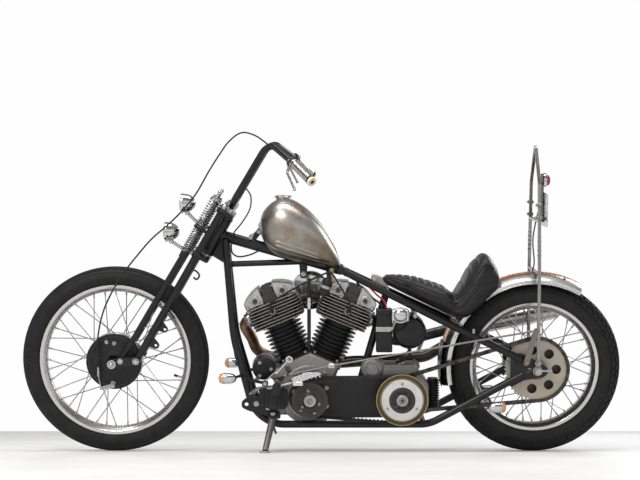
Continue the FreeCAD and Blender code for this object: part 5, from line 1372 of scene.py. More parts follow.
def finned_heads():
    build = Build(HEAD_ALLOY)
    pitch = (HEAD_TOP - HEAD_JOINT - 5) / (FINS_HEAD - 1)
    for side in (1, -1):
        stand_on(build, side)
        # Painted shade: the head's core between the fins is near-black dark cast, far darker than the
        # fins, standing for the shade in the gaps between them.
        build.use(DARK_CAST)
        slab(build, 68, 58, 18, ((HEAD_JOINT, 0), (HEAD_TOP, 0)))
        build.use(HEAD_ALLOY)
        for index in range(FINS_HEAD):
            low = HEAD_JOINT + 0.4 + index * pitch
            trim = 1.8 * abs(index - 3.5)
            slab(build, 104 - trim, 82 - trim * 0.5, 26,
                 ((low, 22), (low + 0.2, 1.4), (low + 1, 0), (low + 2.8, 0), (low + 3.6, 1.4),
                  (low + 3.8, 22)))
        for end, y, radius in ((side, EXHAUST_Y, 25.5), (-side, INTAKE_Y, 20)):
            build.tube([(0, y, PORT_HEIGHT), (end * (PORT_REACH - 3), y, PORT_HEIGHT),
                        (end * PORT_REACH, y, PORT_HEIGHT)], [radius, radius, radius - 2], 32)
        plug_x = side * 6
        build.use(DARK_CAST)
        build.tube([(plug_x, 52, 334), (plug_x, 84, 341)], [17, 15], 28)
        build.use(STEEL)
        build.tube([(plug_x, 83, 341), (plug_x, 91, 343)], 11, 6)
        build.use(PORCELAIN)
        build.tube([(plug_x, 90, 342.7), (plug_x, 101, 345)], [6.4, 5.2], 16)
        build.use(RUBBER)
        build.tube([(plug_x, 98, 344.5), (plug_x, 112, 348), (plug_x - 3, 119, 356)], [7, 8, 6], 16)
        build.use(STEEL)
        for x, y in ((-56, 70), (56, 70), (-56, -70), (56, -70)):
            build.bolt((x, y, HEAD_JOINT + 4), -Z, 10, 6)
    add("finned_heads", build, "frame", ["cylinder_heads"])


def rocker_arc(x):
    """Height of the curved top of a rocker box."""
    sagitta, reach = 38.0, 98.0
    radius = (reach ** 2 + sagitta ** 2) / (2 * sagitta)
    return ROCKER_TOP - radius + math.sqrt(radius ** 2 - x ** 2)


def rocker_boxes():
    build = Build(ROCKER_ALLOY)
    for side in (1, -1):
        stand_on(build, side)
        for end in (1, -1):
            top = [(end * x, rocker_arc(x)) for x in (98, 90, 80, 68, 56, 44, 33, 25)]
            outline = soft([(end * 25, HEAD_TOP + 0.4), (end * 98, HEAD_TOP + 0.4)] + top, 4, 3)
            build.use(ROCKER_ALLOY)
            build.plate(outline, -60, 60, 3.5)
            build.lathe([(-68, 0.1), (-68, 17), (-66, 19), (66, 19), (68, 17), (68, 12), (64, 11),
                         (64, 0.1)], (end * 54, 0, ROCKER_MIDDLE), Y, 32)
            build.use(DARK_CAST)
            for way in (1, -1):
                steps = [Vector((end * 54, way * y, ROCKER_MIDDLE)) for y in (63, 71, 75)]
                build.tube(steps[:2], 8.5, 6)
                build.tube(steps[1:], [5.5, 4.5], 12)
            build.use(STEEL)
            for x, y in ((88, 63), (34, 63), (88, -63), (34, -63)):
                steps = [(end * x, y * 0.93, z) for z in (380, 389, 395)]
                build.tube(steps[:2], 7.5, 20)
                build.tube(steps[1:], 5.4, 6)
        build.use(DARK_CAST)
        slab(build, 27, 56, 6, ((HEAD_TOP, 0), (404, 0), (406, 2)))
        for y in range(-50, 51, 14):
            build.plate([(-22, 404), (22, 404), (20, rocker_arc(20) - 7), (0, rocker_arc(0) - 6),
                         (-20, rocker_arc(20) - 7)], y - 2, y + 2, 0.7)
        build.use(CHROME_OLD)
        build.tube([(-40, 36, 424), (-14, 40, 431), (14, 40, 431), (40, 36, 424)], 3.2, 12)
    add("rocker_covers", build, "frame", ["rocker_boxes"])


def engine_case():
    x, z = CRANK.x, CRANK.z
    build = Build(CAST)
    build.wheel([(-60, 0.1), (-60, 108), (-56, 113), (-8, 116), (-5, 118), (5, 118), (8, 116),
                 (56, 113), (60, 108), (60, 0.1)], CRANK, 96, closed=False)
    build.wheel([(58, 92), (62, 92), (62, 88), (98.6, 84), (98.6, 80), (98.6, 0.1)], CRANK, 80,
                closed=False)
    build.wheel([(60, 106), (63, 105), (63, 97), (60, 96)], CRANK, 96)
    for side in (1, -1):
        build.shift = cylinder_place(side)
        slab(build, 62, 58, 14, ((30, 0), (DECK - 3, 0), (DECK, 3)))
        slab(build, 66, 61, 16, ((DECK - 12, 0), (DECK - 1, 0), (DECK - 0.2, 1)))
    build.shift = Matrix.Identity(4)
    cam_y = -112
    build.plate(soft([(x - 95, z - 30), (x - 60, z - 80), (x + 70, z - 80), (x + 125, z + 20),
                      (x + 175, z + 60), (x + 180, z + 110), (x - 86, z + 110)], 26, 8),
                cam_y, -59, 5)
    cone = Vector((x, cam_y, z - 2))
    build.lathe([(0, 62), (6, 60), (14, 42), (18, 26), (19, 0.1)], cone, -Y, 56)
    build.use(STEEL)
    for way in ring_ways(6, 20):
        build.socket_bolt(cone - Y * 4 + way * 54, -Y, 5, 5)
    for px, pz in ((-82, 96), (40, 100), (160, 96), (150, 58), (105, 16), (66, -66), (-54, -66),
                   (-84, -20)):
        build.socket_bolt((x + px, cam_y, z + pz), -Y, 6, 6)
    for way in ring_ways(10, 14):
        build.bolt(CRANK + Y * 62 + way * 101, Y, 10, 5)
    build.use(CAST)
    for way in ways(200, 230, 260, 290, 320, 340):
        for y in (-40, 40):
            build.tube([CRANK + way * 84 + Y * y, CRANK + way * 119 + Y * y], 4, 10)
    for lug_x in CROSS_TUBES[:2]:
        for y in (-40, 40):
            build.plate(soft([(lug_x - 17, RAIL_Z + 10), (lug_x + 17, RAIL_Z + 10),
                              (x + (lug_x - x) * 0.5, z - 20), (x + (lug_x - x) * 0.6, z - 66)], 8),
                        y - 11, y + 11, 2)
            build.use(STEEL)
            build.bolt((lug_x, y, RAIL_Z + 12), Z, 13, 8)
            build.use(CAST)
    build.tube([(x + 116, 24, z + 40), (x + 130, 24, z + 52)], 12, 20)
    build.plate(soft([(x + 60, z + 74), (x + 148, z + 60), (x + 150, z + 96), (x + 70, z + 112)], 10),
                -58, 58, 4)
    add("engine_case", build, "frame", ["crankcase"])


def pushrods():
    build = Build(CHROME)
    y = -96
    low, high = CRANK.z + 110, CRANK.z + 124
    for side in (1, -1):
        build.use(POLISHED)
        middle = CRANK.x + side * 42
        build.block((middle, y, (low + high) / 2), (36, 15, 7), edge=2)
        build.use(CHROME)
        tilt = side * V_HALF
        for foot, lean in ((22, -30), (62, 34)):
            start = Vector((CRANK.x + side * foot, y, high - 2))
            height, along = HEAD_TOP - 6, lean * side
            end = Vector((CRANK.x + height * math.sin(tilt) + along * math.cos(tilt), y,
                          CRANK.z + height * math.cos(tilt) - along * math.sin(tilt)))
            run = (end - start).normalized()
            length = (end - start).length
            profile = [(0, 15), (12, 15), (14, 11), (length * 0.44, 11), (length * 0.44 + 2, 13.5),
                       (length * 0.44 + 14, 13.5), (length * 0.44 + 16, 9.6), (length - 10, 9.6),
                       (length - 8, 12.5), (length, 12.5)]
            build.lathe(profile, start, run, 28)
    add("pushrod_covers", build, "frame", ["pushrod_tubes"])


def generator():
    build = Build(BLACK_SATIN)
    place = Vector((214, 0, 322))
    build.lathe([(-60, 0.1), (-60, 40), (-56, 42), (60, 42), (64, 39), (64, 41), (76, 40), (78, 37),
                 (78, 14), (81, 13), (81, 0.1)], place, Y, 56)
    build.use(STEEL)
    for way in ring_ways(3, 60):
        build.bolt(place + way * 28 + Y * 78, Y, 9, 4)
    build.lathe([(-14, 43), (-14, 44.5), (8, 44.5), (8, 43)], place, Y, 56)
    add("generator_can", build, "frame", ["generator"])


def port_place(end, side, y, out):
    """Place straight out from a port of one head, ahead (1) or behind (-1)."""
    return cylinder_place(side) @ Vector((end * (PORT_REACH + out), y, PORT_HEIGHT))


def intake_and_filter():
    build = Build(DARK_CAST)
    for side in (1, -1):
        start, end = (port_place(-side, side, INTAKE_Y, out) for out in (0.3, 36))
        build.tube([start, end], 17, 24)
        build.tube([start, start + (end - start) * 0.3], 22, 28)
    middle = Vector((CRANK.x, INTAKE_Y, port_place(-1, 1, 0, 36).z))
    build.tube([middle + Y * 4, middle - Y * 68], 19, 28)
    build.use(CAST)
    slab(build, 33, 29, 8, ((middle.z - 28, 3), (middle.z - 25, 0), (middle.z + 30, 0),
                            (middle.z + 34, 3)), (CRANK.x, -139))
    build.lathe([(-34, 15), (-32, 22), (-28, 26), (-14, 26), (-12, 22)],
                (CRANK.x, -139, middle.z - 12), Z, 28)
    build.use(STEEL)
    build.tube([(CRANK.x + 34, -139, middle.z + 14), (CRANK.x + 46, -139, middle.z + 14)], 6, 6)
    build.tube([(CRANK.x - 34, -139, middle.z + 4), (CRANK.x - 50, -130, middle.z - 18)], 5, 12)
    build.use(CHROME)
    centre = Vector((CRANK.x, 0, middle.z))
    build.lathe([(166, 0.1), (166, 70), (168, 74), (202, 74), (205, 71), (206, 58), (203, 52),
                 (203, 20), (205, 17), (206, 8), (206, 0.1)], centre, -Y, 64)
    build.use(STEEL)
    for way in ring_ways(3, 90):
        build.socket_bolt(centre + way * 38 - Y * 203, -Y, 6, 4)
    add("intake_and_filter", build, "frame", ["air_cleaner"])


def exhaust_system():
    build = Build(HEATED)
    side, muffler = -152, -178
    can_start = Vector((REAR_AXLE.x + 250, muffler, 436))
    can_end = Vector((REAR_AXLE.x - 110, muffler, 508))
    inside_can = (can_end - can_start).normalized() * 30  # how far the pipes run in
    front = [port_place(1, 1, EXHAUST_Y, 0.2), port_place(1, 1, EXHAUST_Y, 34), (262, -78, 412),
             (246, side + 10, 345), (130, side, 318), (-60, side, 306), (-400, side, 330),
             can_start + inside_can - Z * 12]
    rear = [port_place(-1, -1, EXHAUST_Y, 0.2), port_place(-1, -1, EXHAUST_Y, 34), (-226, -110, 420),
            (-300, side - 14, 386), can_start + inside_can + Z * 12]
    build.tube(bent(front, [29, 80, 80, 100, 400, 100], 10), 20.5, 28)
    build.tube(bent(rear, [33, 80, 100], 10), 20.5, 28)
    build.use(CHROME_OLD)
    for path in (front, rear):
        start, ahead = Vector(path[0]), Vector(path[1])
        along = (ahead - start).normalized()
        build.lathe([(0, 26), (0, 31), (7, 31), (8, 26), (18, 24), (19, 20)], start, along, 32)
    length = (can_end - can_start).length
    profile = [(-6, 20), (0, 26), (10, 32), (24, 34), (length - 26, 34), (length - 20, 33),
               (length - 8, 33), (length - 4, 34), (length, 33), (length, 27), (length - 40, 26),
               (length - 40, 0.1)]
    run = can_end - can_start
    build.lathe(profile, can_start, run, 48)
    for share in (0.2, 0.72):
        place = can_start + run * share
        build.lathe([(-9, 34), (-9, 35.4), (9, 35.4), (9, 34)], place, run, 48)
        build.bolt(place + Z * 36, Z, 9, 5)
    add("exhaust_system", build, "frame", ["exhaust_pipes"])


# Primary drive and gearbox

BELT = (136.0, 168.0)
TOOTH_PITCH = 14
CHAIN_PITCH, CHAIN_Y = 15.875, 86
CLUTCH_FACE_Y = 173.2
PULLEY_RADIUS, BASKET_RADIUS, BELT_THICK = 60.4, 87.4, 3.6


def toothed(build, centre, count, radius):
    """Teeth of a belt wheel, as rods laid across its rim."""
    for way in ring_ways(count):
        foot = centre + way * radius
        build.tube([foot + Y * BELT[0], foot + Y * BELT[1]], 1.8, 6)


def front_pulley():
    pulley, face = Build(DARK_CAST), Y * 173
    pulley.wheel([(135, 0.1), (135, 57), (137, 59), (168, 59), (169, 64), (170, 66), (172, 66),
                  (173, 64), (173, 55), (171, 52), (171, 44), (173, 42), (173, 30), (176, 26),
                  (178, 24)], CRANK, 72, closed=False)
    toothed(pulley, CRANK, 36, 59)
    pulley.use(STEEL)
    pulley.wheel([(72, 0.1), (72, 22), (178, 22), (178, 19), (183, 19), (183, 12), (177, 11),
                  (177, 0.1)], CRANK, 40, closed=False)
    for way in ways(250, 312):
        pulley.block(CRANK + way * 49 + face, (5, 1.2, 3), edge=0.8)
    pulley.use(CAST)
    for way in ring_ways(3, 80):
        pulley.socket_bolt(CRANK + way * 36 + face, Y, 5, 4)
    add("front_pulley", pulley, "frame", ["engine_pulley"])


def clutch_basket():
    basket = Build(BRONZE)
    basket.wheel([(135, 30), (135, 84), (137, 86), (168, 86), (169, 92), (170, 94), (172.4, 94),
                  (173, 92), (173, 80), (171.5, 78), (171.5, 60)], CLUTCH, 96, closed=False)
    basket.use(BRASS)
    basket.wheel([(172, 91.6), (173.8, 92), (173.8, 94), (172, 94.4)], CLUTCH, 96)
    basket.wheel([(171, 77), (174.4, 77.4), (174.4, 79), (171, 79.4)], CLUTCH, 96)
    basket.use(BRONZE)
    toothed(basket, CLUTCH, 54, 86)
    basket.use(STEEL)
    basket.wheel([(110, 0.1), (110, 30), (137, 30)], CLUTCH, 40, closed=False)
    add("clutch_basket", basket, "frame", ["clutch"])


def clutch_face():
    cover = Build(PALE_PLATE)
    shell = [(0, 0.1), (0, 74), (1.5, 76), (5, 76), (7, 74), (7, 48)]
    dish = [(7, 48), (7, 47), (12, 45.5), (13, 44), (13, 36), (12, 34), (8, 33), (8, 0.1)]
    nut = [(8, 21), (15, 21), (17, 19), (17, 12), (14, 10), (14, 0.1)]
    shell, dish, nut = ([(CLUTCH_FACE_Y + out, radius) for out, radius in profile]
                        for profile in (shell, dish, nut))
    cover.wheel(shell, CLUTCH, 96, closed=False)
    cover.use(DARK_CAST)
    cover.wheel(dish, CLUTCH, 72, closed=False)
    face = CLUTCH + Y * CLUTCH_FACE_Y
    for way in ring_ways(4, 45):
        root = face + Y * 10
        cover.tube([root + way * 14, root + way * 36], [5.5, 6.5], 12)
    cover.use(STEEL)
    cover.wheel(nut, CLUTCH, 40, closed=False)
    cover.use(DARK_CAST)
    cover.tube([face + Y * 13, face + Y * 17], 6.5, 6)
    cover.use(STEEL)
    for way in ring_ways(3, 90):
        cover.socket_bolt(face + way * 61 + Y * 7, Y, 5, 4)
    add("clutch_face", cover, "frame", ["clutch_cover"])


def toothed_belt():
    belt = Build(RUBBER)
    centres = [Vector((place.x, place.z)) for place in (CRANK, CLUTCH)]
    outer, inner = (loop_round(centres[0], PULLEY_RADIUS + thick, centres[1], BASKET_RADIUS + thick)
                    for thick in (BELT_THICK, 0))
    rings = []
    for y, line in ((BELT[0], inner), (BELT[0], outer), (BELT[1], outer), (BELT[1], inner)):
        rings.append([(px, y, pz) for px, pz in line])
    belt.bridge(rings, ends=False, loop=True)
    for start, end in ((inner[28], inner[29]), (inner[-1], inner[0])):
        start, run = Vector(start), Vector(end) - Vector(start)
        count = int(run.length / TOOTH_PITCH)
        across = Vector((-run.y, run.x)).normalized()
        if across.dot((centres[0] + centres[1]) / 2 - start) < 0:
            across = -across
        along = run.normalized() * 3.6
        for index in range(count):
            spot = start + run * ((index + 0.5) / count)
            tooth = [spot - along, spot - along * 0.7 + across * 3.2,
                     spot + along * 0.7 + across * 3.2, spot + along]
            belt.bridge([[(p.x, y, p.y) for p in tooth] for y in (BELT[0] + 0.5, BELT[1] - 0.5)])
    add("toothed_belt", belt, "frame", ["primary_belt"])


def back_plate():
    x, z = CRANK.x, CRANK.z
    plate = Build(BLACK_SATIN)
    front_y = 102.5
    holes = [circle(x, z, 30), circle(CLUTCH.x, CLUTCH.z, 40)]
    pierced(plate, loop_round((x, z), 78, (CLUTCH.x, CLUTCH.z), 78), holes, front_y - 3.5, front_y)
    plate.use(STEEL)
    for px, pz in ((x - 60, z + 34), (x - 60, z - 34), (x + 58, z + 20), (x + 40, z - 52),
                   (CLUTCH.x + 60, 255), (CLUTCH.x + 60, 192), (CLUTCH.x - 54, 262),
                   (CLUTCH.x - 54, 188)):
        plate.bolt((px, front_y, pz), Y, 12, 7)
    add("belt_back_plate", plate, "frame", ["primary_plate"])


def gearbox_housing():
    build = Build(GREY)
    front, rear, foot, top, half = -195, -398, 146, 325, 68
    end_y, sprocket_y = -108, (83, 89)
    build.plate(soft([(front, foot + 20), (front - 14, foot), (rear + 20, foot), (rear, foot + 30),
                      (rear, top - 60), (rear + 50, top), (front - 20, top), (front, top - 24)], 16, 6),
                -half, half, 5)
    for drop in range(4):
        z = foot + 34 + drop * 34
        build.tube([(front + 3, -half + 8, z), (front + 3, half - 8, z)], 3.2, 10)
    slab(build, 78, 52, 16, ((top - 6, 0), (top + 5, 0), (top + 8, 4)), (-288, -6))
    build.use(CAST)
    boss = Vector((-187, 0, 320))
    build.lathe([(30, 0.1), (30, 40), (72, 40), (76, 38), (78, 34), (80, 33), (80, 24), (84, 22),
                 (84, 0.1)], boss, Y, 48)
    build.use(STEEL)
    for way in ring_ways(5, 30):
        build.socket_bolt(boss + way * 29 + Y * 79, Y, 4.4, 4)
    for bx, by in ((-350, 40), (-350, -50), (-226, 40), (-226, -50), (-288, 42), (-288, -54)):
        build.socket_bolt((bx, by, top + 8), Z, 5, 5)
    build.tube([(-300, 10, top + 6), (-300, 10, top + 16)], 15, 6)
    build.use(CAST)
    build.plate(soft([(front - 10, 190), (front - 60, 160), (rear + 10, 170), (rear + 4, 270),
                      (front - 70, 300), (front - 10, 270)], 22, 6), end_y, -67, 5)
    build.lathe([(108, 34), (112, 32), (116, 20), (117, 0.1)], (-338, 0, 216), -Y, 40)
    build.use(STEEL)
    for px, pz in ((-215, 200), (-260, 174), (-372, 182), (-378, 262), (-268, 286), (-214, 262)):
        build.socket_bolt((px, end_y, pz), -Y, 5.5, 5)
    build.tube([(CLUTCH.x, 66, CLUTCH.z), (CLUTCH.x, 110, CLUTCH.z)], 30, 40)
    tooth = ((-0.34, 55.6), (-0.16, 61.5), (0, 63), (0.16, 61.5), (0.34, 55.6))
    build.plate(teeth_round(CLUTCH, 24, tooth), *sprocket_y, 0.6)
    build.use(BLACK_SATIN)
    filter_x, filter_y = -417, -8
    for fin in range(11):
        build.lathe([(0, 20), (1.6, 26), (4.2, 26), (6, 20), (9.4, 20)],
                    (filter_x, filter_y, 168 + fin * 9.4), Z, 32)
    build.tube([(filter_x, filter_y, 162), (filter_x, filter_y, 275)], 19.6, 24)
    for z in (196, 248):
        build.tube([(filter_x + 21, filter_y, z), (filter_x, filter_y, z)], 12, 20)
    build.use(STEEL)
    build.block((-297, 0, 147), (75, 58, 10), edge=3)
    for bx in (-350, -240):
        for by in (-50, 50):
            build.bolt((bx, by, 157), Z, 12, 7)
    add("gearbox_housing", build, "frame", ["gearbox"])


def teeth_round(centre, count, tooth):
    """Outline of a sprocket; a tooth is given by shares of the pitch and radii."""
    out = []
    step = 2 * math.pi / count
    for index in range(count):
        for share, radius in tooth:
            angle = (index + share) * step
            out.append((centre.x + radius * math.cos(angle), centre.z + radius * math.sin(angle)))
    return out


def kick_lever():
    build = Build(CHROME_OLD)
    x, side, z = -338, -214, 215
    build.tube([(x, -108.2, z), (x, side - 10, z)], 12, 24)
    build.tube([(x, side - 10, z), (x, side - 16, z)], 15, 6)
    arm = bent([(x, side, z), (x - 16, side, z + 70), (x - 60, side - 8, z + 180)], 60, 10)
    build.tube(arm, tapered(arm, 11, 8), 20)
    build.tube([(x, side - 9, z), (x, side + 9, z)], 20, 28)
    build.use(RUBBER)
    pedal = [(2, 8), (4, 11), (10, 11)]
    for start in range(12, 52, 8):
        pedal += [(start, 9.4), (start + 2, 11), (start + 6, 11)]
    pedal += [(56, 11), (60, 9), (60, 0.1)]
    build.lathe(pedal, (x - 60, side, z + 176), -Y, 24)
    add("kick_lever", build, "frame", ["kick_starter"])


def roller_chain():
    build = Build(CHAIN)
    first, second = (CLUTCH.x, CLUTCH.z), (REAR_AXLE.x, REAR_AXLE.z)
    line = loop_round(first, 60.8, second, 116.3, 60)
    line.append(line[0])
    spots = [Vector(place) for place in line]
    total = sum((b - a).length for a, b in zip(spots, spots[1:]))
    count = 2 * round(total / CHAIN_PITCH / 2)
    pins = []
    step = total / count
    walked, index = 0.0, 0
    for number in range(count):
        target = number * step
        while walked + (spots[index + 1] - spots[index]).length < target:
            walked += (spots[index + 1] - spots[index]).length
            index += 1
        run = spots[index + 1] - spots[index]
        pins.append(spots[index] + run * ((target - walked) / run.length))
    for number, pin in enumerate(pins):
        after = pins[(number + 1) % count]
        along = (after - pin).normalized()
        across = Vector((-along.y, along.x))
        outline = []
        for centre, sign in ((after, 1), (pin, -1)):
            for turn in (-80, -30, 30, 80):
                angle = math.radians(turn)
                spot = centre + (along * math.cos(angle) * sign + across * math.sin(angle) * sign) * 6.6
                outline.append((spot.x, spot.y))
        reach = (8.4, 6.6) if number % 2 else (6.4, 4.8)
        for side in (1, -1):
            build.bridge([[(px, CHAIN_Y + side * y, pz) for px, pz in outline] for y in reach])
        for half, radius, sides, capped in ((8.6, 2.6, 6, True), (4.6, 4.6, 8, False)):
            build.tube([(pin.x, CHAIN_Y - half, pin.y), (pin.x, CHAIN_Y + half, pin.y)],
                       radius, sides, ends=capped)
    add("roller_chain", build, "frame", ["drive_chain"])


def rear_sprocket():
    build = Build(SPROCKET_STEEL)
    x, z = REAR_AXLE.x, REAR_AXLE.z
    tooth = ((-0.36, 111.4), (-0.2, 115.6), (-0.07, 118.2), (0.07, 118.2), (0.2, 115.6), (0.36, 111.4))
    openings = 7
    holes = [circle(x, z, 10.6, 24)]
    for index in range(openings):
        angle = 2 * math.pi * (index + 0.5) / openings
        holes.append(circle(x + 73 * math.cos(angle), z + 73 * math.sin(angle), 18, 28))
    pierced(build, teeth_round(REAR_AXLE, 46, tooth), holes, 83.2, 88.8)
    build.wheel([(88.6, 40), (92, 39), (93, 37), (93, 11)], REAR_AXLE, 48, closed=False)
    build.use(STEEL)
    for way in ring_ways(5, 18):
        build.bolt(Vector((x, 93, z)) + way * 27, Y, 11, 5)
    add("rear_sprocket_toothed", build, "rear_wheel", ["rear_sprocket"])


# Tank, seat and bodywork

def section(x, low, high, half, power, steps):
    """Rounded section across the machine, boxier as power falls."""
    out = []
    for index in range(steps):
        angle = 2 * math.pi * index / steps
        c, s = math.cos(angle), math.sin(angle)
        out.append((x, half * math.copysign(abs(c) ** power, c),
                    (low + high) / 2 + (high - low) / 2 * math.copysign(abs(s) ** power, s)))
    return out


def eased(stations, per):
    """Smooth steps between stations, as tuples."""
    return [tuple(between(*row, step / per) for row in zip(*four))
            for four in fours(stations) for step in range(per)] + stations[-1:]


TANK_FRONT_X, TANK_HALF = 228.0, 113.0
TANK_STATIONS = [
    (0, 834, 862, 0.28), (8, 804, 892, 0.52), (26, 768, 918, 0.74), (54, 744, 940, 0.92),
    (88, 728, 951, 1.0), (130, 716, 940, 1.0), (185, 704, 902, 0.93), (232, 697, 848, 0.79),
    (266, 694, 790, 0.58), (288, 692, 744, 0.36), (296, 692, 712, 0.22)]


def tank_side(back, turn, out):
    """Place on the left of the tank: turn runs from level (0) to the top (90)."""
    station = min(eased(TANK_STATIONS, 12), key=lambda station: abs(station[0] - back))
    back, low, high, share = station
    c, s = math.cos(math.radians(turn)), math.sin(math.radians(turn))
    y = TANK_HALF * share * abs(c) ** 0.86
    z = (low + high) / 2 + (high - low) / 2 * math.copysign(abs(s) ** 0.86, s)
    way = Vector((0, c, s))
    return Vector((TANK_FRONT_X - back, y, z)) + way * out


def tank_lines(build, lines):
    """Thin lines on both sides of the tank: places, radius, radius at the ends, sides."""
    for sign in (1, -1):
        for places, radius, tip, sides in lines:
            radii = [tip] + [radius] * (len(places) - 2) + [tip]
            build.tube(mirrored(places, sign), radii, sides)


def tank_shell():
    build = Build(TANK_STEEL)
    rings = []
    for back, low, high, share in eased(TANK_STATIONS, 6):
        x = TANK_FRONT_X - back
        roof = backbone_point(x).z + 25
        ring = []
        for px, py, pz in section(x, low, high, TANK_HALF * share, 0.86, 72):
            if pz < (low + high) / 2 and abs(py) < 25 and low + 1 < roof:
                pz = min(max(pz, low + 0.5) + (roof - low) * (1 if abs(py) < 22 else 0), roof)
            ring.append((px, py, pz))
        rings.append(ring)
    nose = [(x + 6, y * 0.55, 848 + (z - 848) * 0.5) for x, y, z in rings[0]]
    tail = [(x - 3, y * 0.5, 702 + (z - 702) * 0.5) for x, y, z in rings[-1]]
    build.bridge([nose] + rings + [tail])
    tank_lines(build, (([tank_side(back, 58, 0.4) for back in range(70, 294, 8)], 2.6, 1.0, 10),
                       ([tank_side(back, -44, 0.2) for back in range(20, 286, 8)], 2.0, 0.8, 8)))
    build.use(CHROME_OLD)
    tank_lines(build, [([tank_side(back, turn - back * 0.012, -1.2) for back in range(58, 222, 4)],
                        2.3, 0.8, 10) for turn in (-21, -31)])
    add("fuel_tank_shell", build, "frame", ["fuel_tank"], 40)


def filler_cap():
    cap = Build(CHROME_OLD)
    profile = [(932, 22), (950, 22), (951.5, 24), (951.5, 30), (953, 31), (957, 31), (959.5, 29),
               (960.6, 22), (961, 8), (961, 0.1)]
    foot = X * 142
    cap.lathe(profile, foot, Z, 48)
    cap.lathe([(940, 27), (950.6, 27), (950.6, 23)], foot, Z, 48)
    for way in ring_ways(24):
        spot = foot + X * (30.6 * way.x) + Y * (30.6 * way.z)
        cap.tube([spot + Z * 952.4, spot + Z * 957.6], 1.3, 6)
    cap.use(RUBBER)
    cap.tube([foot + Z * 960.6, foot + Z * 961.4], 2.2, 10)
    add("filler_cap", cap, "frame", ["fuel_cap"])


def tank_fittings():
    fit = Build(BLACK_SATIN)
    nose_mount = soft([(224, 842), (236, 838), (268, 796), (262, 782), (250, 786), (218, 826)], 5)
    fit.plate(nose_mount, -9, 9, 1.5)
    fit.use(STEEL)
    for y in (-9, 9):
        fit.bolt((232, y, 826), (0, y, 0), 12, 7)
    fit.tube([(262, -22, 806), (262, 22, 806)], 5, 12)
    for y in (-22, 22):
        fit.bolt((262, y, 806), (0, y, 0), 12, 6)
        fit.tube([(262, y, 806), (250, y * 0.9, 818)], 3.6, 10)
    fit.use(BRASS)
    tap = Vector((-38, 46, 0))
    for high, low, radius, sides in ((694, 668, 7, 16), (690, 682, 10, 6), (668, 640, 8.5, 20)):
        fit.tube([tap + Z * high, tap + Z * low], radius, sides)
    fit.tube([tap + Z * 676, tap + Y * 16 + Z * 676, tap + Y * 20 + Z * 676], [4, 4, 6], 12)
    fit.tube([tap + Z * 640, tap + Z * 630], 4.4, 12)
    fit.use(RUBBER)
    fit.cord([(-38, 46, 634), (-36, 46, 606), (-14, 40, 580), (8, 10, 570), (30, -50, 566),
              (38, -104, 560), (42, -128, 548)], 4.4, 12)
    add("tank_fittings", fit, "frame")


SEAT_STATIONS = [
    (564, 650, 664, 0.2), (546, 632, 674, 0.36), (492, 604, 668, 0.55), (412, 566, 644, 0.8),
    (342, 533, 620, 0.95), (300, 512, 592, 1.0), (266, 502, 642, 1.0), (236, 520, 702, 1.0),
    (204, 550, 748, 0.93), (172, 585, 738, 0.84), (144, 612, 690, 0.72)]
SEAT_HALF = 135.0
SEAT_SLACK, SEAT_VOXEL, SEAT_SWELL = 5, 0.0055, 0.008
CLOTH_FRAMES = 20
# The sewn panel: how low and how wide it reaches, as shares, and its pitch
PANEL_LOW, PANEL_WIDE, CHANNEL = 0.62, 0.66, 27.0


def leather_seat():
    """Padded leather: a skin drawn a little small, filled as cloth, then stitched."""
    start = Build(LEATHER)
    rings = []
    for ahead, low, high, share in eased(SEAT_STATIONS, 5):
        rings.append(section(REAR_AXLE.x + ahead, low + SEAT_SLACK, high - SEAT_SLACK,
                             SEAT_HALF * share - SEAT_SLACK, 0.72, 48))
    start.bridge(rings)
    skin = placed("seat_skin", drawn("seat_skin", start))
    remesh = skin.modifiers.new("even", "REMESH")
    remesh.mode = "VOXEL"
    remesh.voxel_size = SEAT_VOXEL
    even = settled(skin)
    skin.modifiers.clear()
    skin.data = even
    rest = [vertex.co.copy() for vertex in even.vertices]
    filled_as_cloth(skin)
    places = [vertex.co.copy() for vertex in skin.data.vertices]
    bpy.data.objects.remove(skin)
    capped = []
    for before, after in zip(rest, places):
        move = after - before
        capped.append(before + move * min(1.0, SEAT_SWELL / max(move.length, 1e-9)))
    shaped = bpy.data.meshes.new("seat_padded")
    shaped.from_pydata(capped, [], [tuple(face.vertices) for face in even.polygons])
    divide = placed("seat_divide", shaped)
    divide.modifiers.new("smooth", "SUBSURF").levels = 1
    final = settled(divide)
    bpy.data.objects.remove(divide)
    for vertex in final.vertices:
        vertex.co = BIKE @ stitched(UPRIGHT @ vertex.co)
    final.materials.append(LEATHER)
    seat = finish_mesh("leather_seat", final, "frame", ["seat"], 60)
    seat_seams(seat)


def filled_as_cloth(skin):
    """Lets the seat's skin swell as cloth under a light pressure."""
    scene = bpy.context.scene
    cloth = skin.modifiers.new("fill", "CLOTH")
    cloth.settings.quality = 5
    cloth.settings.mass = 0.25
    cloth.settings.tension_stiffness = 28
    cloth.settings.compression_stiffness = 24
    cloth.settings.bending_stiffness = 6
    cloth.settings.use_pressure = True
    cloth.settings.uniform_pressure_force = 4.0
    cloth.settings.effector_weights.gravity = 0.0
    cloth.collision_settings.use_collision = False
    cloth.point_cache.frame_start = 1
    cloth.point_cache.frame_end = CLOTH_FRAMES
    for number in range(1, CLOTH_FRAMES + 1):
        scene.frame_set(number)
    shaped = settled(skin)
    skin.modifiers.clear()
    skin.data = shaped
    scene.frame_set(1)


def seat_top(ahead):
    """Foot, top and share of the width of the seat at a distance ahead of the rear axle."""
    return min(eased(SEAT_STATIONS, 8), key=lambda station: abs(station[0] - ahead))[1:]


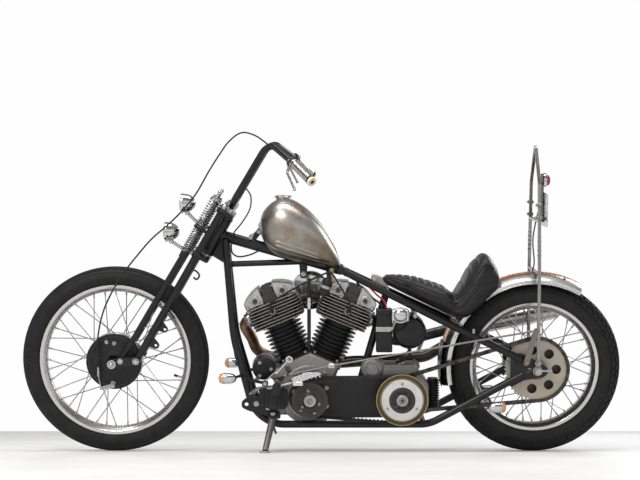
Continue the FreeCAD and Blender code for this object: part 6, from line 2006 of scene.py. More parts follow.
def stitched(place):
    """Presses the sewn channels and the waist seam into the padded form."""
    ahead = place.x - REAR_AXLE.x
    low, high, share = seat_top(ahead)
    height = (place.z - low) / max(high - low, 1)
    half = SEAT_HALF * share
    across = abs(place.y) / max(half, 1)
    depth = 0.0
    if height > PANEL_LOW and across < PANEL_WIDE and 200 < ahead < 520:
        groove = abs(((ahead + CHANNEL / 2) % CHANNEL) - CHANNEL / 2)
        fade = min(1, (PANEL_WIDE - across) / 0.08, (height - PANEL_LOW) / 0.12)
        depth = 4.6 * math.exp(-(groove / 3.4) ** 2) * max(fade, 0)
    waist = abs(height - 0.46) * max(high - low, 1)
    depth += 2.2 * math.exp(-(waist / 3.0) ** 2)
    if depth < 0.01:
        return place
    middle = Vector((place.x, 0, (low + high) / 2))
    if height > PANEL_LOW and across < 0.7:
        middle = Vector((place.x, place.y, low))
    return place + (middle - place).normalized() * depth


def seat_seams(seat):
    """Piping along the upper edge and two thin beads along the skirt."""
    tree = BVHTree.FromObject(seat, bpy.context.evaluated_depsgraph_get())
    build = Build(PIPING)
    for side in (1, -1):
        for turn, radius, back, front in ((36, 3.4, 156, 556), (-8, 1.6, 150, 550),
                                          (-30, 1.6, 150, 545)):
            c, s = math.cos(math.radians(turn)), math.sin(math.radians(turn))
            path = []
            for ahead in range(back, front + 1, 8):
                low, high, share = seat_top(ahead)
                spot = Vector((REAR_AXLE.x + ahead, side * SEAT_HALF * share * abs(c) ** 0.72 * 1.1,
                               (low + high) / 2
                               + (high - low) / 2 * math.copysign(abs(s) ** 0.72, s) * 1.05))
                near, normal = tree.find_nearest(BIKE @ spot)[:2]
                path.append(UPRIGHT @ (near + normal * 0.0002 * radius))
            smooth = [(a + b * 2 + c) / 4 for a, b, c in zip(path, path[1:], path[2:])]
            build.cord(path[:1] + smooth + path[-1:], radius, 10, 2)
    add("seat_piping", build, "frame", angle=50)


def seat_bracket():
    hinge = Build(STEEL)
    x = REAR_AXLE.x + 576
    hinge.plate(soft([(x - 40, 640), (x + 6, 662), (x + 26, 660), (x + 26, 640), (x - 30, 616)], 5),
                -14, 14, 1)
    for side in (1, -1):
        hinge.plate(soft([(x + 6, 664), (x + 30, 664), (x + 30, 636), (x + 6, 636)], 8),
                    side * 18, side * 15, 0.6)
    hinge.tube([(x + 20, -24, 650), (x + 20, 24, 650)], 5, 14)
    for side in (1, -1):
        hinge.bolt((x + 20, side * 24, 650), Y * side, 13, 6)
        foot = stay_point(REAR_AXLE.x + 236, side) + Z * 12
        hinge.tube([foot, foot + Z * 16], 5, 12)
    add("seat_bracket", hinge, "frame")


FENDER_START, FENDER_SWEEP = -11, 131


def fender_outline(grow=0.0, steps=20):
    """Crown of the fender as (y, r)."""
    shares = [-1 + 2 * index / steps for index in range(steps + 1)]
    return [((68 + grow) * share, 351 + grow - 22 * abs(share) ** 2.6) for share in shares]


def on_rear(radius, angle, y=0.0):
    """Place round the rear axle."""
    turn = math.radians(angle)
    return Vector((REAR_AXLE.x + radius * math.cos(turn), y, REAR_AXLE.z + radius * math.sin(turn)))


def rear_fender():
    build = Build(FENDER)
    crown = fender_outline()
    outer = [(-68, 315)] + crown + [(68, 315)]
    inner = [(66, 315)] + [(y * 65.6 / 68, r - 2.4) for y, r in reversed(crown)] + [(-66, 315)]
    build.wheel(outer + inner, REAR_AXLE, 120, FENDER_START, FENDER_SWEEP)
    for side in (1, -1):
        bead = [on_rear(315.5, FENDER_START + FENDER_SWEEP * k / 90, side * 67.4) for k in range(91)]
        build.tube(bead, 2.6, 10)
    for angle in (FENDER_START, FENDER_START + FENDER_SWEEP):
        edge = [on_rear(r, angle, y) for y, r in [(-67, 316)] + fender_outline(-0.8, 14) + [(67, 316)]]
        build.tube(edge, 2.4, 8)
    build.tube([on_rear(351.6, -8 + 126 * k / 80) for k in range(81)], 3.0, 10)
    build.use(STEEL)
    for way in ways(4, 30, 62, 90, 108):
        for side in (1, -1):
            spot = REAR_AXLE + way * 349 + Y * side * 36
            out = way + Y * side * 0.1
            build.socket_bolt(spot - out * 1.2, out, 5.2, 3.6)
    add("rear_fender_rolled", build, "frame", ["rear_fender"], 40)


def fender_strip():
    strip = Build(BLACK_SATIN)
    strip.wheel([(-69, 352.2), (-40, 353.8), (40, 353.8), (69, 352.2), (40, 352.4), (-40, 352.4)],
                REAR_AXLE, 16, -11.5, 27)
    strip.use(CHROME)
    strip.wheel([(24, 353.6), (26, 355.4), (38, 355.4), (40, 353.6)], REAR_AXLE, 16, -11, 26)
    strip.wheel([(-40, 353.6), (-38, 355.4), (-26, 355.4), (-24, 353.6)], REAR_AXLE, 16, -11, 26)
    add("fender_front_strip", strip, "frame", angle=40)


# Back of the number plate, behind the rear axle
PLATE_BACK = 29.5


def square_ring(place, along, half, twist):
    """Section of a square bar with cut corners, turned about its run."""
    across = along.cross(X).normalized()
    c, s = math.cos(twist), math.sin(twist)
    first = X * c + across * s
    second = across * c - X * s
    corners = ((1, 0.72), (0.72, 1), (-0.72, 1), (-1, 0.72), (-1, -0.72), (-0.72, -1), (0.72, -1),
               (1, -0.72))
    return [place + first * a * half + second * b * half for a, b in corners]


def back_rest():
    build = Build(DARK_CHROME)
    x, half, wide = REAR_AXLE.x, 6.0, 128
    leg = [Vector((x, y, z)) for y, z in ((wide, REAR_AXLE.z + 26), (wide, 700), (wide - 26, 1010))]
    path = bent(leg + [(x, 0, 1148)] + mirrored(leg[::-1]), [300, 70, 14, 70, 300], 12)
    dense = [path[0]]
    for place in path[1:]:
        last, gap = dense[-1], place - dense[-1]
        pieces = max(1, int(gap.length / 5))
        dense += [last + gap * k / pieces for k in range(1, pieces + 1)]
    rings = []
    for index, place in enumerate(dense):
        along = (dense[min(index + 1, len(dense) - 1)] - dense[max(index - 1, 0)]).normalized()
        twist = min(max((place.z - 742) / 84, 0), 1) * math.pi * 2.5
        rings.append(square_ring(place, along, half, twist if place.y > 0 else -twist))
    build.bridge(rings)
    for z, reach in ((REAR_AXLE.z + 351 + half, wide), (870, 114)):
        build.tube([(x, -reach, z), (x, reach, z)], half, 20)
    for side in (1, -1):
        build.tube([(x, side * 122.3, REAR_AXLE.z + 30), (x, side * 134, REAR_AXLE.z + 30)], 12, 28)
        build.bolt((x, side * 134, REAR_AXLE.z + 30), Y * side, 14, 8)
        weld(build, (x, side * 124, REAR_AXLE.z + 357), Y, 6, 1.6)
        for z in (884, 930):
            y = side * (wide - 26 * (z - 700) / 310)
            build.block((x, y, z), (10, 10, 7), edge=2)
            build.socket_bolt((x + 10, y, z), X, 4, 4)
    add("sissy_bar_twisted", build, "frame", ["sissy_bar"])


def plate_strap():
    strap = Build(BLACK_SATIN)
    x = REAR_AXLE.x
    face = x - PLATE_BACK + 2.2
    strap.block((face + 1.5, 0, (862 + 1040) / 2), (1.5, 30, 89), edge=0.8)
    strap.block(((x + face) / 2, 0, 870), ((x - face) / 2, 30, 2), edge=0.8)
    strap.use(STEEL)
    for y in (-22, 22):
        strap.bolt((x - 8, y, 874), Z, 10, 5)
    strap.use(RUBBER)
    strap.cord([(face + 5, 12, 1010), (face + 14, 14, 980), (face + 10, 10, 930), (x - 6, 14, 884),
                (x + 12, 40, 800), (x + 10, 66, 720), (x + 14, 50, 684)], 2.6, 8)
    add("plate_strap", strap, "frame")


def number_plate():
    plate = Build(PALE_PLATE)
    half_y, half_z = 115, 62.5
    middle, back = 848 + half_z, REAR_AXLE.x - PLATE_BACK
    flat = rounded(half_y, half_z, 8)
    rings = []
    for px, pull in ((back + 2, 0.6), (back + 1.7, 0), (back + 0.3, 0), (back, 0.6)):
        rings.append([(px, a * (half_y - pull) / half_y, middle + b * (half_z - pull) / half_z)
                      for a, b in flat])
    plate.bridge(rings)
    rim = [(back - 0.2, a * 0.975, middle + b * 0.955) for a, b in flat]
    plate.tube(rim + [rim[0]], 1.6, 8)
    plate.use(STEEL)
    for y in (-34, 34):
        plate.bolt((back, y, 890), -X, 9, 4)
    add("blank_number_plate", plate, "frame", ["number_plate"])


def tail_lamp():
    body = Build(CHROME)
    centre = Vector((REAR_AXLE.x, 0, 1016))
    body.lathe([(27.5, 0.1), (27.5, 24), (29, 27), (36, 27), (40, 26), (41, 23), (41, 20)],
               centre, -X, 48)
    add("tail_lamp_body", body, "frame", ["tail_lamp"])
    glass = Build(RED)
    profile = [(40.8, 20.2), (45, 20), (49, 18.8), (52, 15), (53.8, 9), (54.4, 3), (54.5, 0.1)]
    glass.lathe(profile, centre, -X, 48)
    for radius in (6, 11, 16):
        reach = 54.4 - (radius / 20) ** 2 * 4.6
        glass.lathe([(reach - 1.2, radius - 1.2), (reach + 0.7, radius), (reach - 1.2, radius + 1.2)],
                    centre, -X, 40)
    add("tail_lamp_glass", glass, "frame", ["tail_lens"])


def oil_tank():
    tank = Build(BLACK)
    centre = Vector((-327, 0, 456))
    end = [(60, 60), (66, 57.5), (70, 53), (73, 46), (74, 36), (74, 0.1)]
    tank.lathe([(-along, radius) for along, radius in reversed(end)] + end, centre, Y, 72)
    radius = 60
    for y in (-48, 48):
        band = [(y - 5, radius), (y - 4, radius + 1.6), (y + 4, radius + 1.6), (y + 5, radius)]
        tank.lathe(band, centre, Y, 72)
    tank.tube([centre + Vector((0, 73, 30)), centre + Vector((0, 84, 30))], 14, 32)
    tank.lathe([(80, 15), (81, 16), (86, 16), (88, 13), (88, 0.1)], centre + Z * 30, Y, 32)
    tank.use(STEEL)
    for side in (1, -1):
        top = stay_point(-345, side)
        tank.tube([(top.x, side * 58, 502), top - Z * 8], 6, 14)
        tank.bolt((top.x, side * 68, 520), Y * side, 11, 6)
    tank.bolt(centre + Vector((0, 30, -60)), -Z, 14, 8)
    tank.use(RUBBER)
    tank.cord([(-327, 40, 398), (-328, 40, 372), (-306, 36, 350), (-280, 20, 338)], 5.2, 12, 8)
    tank.cord([(-327, -30, 398), (-322, -30, 366), (-230, -36, 350), (-90, -40, 344),
               (-64, -44, 300)], 5.2, 12, 8)
    add("oil_tank_round", tank, "frame", ["oil_tank"])


def battery_case():
    box = Build(BLACK_SATIN)
    x = -232
    slab(box, 30, 27, 9, ((384, 2), (386, 0), (520, 0), (522, 1.5), (523, 1.5), (524, 0), (541, 0),
                          (544, 3)), (x, 49))
    box.use(STEEL)
    box.block((x, 76.6, 470), (31.5, 1.2, 9), edge=0.6)
    box.bolt((x, 77.6, 470), Y, 9, 5)
    for z in (488, 522):
        share = (z - RAIL_Z) / (stay_point(POST_TOP_X).z - RAIL_Z)
        px = POST_FOOT_X + (POST_TOP_X - POST_FOOT_X) * share
        box.tube([(px, 12, z), (px, 26, z)], 7, 16)
    box.use(RUBBER)
    box.cord([(-226, 62, 542), (-214, 64, 566), (-180, 50, 590), (-130, 30, 640)], 4, 10)
    box.use(RED_SLEEVE)
    box.cord([(-240, 62, 542), (-232, 66, 572), (-200, 56, 600), (-150, 34, 650)], 3.4, 10)
    add("battery_case", box, "frame", ["battery_box"])


def regulator_unit():
    unit = Build(CHROME)
    x, dome_y, dome_z = -289, 109, 527
    slab(unit, 33, 17, 9, ((503, 3), (506, 0), (540, 0), (546, 4), (549, 9)), (x, 95))
    for dome in ([(0, 24), (3, 24.5), (7, 23), (12, 18), (15, 11), (16, 0.1)],
                 [(0, 29), (2, 29), (3, 27), (3, 22)]):
        unit.lathe(dome, (x, dome_y, dome_z), Y, 48)
    unit.use(STEEL)
    unit.block((x, 76, 516), (24, 3, 14), edge=1)
    for off in (-19, 19):
        unit.bolt((x + off, 112, 508), Y, 8, 4)
    unit.use(RUBBER)
    for start, after in ((-300, -306), (-280, -274)):
        unit.cord([(start, 90, 504), (after, 86, 478), (-246, 74, 452), (-236, 72, 430)], 2.4, 8)
    add("regulator_unit", unit, "frame", ["regulator"])


def ignition_coil():
    coil = Build(BLACK_SATIN)
    foot, top = Vector((-5, 84, 600)), Vector((-27, 84, 660))
    along = (top - foot).normalized()
    length = (top - foot).length
    coil.lathe([(0, 0.1), (0, 17), (3, 20), (length - 12, 20), (length - 10, 18), (length - 6, 18),
                (length - 2, 13), (length, 12), (length, 7), (length + 7, 6), (length + 7, 0.1)],
               foot, along, 36)
    coil.tube([top + Vector((2, 0, -8)), backbone_point(-20)], 5, 14)
    coil.use(STEEL)
    coil.lathe([(length * 0.4, 20.2), (length * 0.4, 21.6), (length * 0.4 + 10, 21.6),
                (length * 0.4 + 10, 20.2)], foot, along, 36)
    coil.use(RUBBER)
    head = top + along * 8
    for side in (1, -1):
        plug = cylinder_place(side) @ Vector((side * 6 - 3, 119, 356))
        coil.cord([head, head + Z * 14 + X * 6 * side, (head + plug) / 2 + Z * 30 + Y * 14,
                   plug + Z * 26 + Y * 2, plug], 3.6, 10, 8)
    add("coil_and_leads", coil, "frame", ["ignition_coil"])


# Controls, signals and stand

CABLE_POINTS = [
    (141, -232, 1106), (172, -212, 1120), (208, -184, 1148), (252, -142, 1180), (300, -88, 1191),
    (344, -44, 1160), (376, -8, 1114), (412, 40, 1054), (460, 80, 968), (512, 96, 905),
    (560, 101, 858), (620, 101, 806), (676, 100, 742), (726, 98, 678), (768, 95, 610),
    (800, 91, 540), (820, 86, 460), (827, 81, 380), (824, 76, 312)]


def front_cable():
    build = Build(RUBBER)
    points = [Vector(point) for point in CABLE_POINTS]
    build.cord(points, 3.0, 14, 10)
    build.use(CHROME_OLD)
    for end, ahead in ((points[0], points[1]), (points[-1], points[-2])):
        along = (ahead - end).normalized()
        build.lathe([(-4, 0.1), (-4, 3.4), (2, 3.6), (16, 3.6), (18, 3)], end, along, 16)
    add("front_brake_cable_sleeve", build, "steering", ["front_brake_cable"], 40)


def hand_levers():
    build = Build(DARK_CHROME)
    down = Vector((0.5, 0, -0.87))
    for sign in (1, -1):
        first, along = grip_ends(sign)[::2]
        build.use(BLACK_SATIN)
        build.lathe([(1.5, 12.8), (1.5, 19), (3, 20.5), (16.5, 20.5), (18, 19), (18, 12.8)],
                    first, along, 32)
        build.use(DARK_CHROME)
        mount = first + along * 9.5
        pivot = mount + down * 17.7
        build.tube([pivot - along * 7, pivot + along * 7], 8, 24)
        tip = pivot + along * 82.5 + down * 46
        path = bent([pivot, pivot + down * 22, tip], 14, 8)
        build.tube(path, tapered(path, 5.6, 4.2), 16)
        build.lathe([(-6, 0.1), (-5, 3.4), (-2, 5.6), (1, 6), (4, 4.6), (6, 0.1)], tip,
                    (tip - path[-2]).normalized(), 20)
        build.use(STEEL)
        side = down.cross(along).normalized()
        for way in (side, -side):
            build.socket_bolt(mount + way * 19, way, 4, 4)
        build.use(DARK_CHROME)
    build.tube([mount, Vector(CABLE_POINTS[0])], 5, 16)
    add("hand_levers_forged", build, "steering", ["hand_levers"], 40)


def front_brake_backing():
    axle = FRONT_AXLE
    build = Build(BLACK_SATIN)
    build.wheel([(56, 10.3), (56, 101), (57.5, 103.5), (60, 103.5), (61.5, 102), (62, 96), (63, 92),
                 (63, 44), (66, 40), (70, 27), (70, 10.3)], axle, 96)
    build.tube([axle + Y * 63, axle + Y * 70], 26, 40)
    eye = fork(LEG_FORWARD, 0, LEG_FOOT_UP)
    build.tube([(eye.x + 6, 61, eye.z), (eye.x + 6, 74.8, eye.z)], 10, 24)
    build.plate(soft([(eye.x - 6, eye.z - 12), (eye.x + 18, eye.z - 12), (eye.x + 22, eye.z + 12),
                      (eye.x - 2, eye.z + 12)], 6), 62, 72, 1.5)
    root = Vector((axle.x + 4, 69, axle.z - 87.5))
    foot = Vector((axle.x + 46.5, 69, axle.z - 99.5))
    build.tube([root - Y * 7, root + Y * 3], 9, 24)
    build.use(STEEL)
    build.plate(soft([(root.x - 9, root.z - 9), (root.x - 6, root.z + 9), (foot.x + 5, foot.z + 6),
                      (foot.x + 6, foot.z - 6)], 5), 67, 72, 1)
    build.bolt(root + Y * 3, Y, 12, 6)
    build.tube([foot - Y * 4, foot + Y * 5], 5, 16)
    rod_top = Vector(CABLE_POINTS[-1]) - Z * 8
    build.tube([foot + Y * 2, Vector((foot.x + 6, 72, foot.z + 26)), rod_top], 2.2, 10)
    build.tube([rod_top - Z * 8, rod_top + Z * 10], 5, 12)
    add("front_brake_backing", build, "steering", ["front_brake_plate"], 40)


def foot_pegs():
    pegs = Build(RUBBER)
    peg_x, peg_z = 162, 275
    for side in (1, -1):
        pegs.use(STEEL)
        mount = [(266, 103 * side, 232), (230, 150 * side, 262), (peg_x, 179 * side, peg_z)]
        pegs.tube(bent(mount, 20, 8), 8, 20)
        pegs.tube([(peg_x, 172 * side, peg_z), (peg_x, 184 * side, peg_z)], 13, 24)
        pegs.bolt((peg_x - 10, 178 * side, peg_z), -X, 10, 6)
        pegs.use(RUBBER)
        profile = [(0, 9), (0, 14), (2, 16)]
        for ring in range(9):
            place = ring * 8.6
            profile += [(place + 6, 16), (place + 7, 13.6), (place + 9, 13.6), (place + 10, 16)]
        profile += [(83, 16), (86, 14), (87, 9), (87, 0.1)]
        pegs.lathe(profile, (peg_x, 175 * side, peg_z), Y * side, 32)
    block = [(228, 268), (224, 206), (196, 192), (132, 190), (118, 212), (122, 258), (150, 276)]
    pegs.plate(soft(block, 10), 146, 172, 3)
    for rib in range(6):
        x = 136 + rib * 15
        pegs.tube([(x, 172.5, 204), (x, 172.5, 260)], 3.2, 10)
    add("foot_pegs_ribbed", pegs, "frame", ["foot_pegs"])


def foot_controls():
    arms = Build(CHROME)
    pivot_x, pivot_z, toe_x, toe_z = 204, 288, 117, 377
    for side in (1, -1):
        y = 183 * side
        path = bent([(pivot_x, y, pivot_z), (160, y, 330), (toe_x, y, toe_z)], 200, 8)[1:]
        arms.use(CHROME)
        arms.tube(path, tapered(path, 6.5, 4.5), 16)
        arms.lathe([(-6, 6), (-6, 12), (-5, 13), (5, 13), (6, 12), (6, 6), (-6, 6)],
                   (toe_x, y, toe_z), Y, 32)
        arms.use(BLACK_SATIN)
        for start, end, radius in ((-16, 4, 8), (-5, 6, 12)):
            arms.tube([(pivot_x, y + start, pivot_z), (pivot_x, y + end, pivot_z)], radius, 24)
        arms.tube([(280, 95 * side, pivot_z), (pivot_x, y - 8 * side, pivot_z)], 6, 16)
        arms.use(STEEL)
        arms.bolt((pivot_x, y + 5 * side, pivot_z), Y * side, 11, 6)
        arms.tube([(198, y - 10 * side, 300), (150, y - 9 * side, 344)], 3, 10)
    add("foot_control_arms", arms, "frame", ["foot_controls"])


def pedal_pads():
    pad = Build(CHROME)
    for side in (1, -1):
        y = 186 * side
        outline = soft([(114, 308), (58, 330), (8, 332), (-2, 322), (50, 304), (96, 286)], 10)
        pad.plate(outline, y - 4, y + 4, 1.5)
        for step in range(7):
            spot, half = Vector((100 - step * 15, y + 4.5 * side, 301 + step * 3.4)), Vector((5, 0, 9))
            pad.tube([spot - half, spot + half], 1.6, 8)
        pad.use(PALE_PLATE)
        pad.block((86, y, 288), (19, 9, 8), edge=2)
        pad.use(STEEL)
        for end in ((86, y, 292), (150, y - 34 * side, 272)):
            pad.tube([(86, y - 30 * side, 292), end], 6, 16)
        pad.use(CHROME)
    add("pedal_pads", pad, "frame")


def brake_linkage():
    build = Build(AGED_STEEL)
    rear = Vector((REAR_AXLE.x + 12, 150, 476))
    clevis = Vector((-35, 168, 350))
    front = Vector((128, 168, 314))
    build.tube([front, clevis], 4, 14)
    build.tube([clevis, rear], 3.5, 14)
    along = (rear - clevis).normalized()
    build.tube([clevis - along * 9, clevis + along * 9], 8, 20)
    build.use(CHROME_OLD)
    build.block(clevis, (13, 9, 9), edge=2)
    build.tube([clevis - Y * 12, clevis + Y * 12], 4.5, 14)
    build.use(AGED_STEEL)
    build.tube([clevis + along * 14, clevis + along * 26], 6.5, 6)
    build.tube([rear - along * 30, rear - along * 18], 5.6, 6)
    pivot = Vector((REAR_AXLE.x + 46, 150, REAR_AXLE.z + 34))
    outline = hull_outline([(rear, 9), (pivot, 11)])
    build.plate(outline, 145, 150, 1)
    build.tube([(rear.x, 143, rear.z), (rear.x, 157, rear.z)], 5, 16)
    build.tube([(pivot.x, 122.2, pivot.z), (pivot.x, 152, pivot.z)], 8, 20)
    build.bolt((pivot.x, 152, pivot.z), Y, 12, 5)
    build.bolt((rear.x, 156, rear.z), Y, 8, 4)
    build.tube([front - Vector((8, 0, -2)), front + Vector((6, 0, -2))], 6, 16)
    build.tube([front, Vector((118, 182, 322))], 4, 12)
    add("brake_rod_and_lever", build, "frame", ["brake_linkage"])


# Turn signals: x, z, and ahead (1) or behind (-1)
SIGNALS = [(341.0, 304.0, 1), (-638.5, 197.0, -1)]


def turn_signals():
    bodies = Build(CHROME)
    glass = Build(AMBER)
    body = [(-33, 0.1), (-32.6, 4), (-30, 9), (-25, 14), (-17, 17.8), (-6, 19.4), (8, 19.5),
            (14, 19.5), (15, 18.6), (15, 16)]
    dome = [(15.2, 19.2), (20, 19.1), (26, 16.6), (30, 11.5), (32.4, 5.5), (33, 0.1)]
    for x, z, way in SIGNALS:
        for side in (1, -1):
            centre = Vector((x, side * 170, z))
            bodies.use(CHROME)
            bodies.lathe(body, centre, X * way, 40)
            bodies.lathe([(9, 19.5), (10, 20.4), (14, 20.4), (15, 19)], centre, X * way, 40)
            if way > 0:
                root, end = Vector((286, side * 104, 304)), Vector((x - 12, side * 162, z))
                wire = [(x - 34, side * 168, z + 4), (x - 48, side * 160, z + 24),
                        (318, side * 84, 370), (322, side * 76, 400)]
            else:
                root, end = Vector((-600, side * RAIL_SIDE, 238)), Vector((x + 10, side * 162, z))
                wire = [(x + 34, side * 168, z - 2), (x + 52, side * 152, z - 12),
                        (x + 74, side * 130, z + 10), (x + 78, side * 122, z + 26)]
            bodies.use(BLACK_SATIN)
            bodies.tube([root, end], 5, 16)
            bodies.tube([end - (end - root).normalized() * 12, end], 9, 20)
            bodies.use(RUBBER)
            bodies.cord(wire, 2.2, 8)
            glass.lathe(dome, centre, X * way, 40)
            for radius in (5.5, 10.5, 15.5):
                reach = 33 - (radius / 19) ** 2 * 9.5
                glass.lathe([(reach - 1.4, radius - 1.1), (reach + 0.4, radius),
                             (reach - 1.4, radius + 1.1)], centre, X * way, 32)
    add("bullet_signals", bodies, "frame", ["turn_signals"])
    add("signal_glass", glass, "frame", ["signal_lenses"])


PIVOT = Vector((177.0, 146.0, 158.0))
FOOT_X, FOOT_SIDE, FOOT_HEIGHT = 203, 252, 3


def stand_foot():
    """Middle of the stand's foot, which lies on the ground when the machine leans."""
    z = (FOOT_SIDE * math.sin(LEAN) + FOOT_HEIGHT) / math.cos(LEAN)
    return Vector((FOOT_X, FOOT_SIDE, z))


def stand_axis():
    """Hinge line of the stand, square to it both lowered and folded."""
    lowered = (stand_foot() - PIVOT).normalized()
    folded = Vector((-1, 0.25, -0.25)).normalized()
    return lowered.cross(folded).normalized()


def side_stand():
    axis, foot = stand_axis(), stand_foot()
    along = (foot - PIVOT).normalized()
    build = Build(AGED_STEEL)
    path = [PIVOT + along * 10, PIVOT + along * 30, PIVOT + (foot - PIVOT) * 0.5, foot - along * 14,
            foot - along * 5]
    build.tube(path, [13, 13, 12, 11, 10], 28)
    build.lathe([(-9.5, 6.6), (-9.5, 15), (-8.5, 16), (8.5, 16), (9.5, 15), (9.5, 6.6)],
                PIVOT, axis, 36)
    flat = (UPRIGHT.to_3x3() @ Vector((0, 0, 0.001))).normalized()
    under = foot - flat * FOOT_HEIGHT
    build.use(STEEL)
    build.lathe([(0, 0.1), (0, 18), (1, 19), (4.6, 19), (6, 17.5), (6, 0.1)], under, flat, 40)
    build.use(BLACK_SATIN)
    across = axis.cross(along)
    tang = PIVOT + along * 34 + across * 6
    build.tube([tang, tang + across * 18 + along * 34], [5, 4], 14)
    build.use(CHROME_OLD)
    hook = PIVOT + along * 46
    build.tube([hook - axis * 9, hook - axis * 15], 3, 12)
    add("side_stand_leg", build, "side_stand", ["side_stand"], 40)


def left_bracket():
    axis = stand_axis()
    plate = Build(BLACK)
    outline = soft([(292, 192), (292, 214), (262, 236), (214, 226), (150, 176), (150, 148), (236, 170),
                    (270, 180)], 8)
    pierced(plate, outline, [circle(274, 203, 7, 28)], 133.5, 139.5)
    plate.wheel([(132.6, 7), (132.6, 13), (140.6, 13), (140.6, 7)], Vector((274, 0, 203)), 36)
    for way in (1, -1):
        plate.lathe([(10, 6.2), (10, 16), (11, 17), (15, 17), (16, 16), (16, 6)], PIVOT, axis * way, 36)
    plate.tube([(238, 118, 205), (238, 135, 205)], 9, 24)
    plate.use(STEEL)
    plate.tube([PIVOT - axis * 19, PIVOT + axis * 19], 6, 20)
    plate.tube([PIVOT + axis * 16, PIVOT + axis * 22], 10, 6)
    plate.bolt((238, 139.5, 205), Y, 14, 7)
    plate.bolt((196, 139.5, 190), Y, 12, 6)
    add("left_side_bracket", plate, "frame", ["left_bracket"], 40)


def bar_cable_loop():
    """Thin cable that loops from the bars down to the frame."""
    route = [(274, 97, 990), (258, 88, 962), (262, 70, 915), (290, 44, 866), (322, 12, 826),
             (324, 4, 816)]
    build = Build(RUBBER)
    build.cord(route, 2.6, 10, 10)
    mesh = drawn("bar_cable_loop", build)
    mesh.materials.append(RUBBER)
    mesh.shade_smooth()
    piece = placed("bar_cable_loop", mesh)
    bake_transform(piece)


def wiring_and_line():
    """Wire looped under the backbone, and a fuel line with its filter."""
    wires = Build(RUBBER)
    wires.cord([(330, 24, 792), (334, 26, 770), (328, 26, 746), (304, 24, 734), (262, 20, 742),
                (228, 18, 758)], 3.0, 10, 8)
    line = Vector((46, 34, 0))
    wires.use(BLACK_SATIN)
    wires.tube([line + Z * 655, line + Z * 372], 7, 20)
    wires.use(CHROME)
    for low, high, radius, sides in ((548, 575, 11, 24), (575, 582, 9, 6), (541, 548, 9, 6)):
        wires.tube([line + Z * low, line + Z * high], radius, sides)
    wires.tube([(46, 40, 561), (46, 52, 561)], 7, 6)
    add("wiring_and_line", wires, "frame")


# Stage, light and camera

# Grey of the studio by height of view: bright at the horizon, dim above, a soft ceiling
SKY = ((0.0, 0.92), (0.3, 0.92), (0.42, 0.30), (0.74, 0.22), (0.92, 0.55))


def stage():
    floor = bpy.data.meshes.new("floor")
    floor.from_pydata([(-9, -3.2, 0), (9, -3.2, 0), (9, 9, 0), (-9, 9, 0)], [], [(0, 1, 2, 3)])
    ground = placed("floor", floor)
    shade = Shade("pale_floor", (0.78, 0.775, 0.76), 0.5)
    cloud = shade.noise(3.0, 4.0, 0.5)
    shade.colour(shade.ramp(cloud, (0.3, (0.74, 0.735, 0.72)), (0.7, (0.82, 0.815, 0.80))))
    floor.materials.append(shade.material)

    world = bpy.data.worlds.new("studio")
    bpy.context.scene.world = world
    world.use_nodes = True
    tree = world.node_tree
    tree.nodes.clear()
    out = tree.nodes.new("ShaderNodeOutputWorld")
    light = tree.nodes.new("ShaderNodeBackground")
    coords = tree.nodes.new("ShaderNodeTexCoord")
    parts = tree.nodes.new("ShaderNodeSeparateXYZ")
    ramp = tree.nodes.new("ShaderNodeValToRGB")
    while len(ramp.color_ramp.elements) < len(SKY):
        ramp.color_ramp.elements.new(0.5)
    for element, (place, grey) in zip(ramp.color_ramp.elements, SKY):
        element.position = place
        element.color = (grey, grey, grey * 1.02, 1)
    tree.links.new(coords.outputs["Generated"], parts.inputs[0])
    tree.links.new(parts.outputs["Z"], ramp.inputs[0])
    tree.links.new(ramp.outputs[0], light.inputs["Color"])
    light.inputs["Strength"].default_value = 1.08
    tree.links.new(light.outputs[0], out.inputs[0])


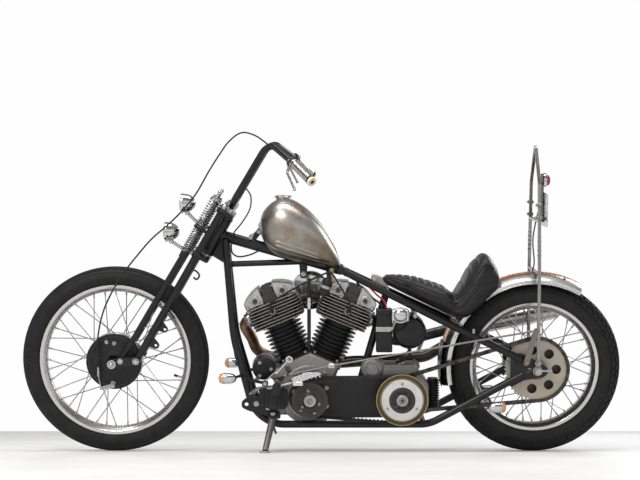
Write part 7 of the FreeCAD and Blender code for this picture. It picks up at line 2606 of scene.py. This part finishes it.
def lamp(name, place, target, size, power, colour=(1, 1, 1)):
    """Soft light that looks at a target."""
    data = bpy.data.lights.new(name, "AREA")
    data.shape = "RECTANGLE"
    data.size, data.size_y = size
    data.energy = power
    data.color = colour
    piece = placed(name, data)
    piece.location = place
    piece.rotation_mode = "QUATERNION"
    piece.rotation_quaternion = (Vector(target) - Vector(place)).to_track_quat("-Z", "Y")


# The camera stands at the near side, and looks up by this much over its way to the machine
CAMERA_AWAY, CAMERA_AIM = 5500, 596


def lights_and_camera():
    lamp("key_soft", (1.6, 3.2, 3.4), (0, 0, 0.5), (2.2, 1.2), 120, (1, 0.985, 0.96))
    lamp("top_strip", (0.0, 0.4, 3.6), (0, 0, 0.4), (3.4, 0.7), 60)
    lamp("rear_soft", (-2.6, -2.2, 2.2), (-0.3, 0, 0.5), (1.6, 1.2), 50, (0.96, 0.98, 1))
    data = bpy.data.cameras.new("camera")
    data.lens, data.sensor_width, data.clip_end = 81.4, 36.0, 60.0
    camera = placed("camera", data)
    camera.location = (0.005, CAMERA_AWAY / 1000 + SIDE_SHIFT / 1000, 0.2)
    camera.rotation_euler = (math.radians(90) + math.atan2(CAMERA_AIM, CAMERA_AWAY), 0,
                             math.radians(180))
    scene = bpy.context.scene
    scene.camera = camera
    scene.view_settings.view_transform = "Standard"
    scene.view_settings.look = "None"
    scene.view_settings.exposure = 0.0


for work in (
        dress_nodes, front_tyre, front_rim, front_hub, rear_tyre, rear_rim, rear_hub,
        front_brake_backing, front_brake_trim, frame_cradle, axle_plates, axle_nuts, fork_yokes,
        rigid_legs, spring_legs, guide_rods, rocker_links, fork_springs, fork_nuts, headlamps,
        handlebar, ribbed_grips,
        hand_levers, front_cable, finned_barrels, finned_heads, rocker_boxes, engine_case, pushrods,
        generator, intake_and_filter, exhaust_system, front_pulley, clutch_basket, clutch_face,
        toothed_belt, back_plate, gearbox_housing, kick_lever, roller_chain, rear_sprocket, tank_shell,
        filler_cap, tank_fittings, leather_seat, seat_bracket, rear_fender, fender_strip, back_rest,
        plate_strap, number_plate, tail_lamp, oil_tank, battery_case, regulator_unit, ignition_coil,
        foot_pegs, foot_controls, pedal_pads, brake_linkage, turn_signals, side_stand, left_bracket,
        bar_cable_loop, wiring_and_line, stage, lights_and_camera):
    work()
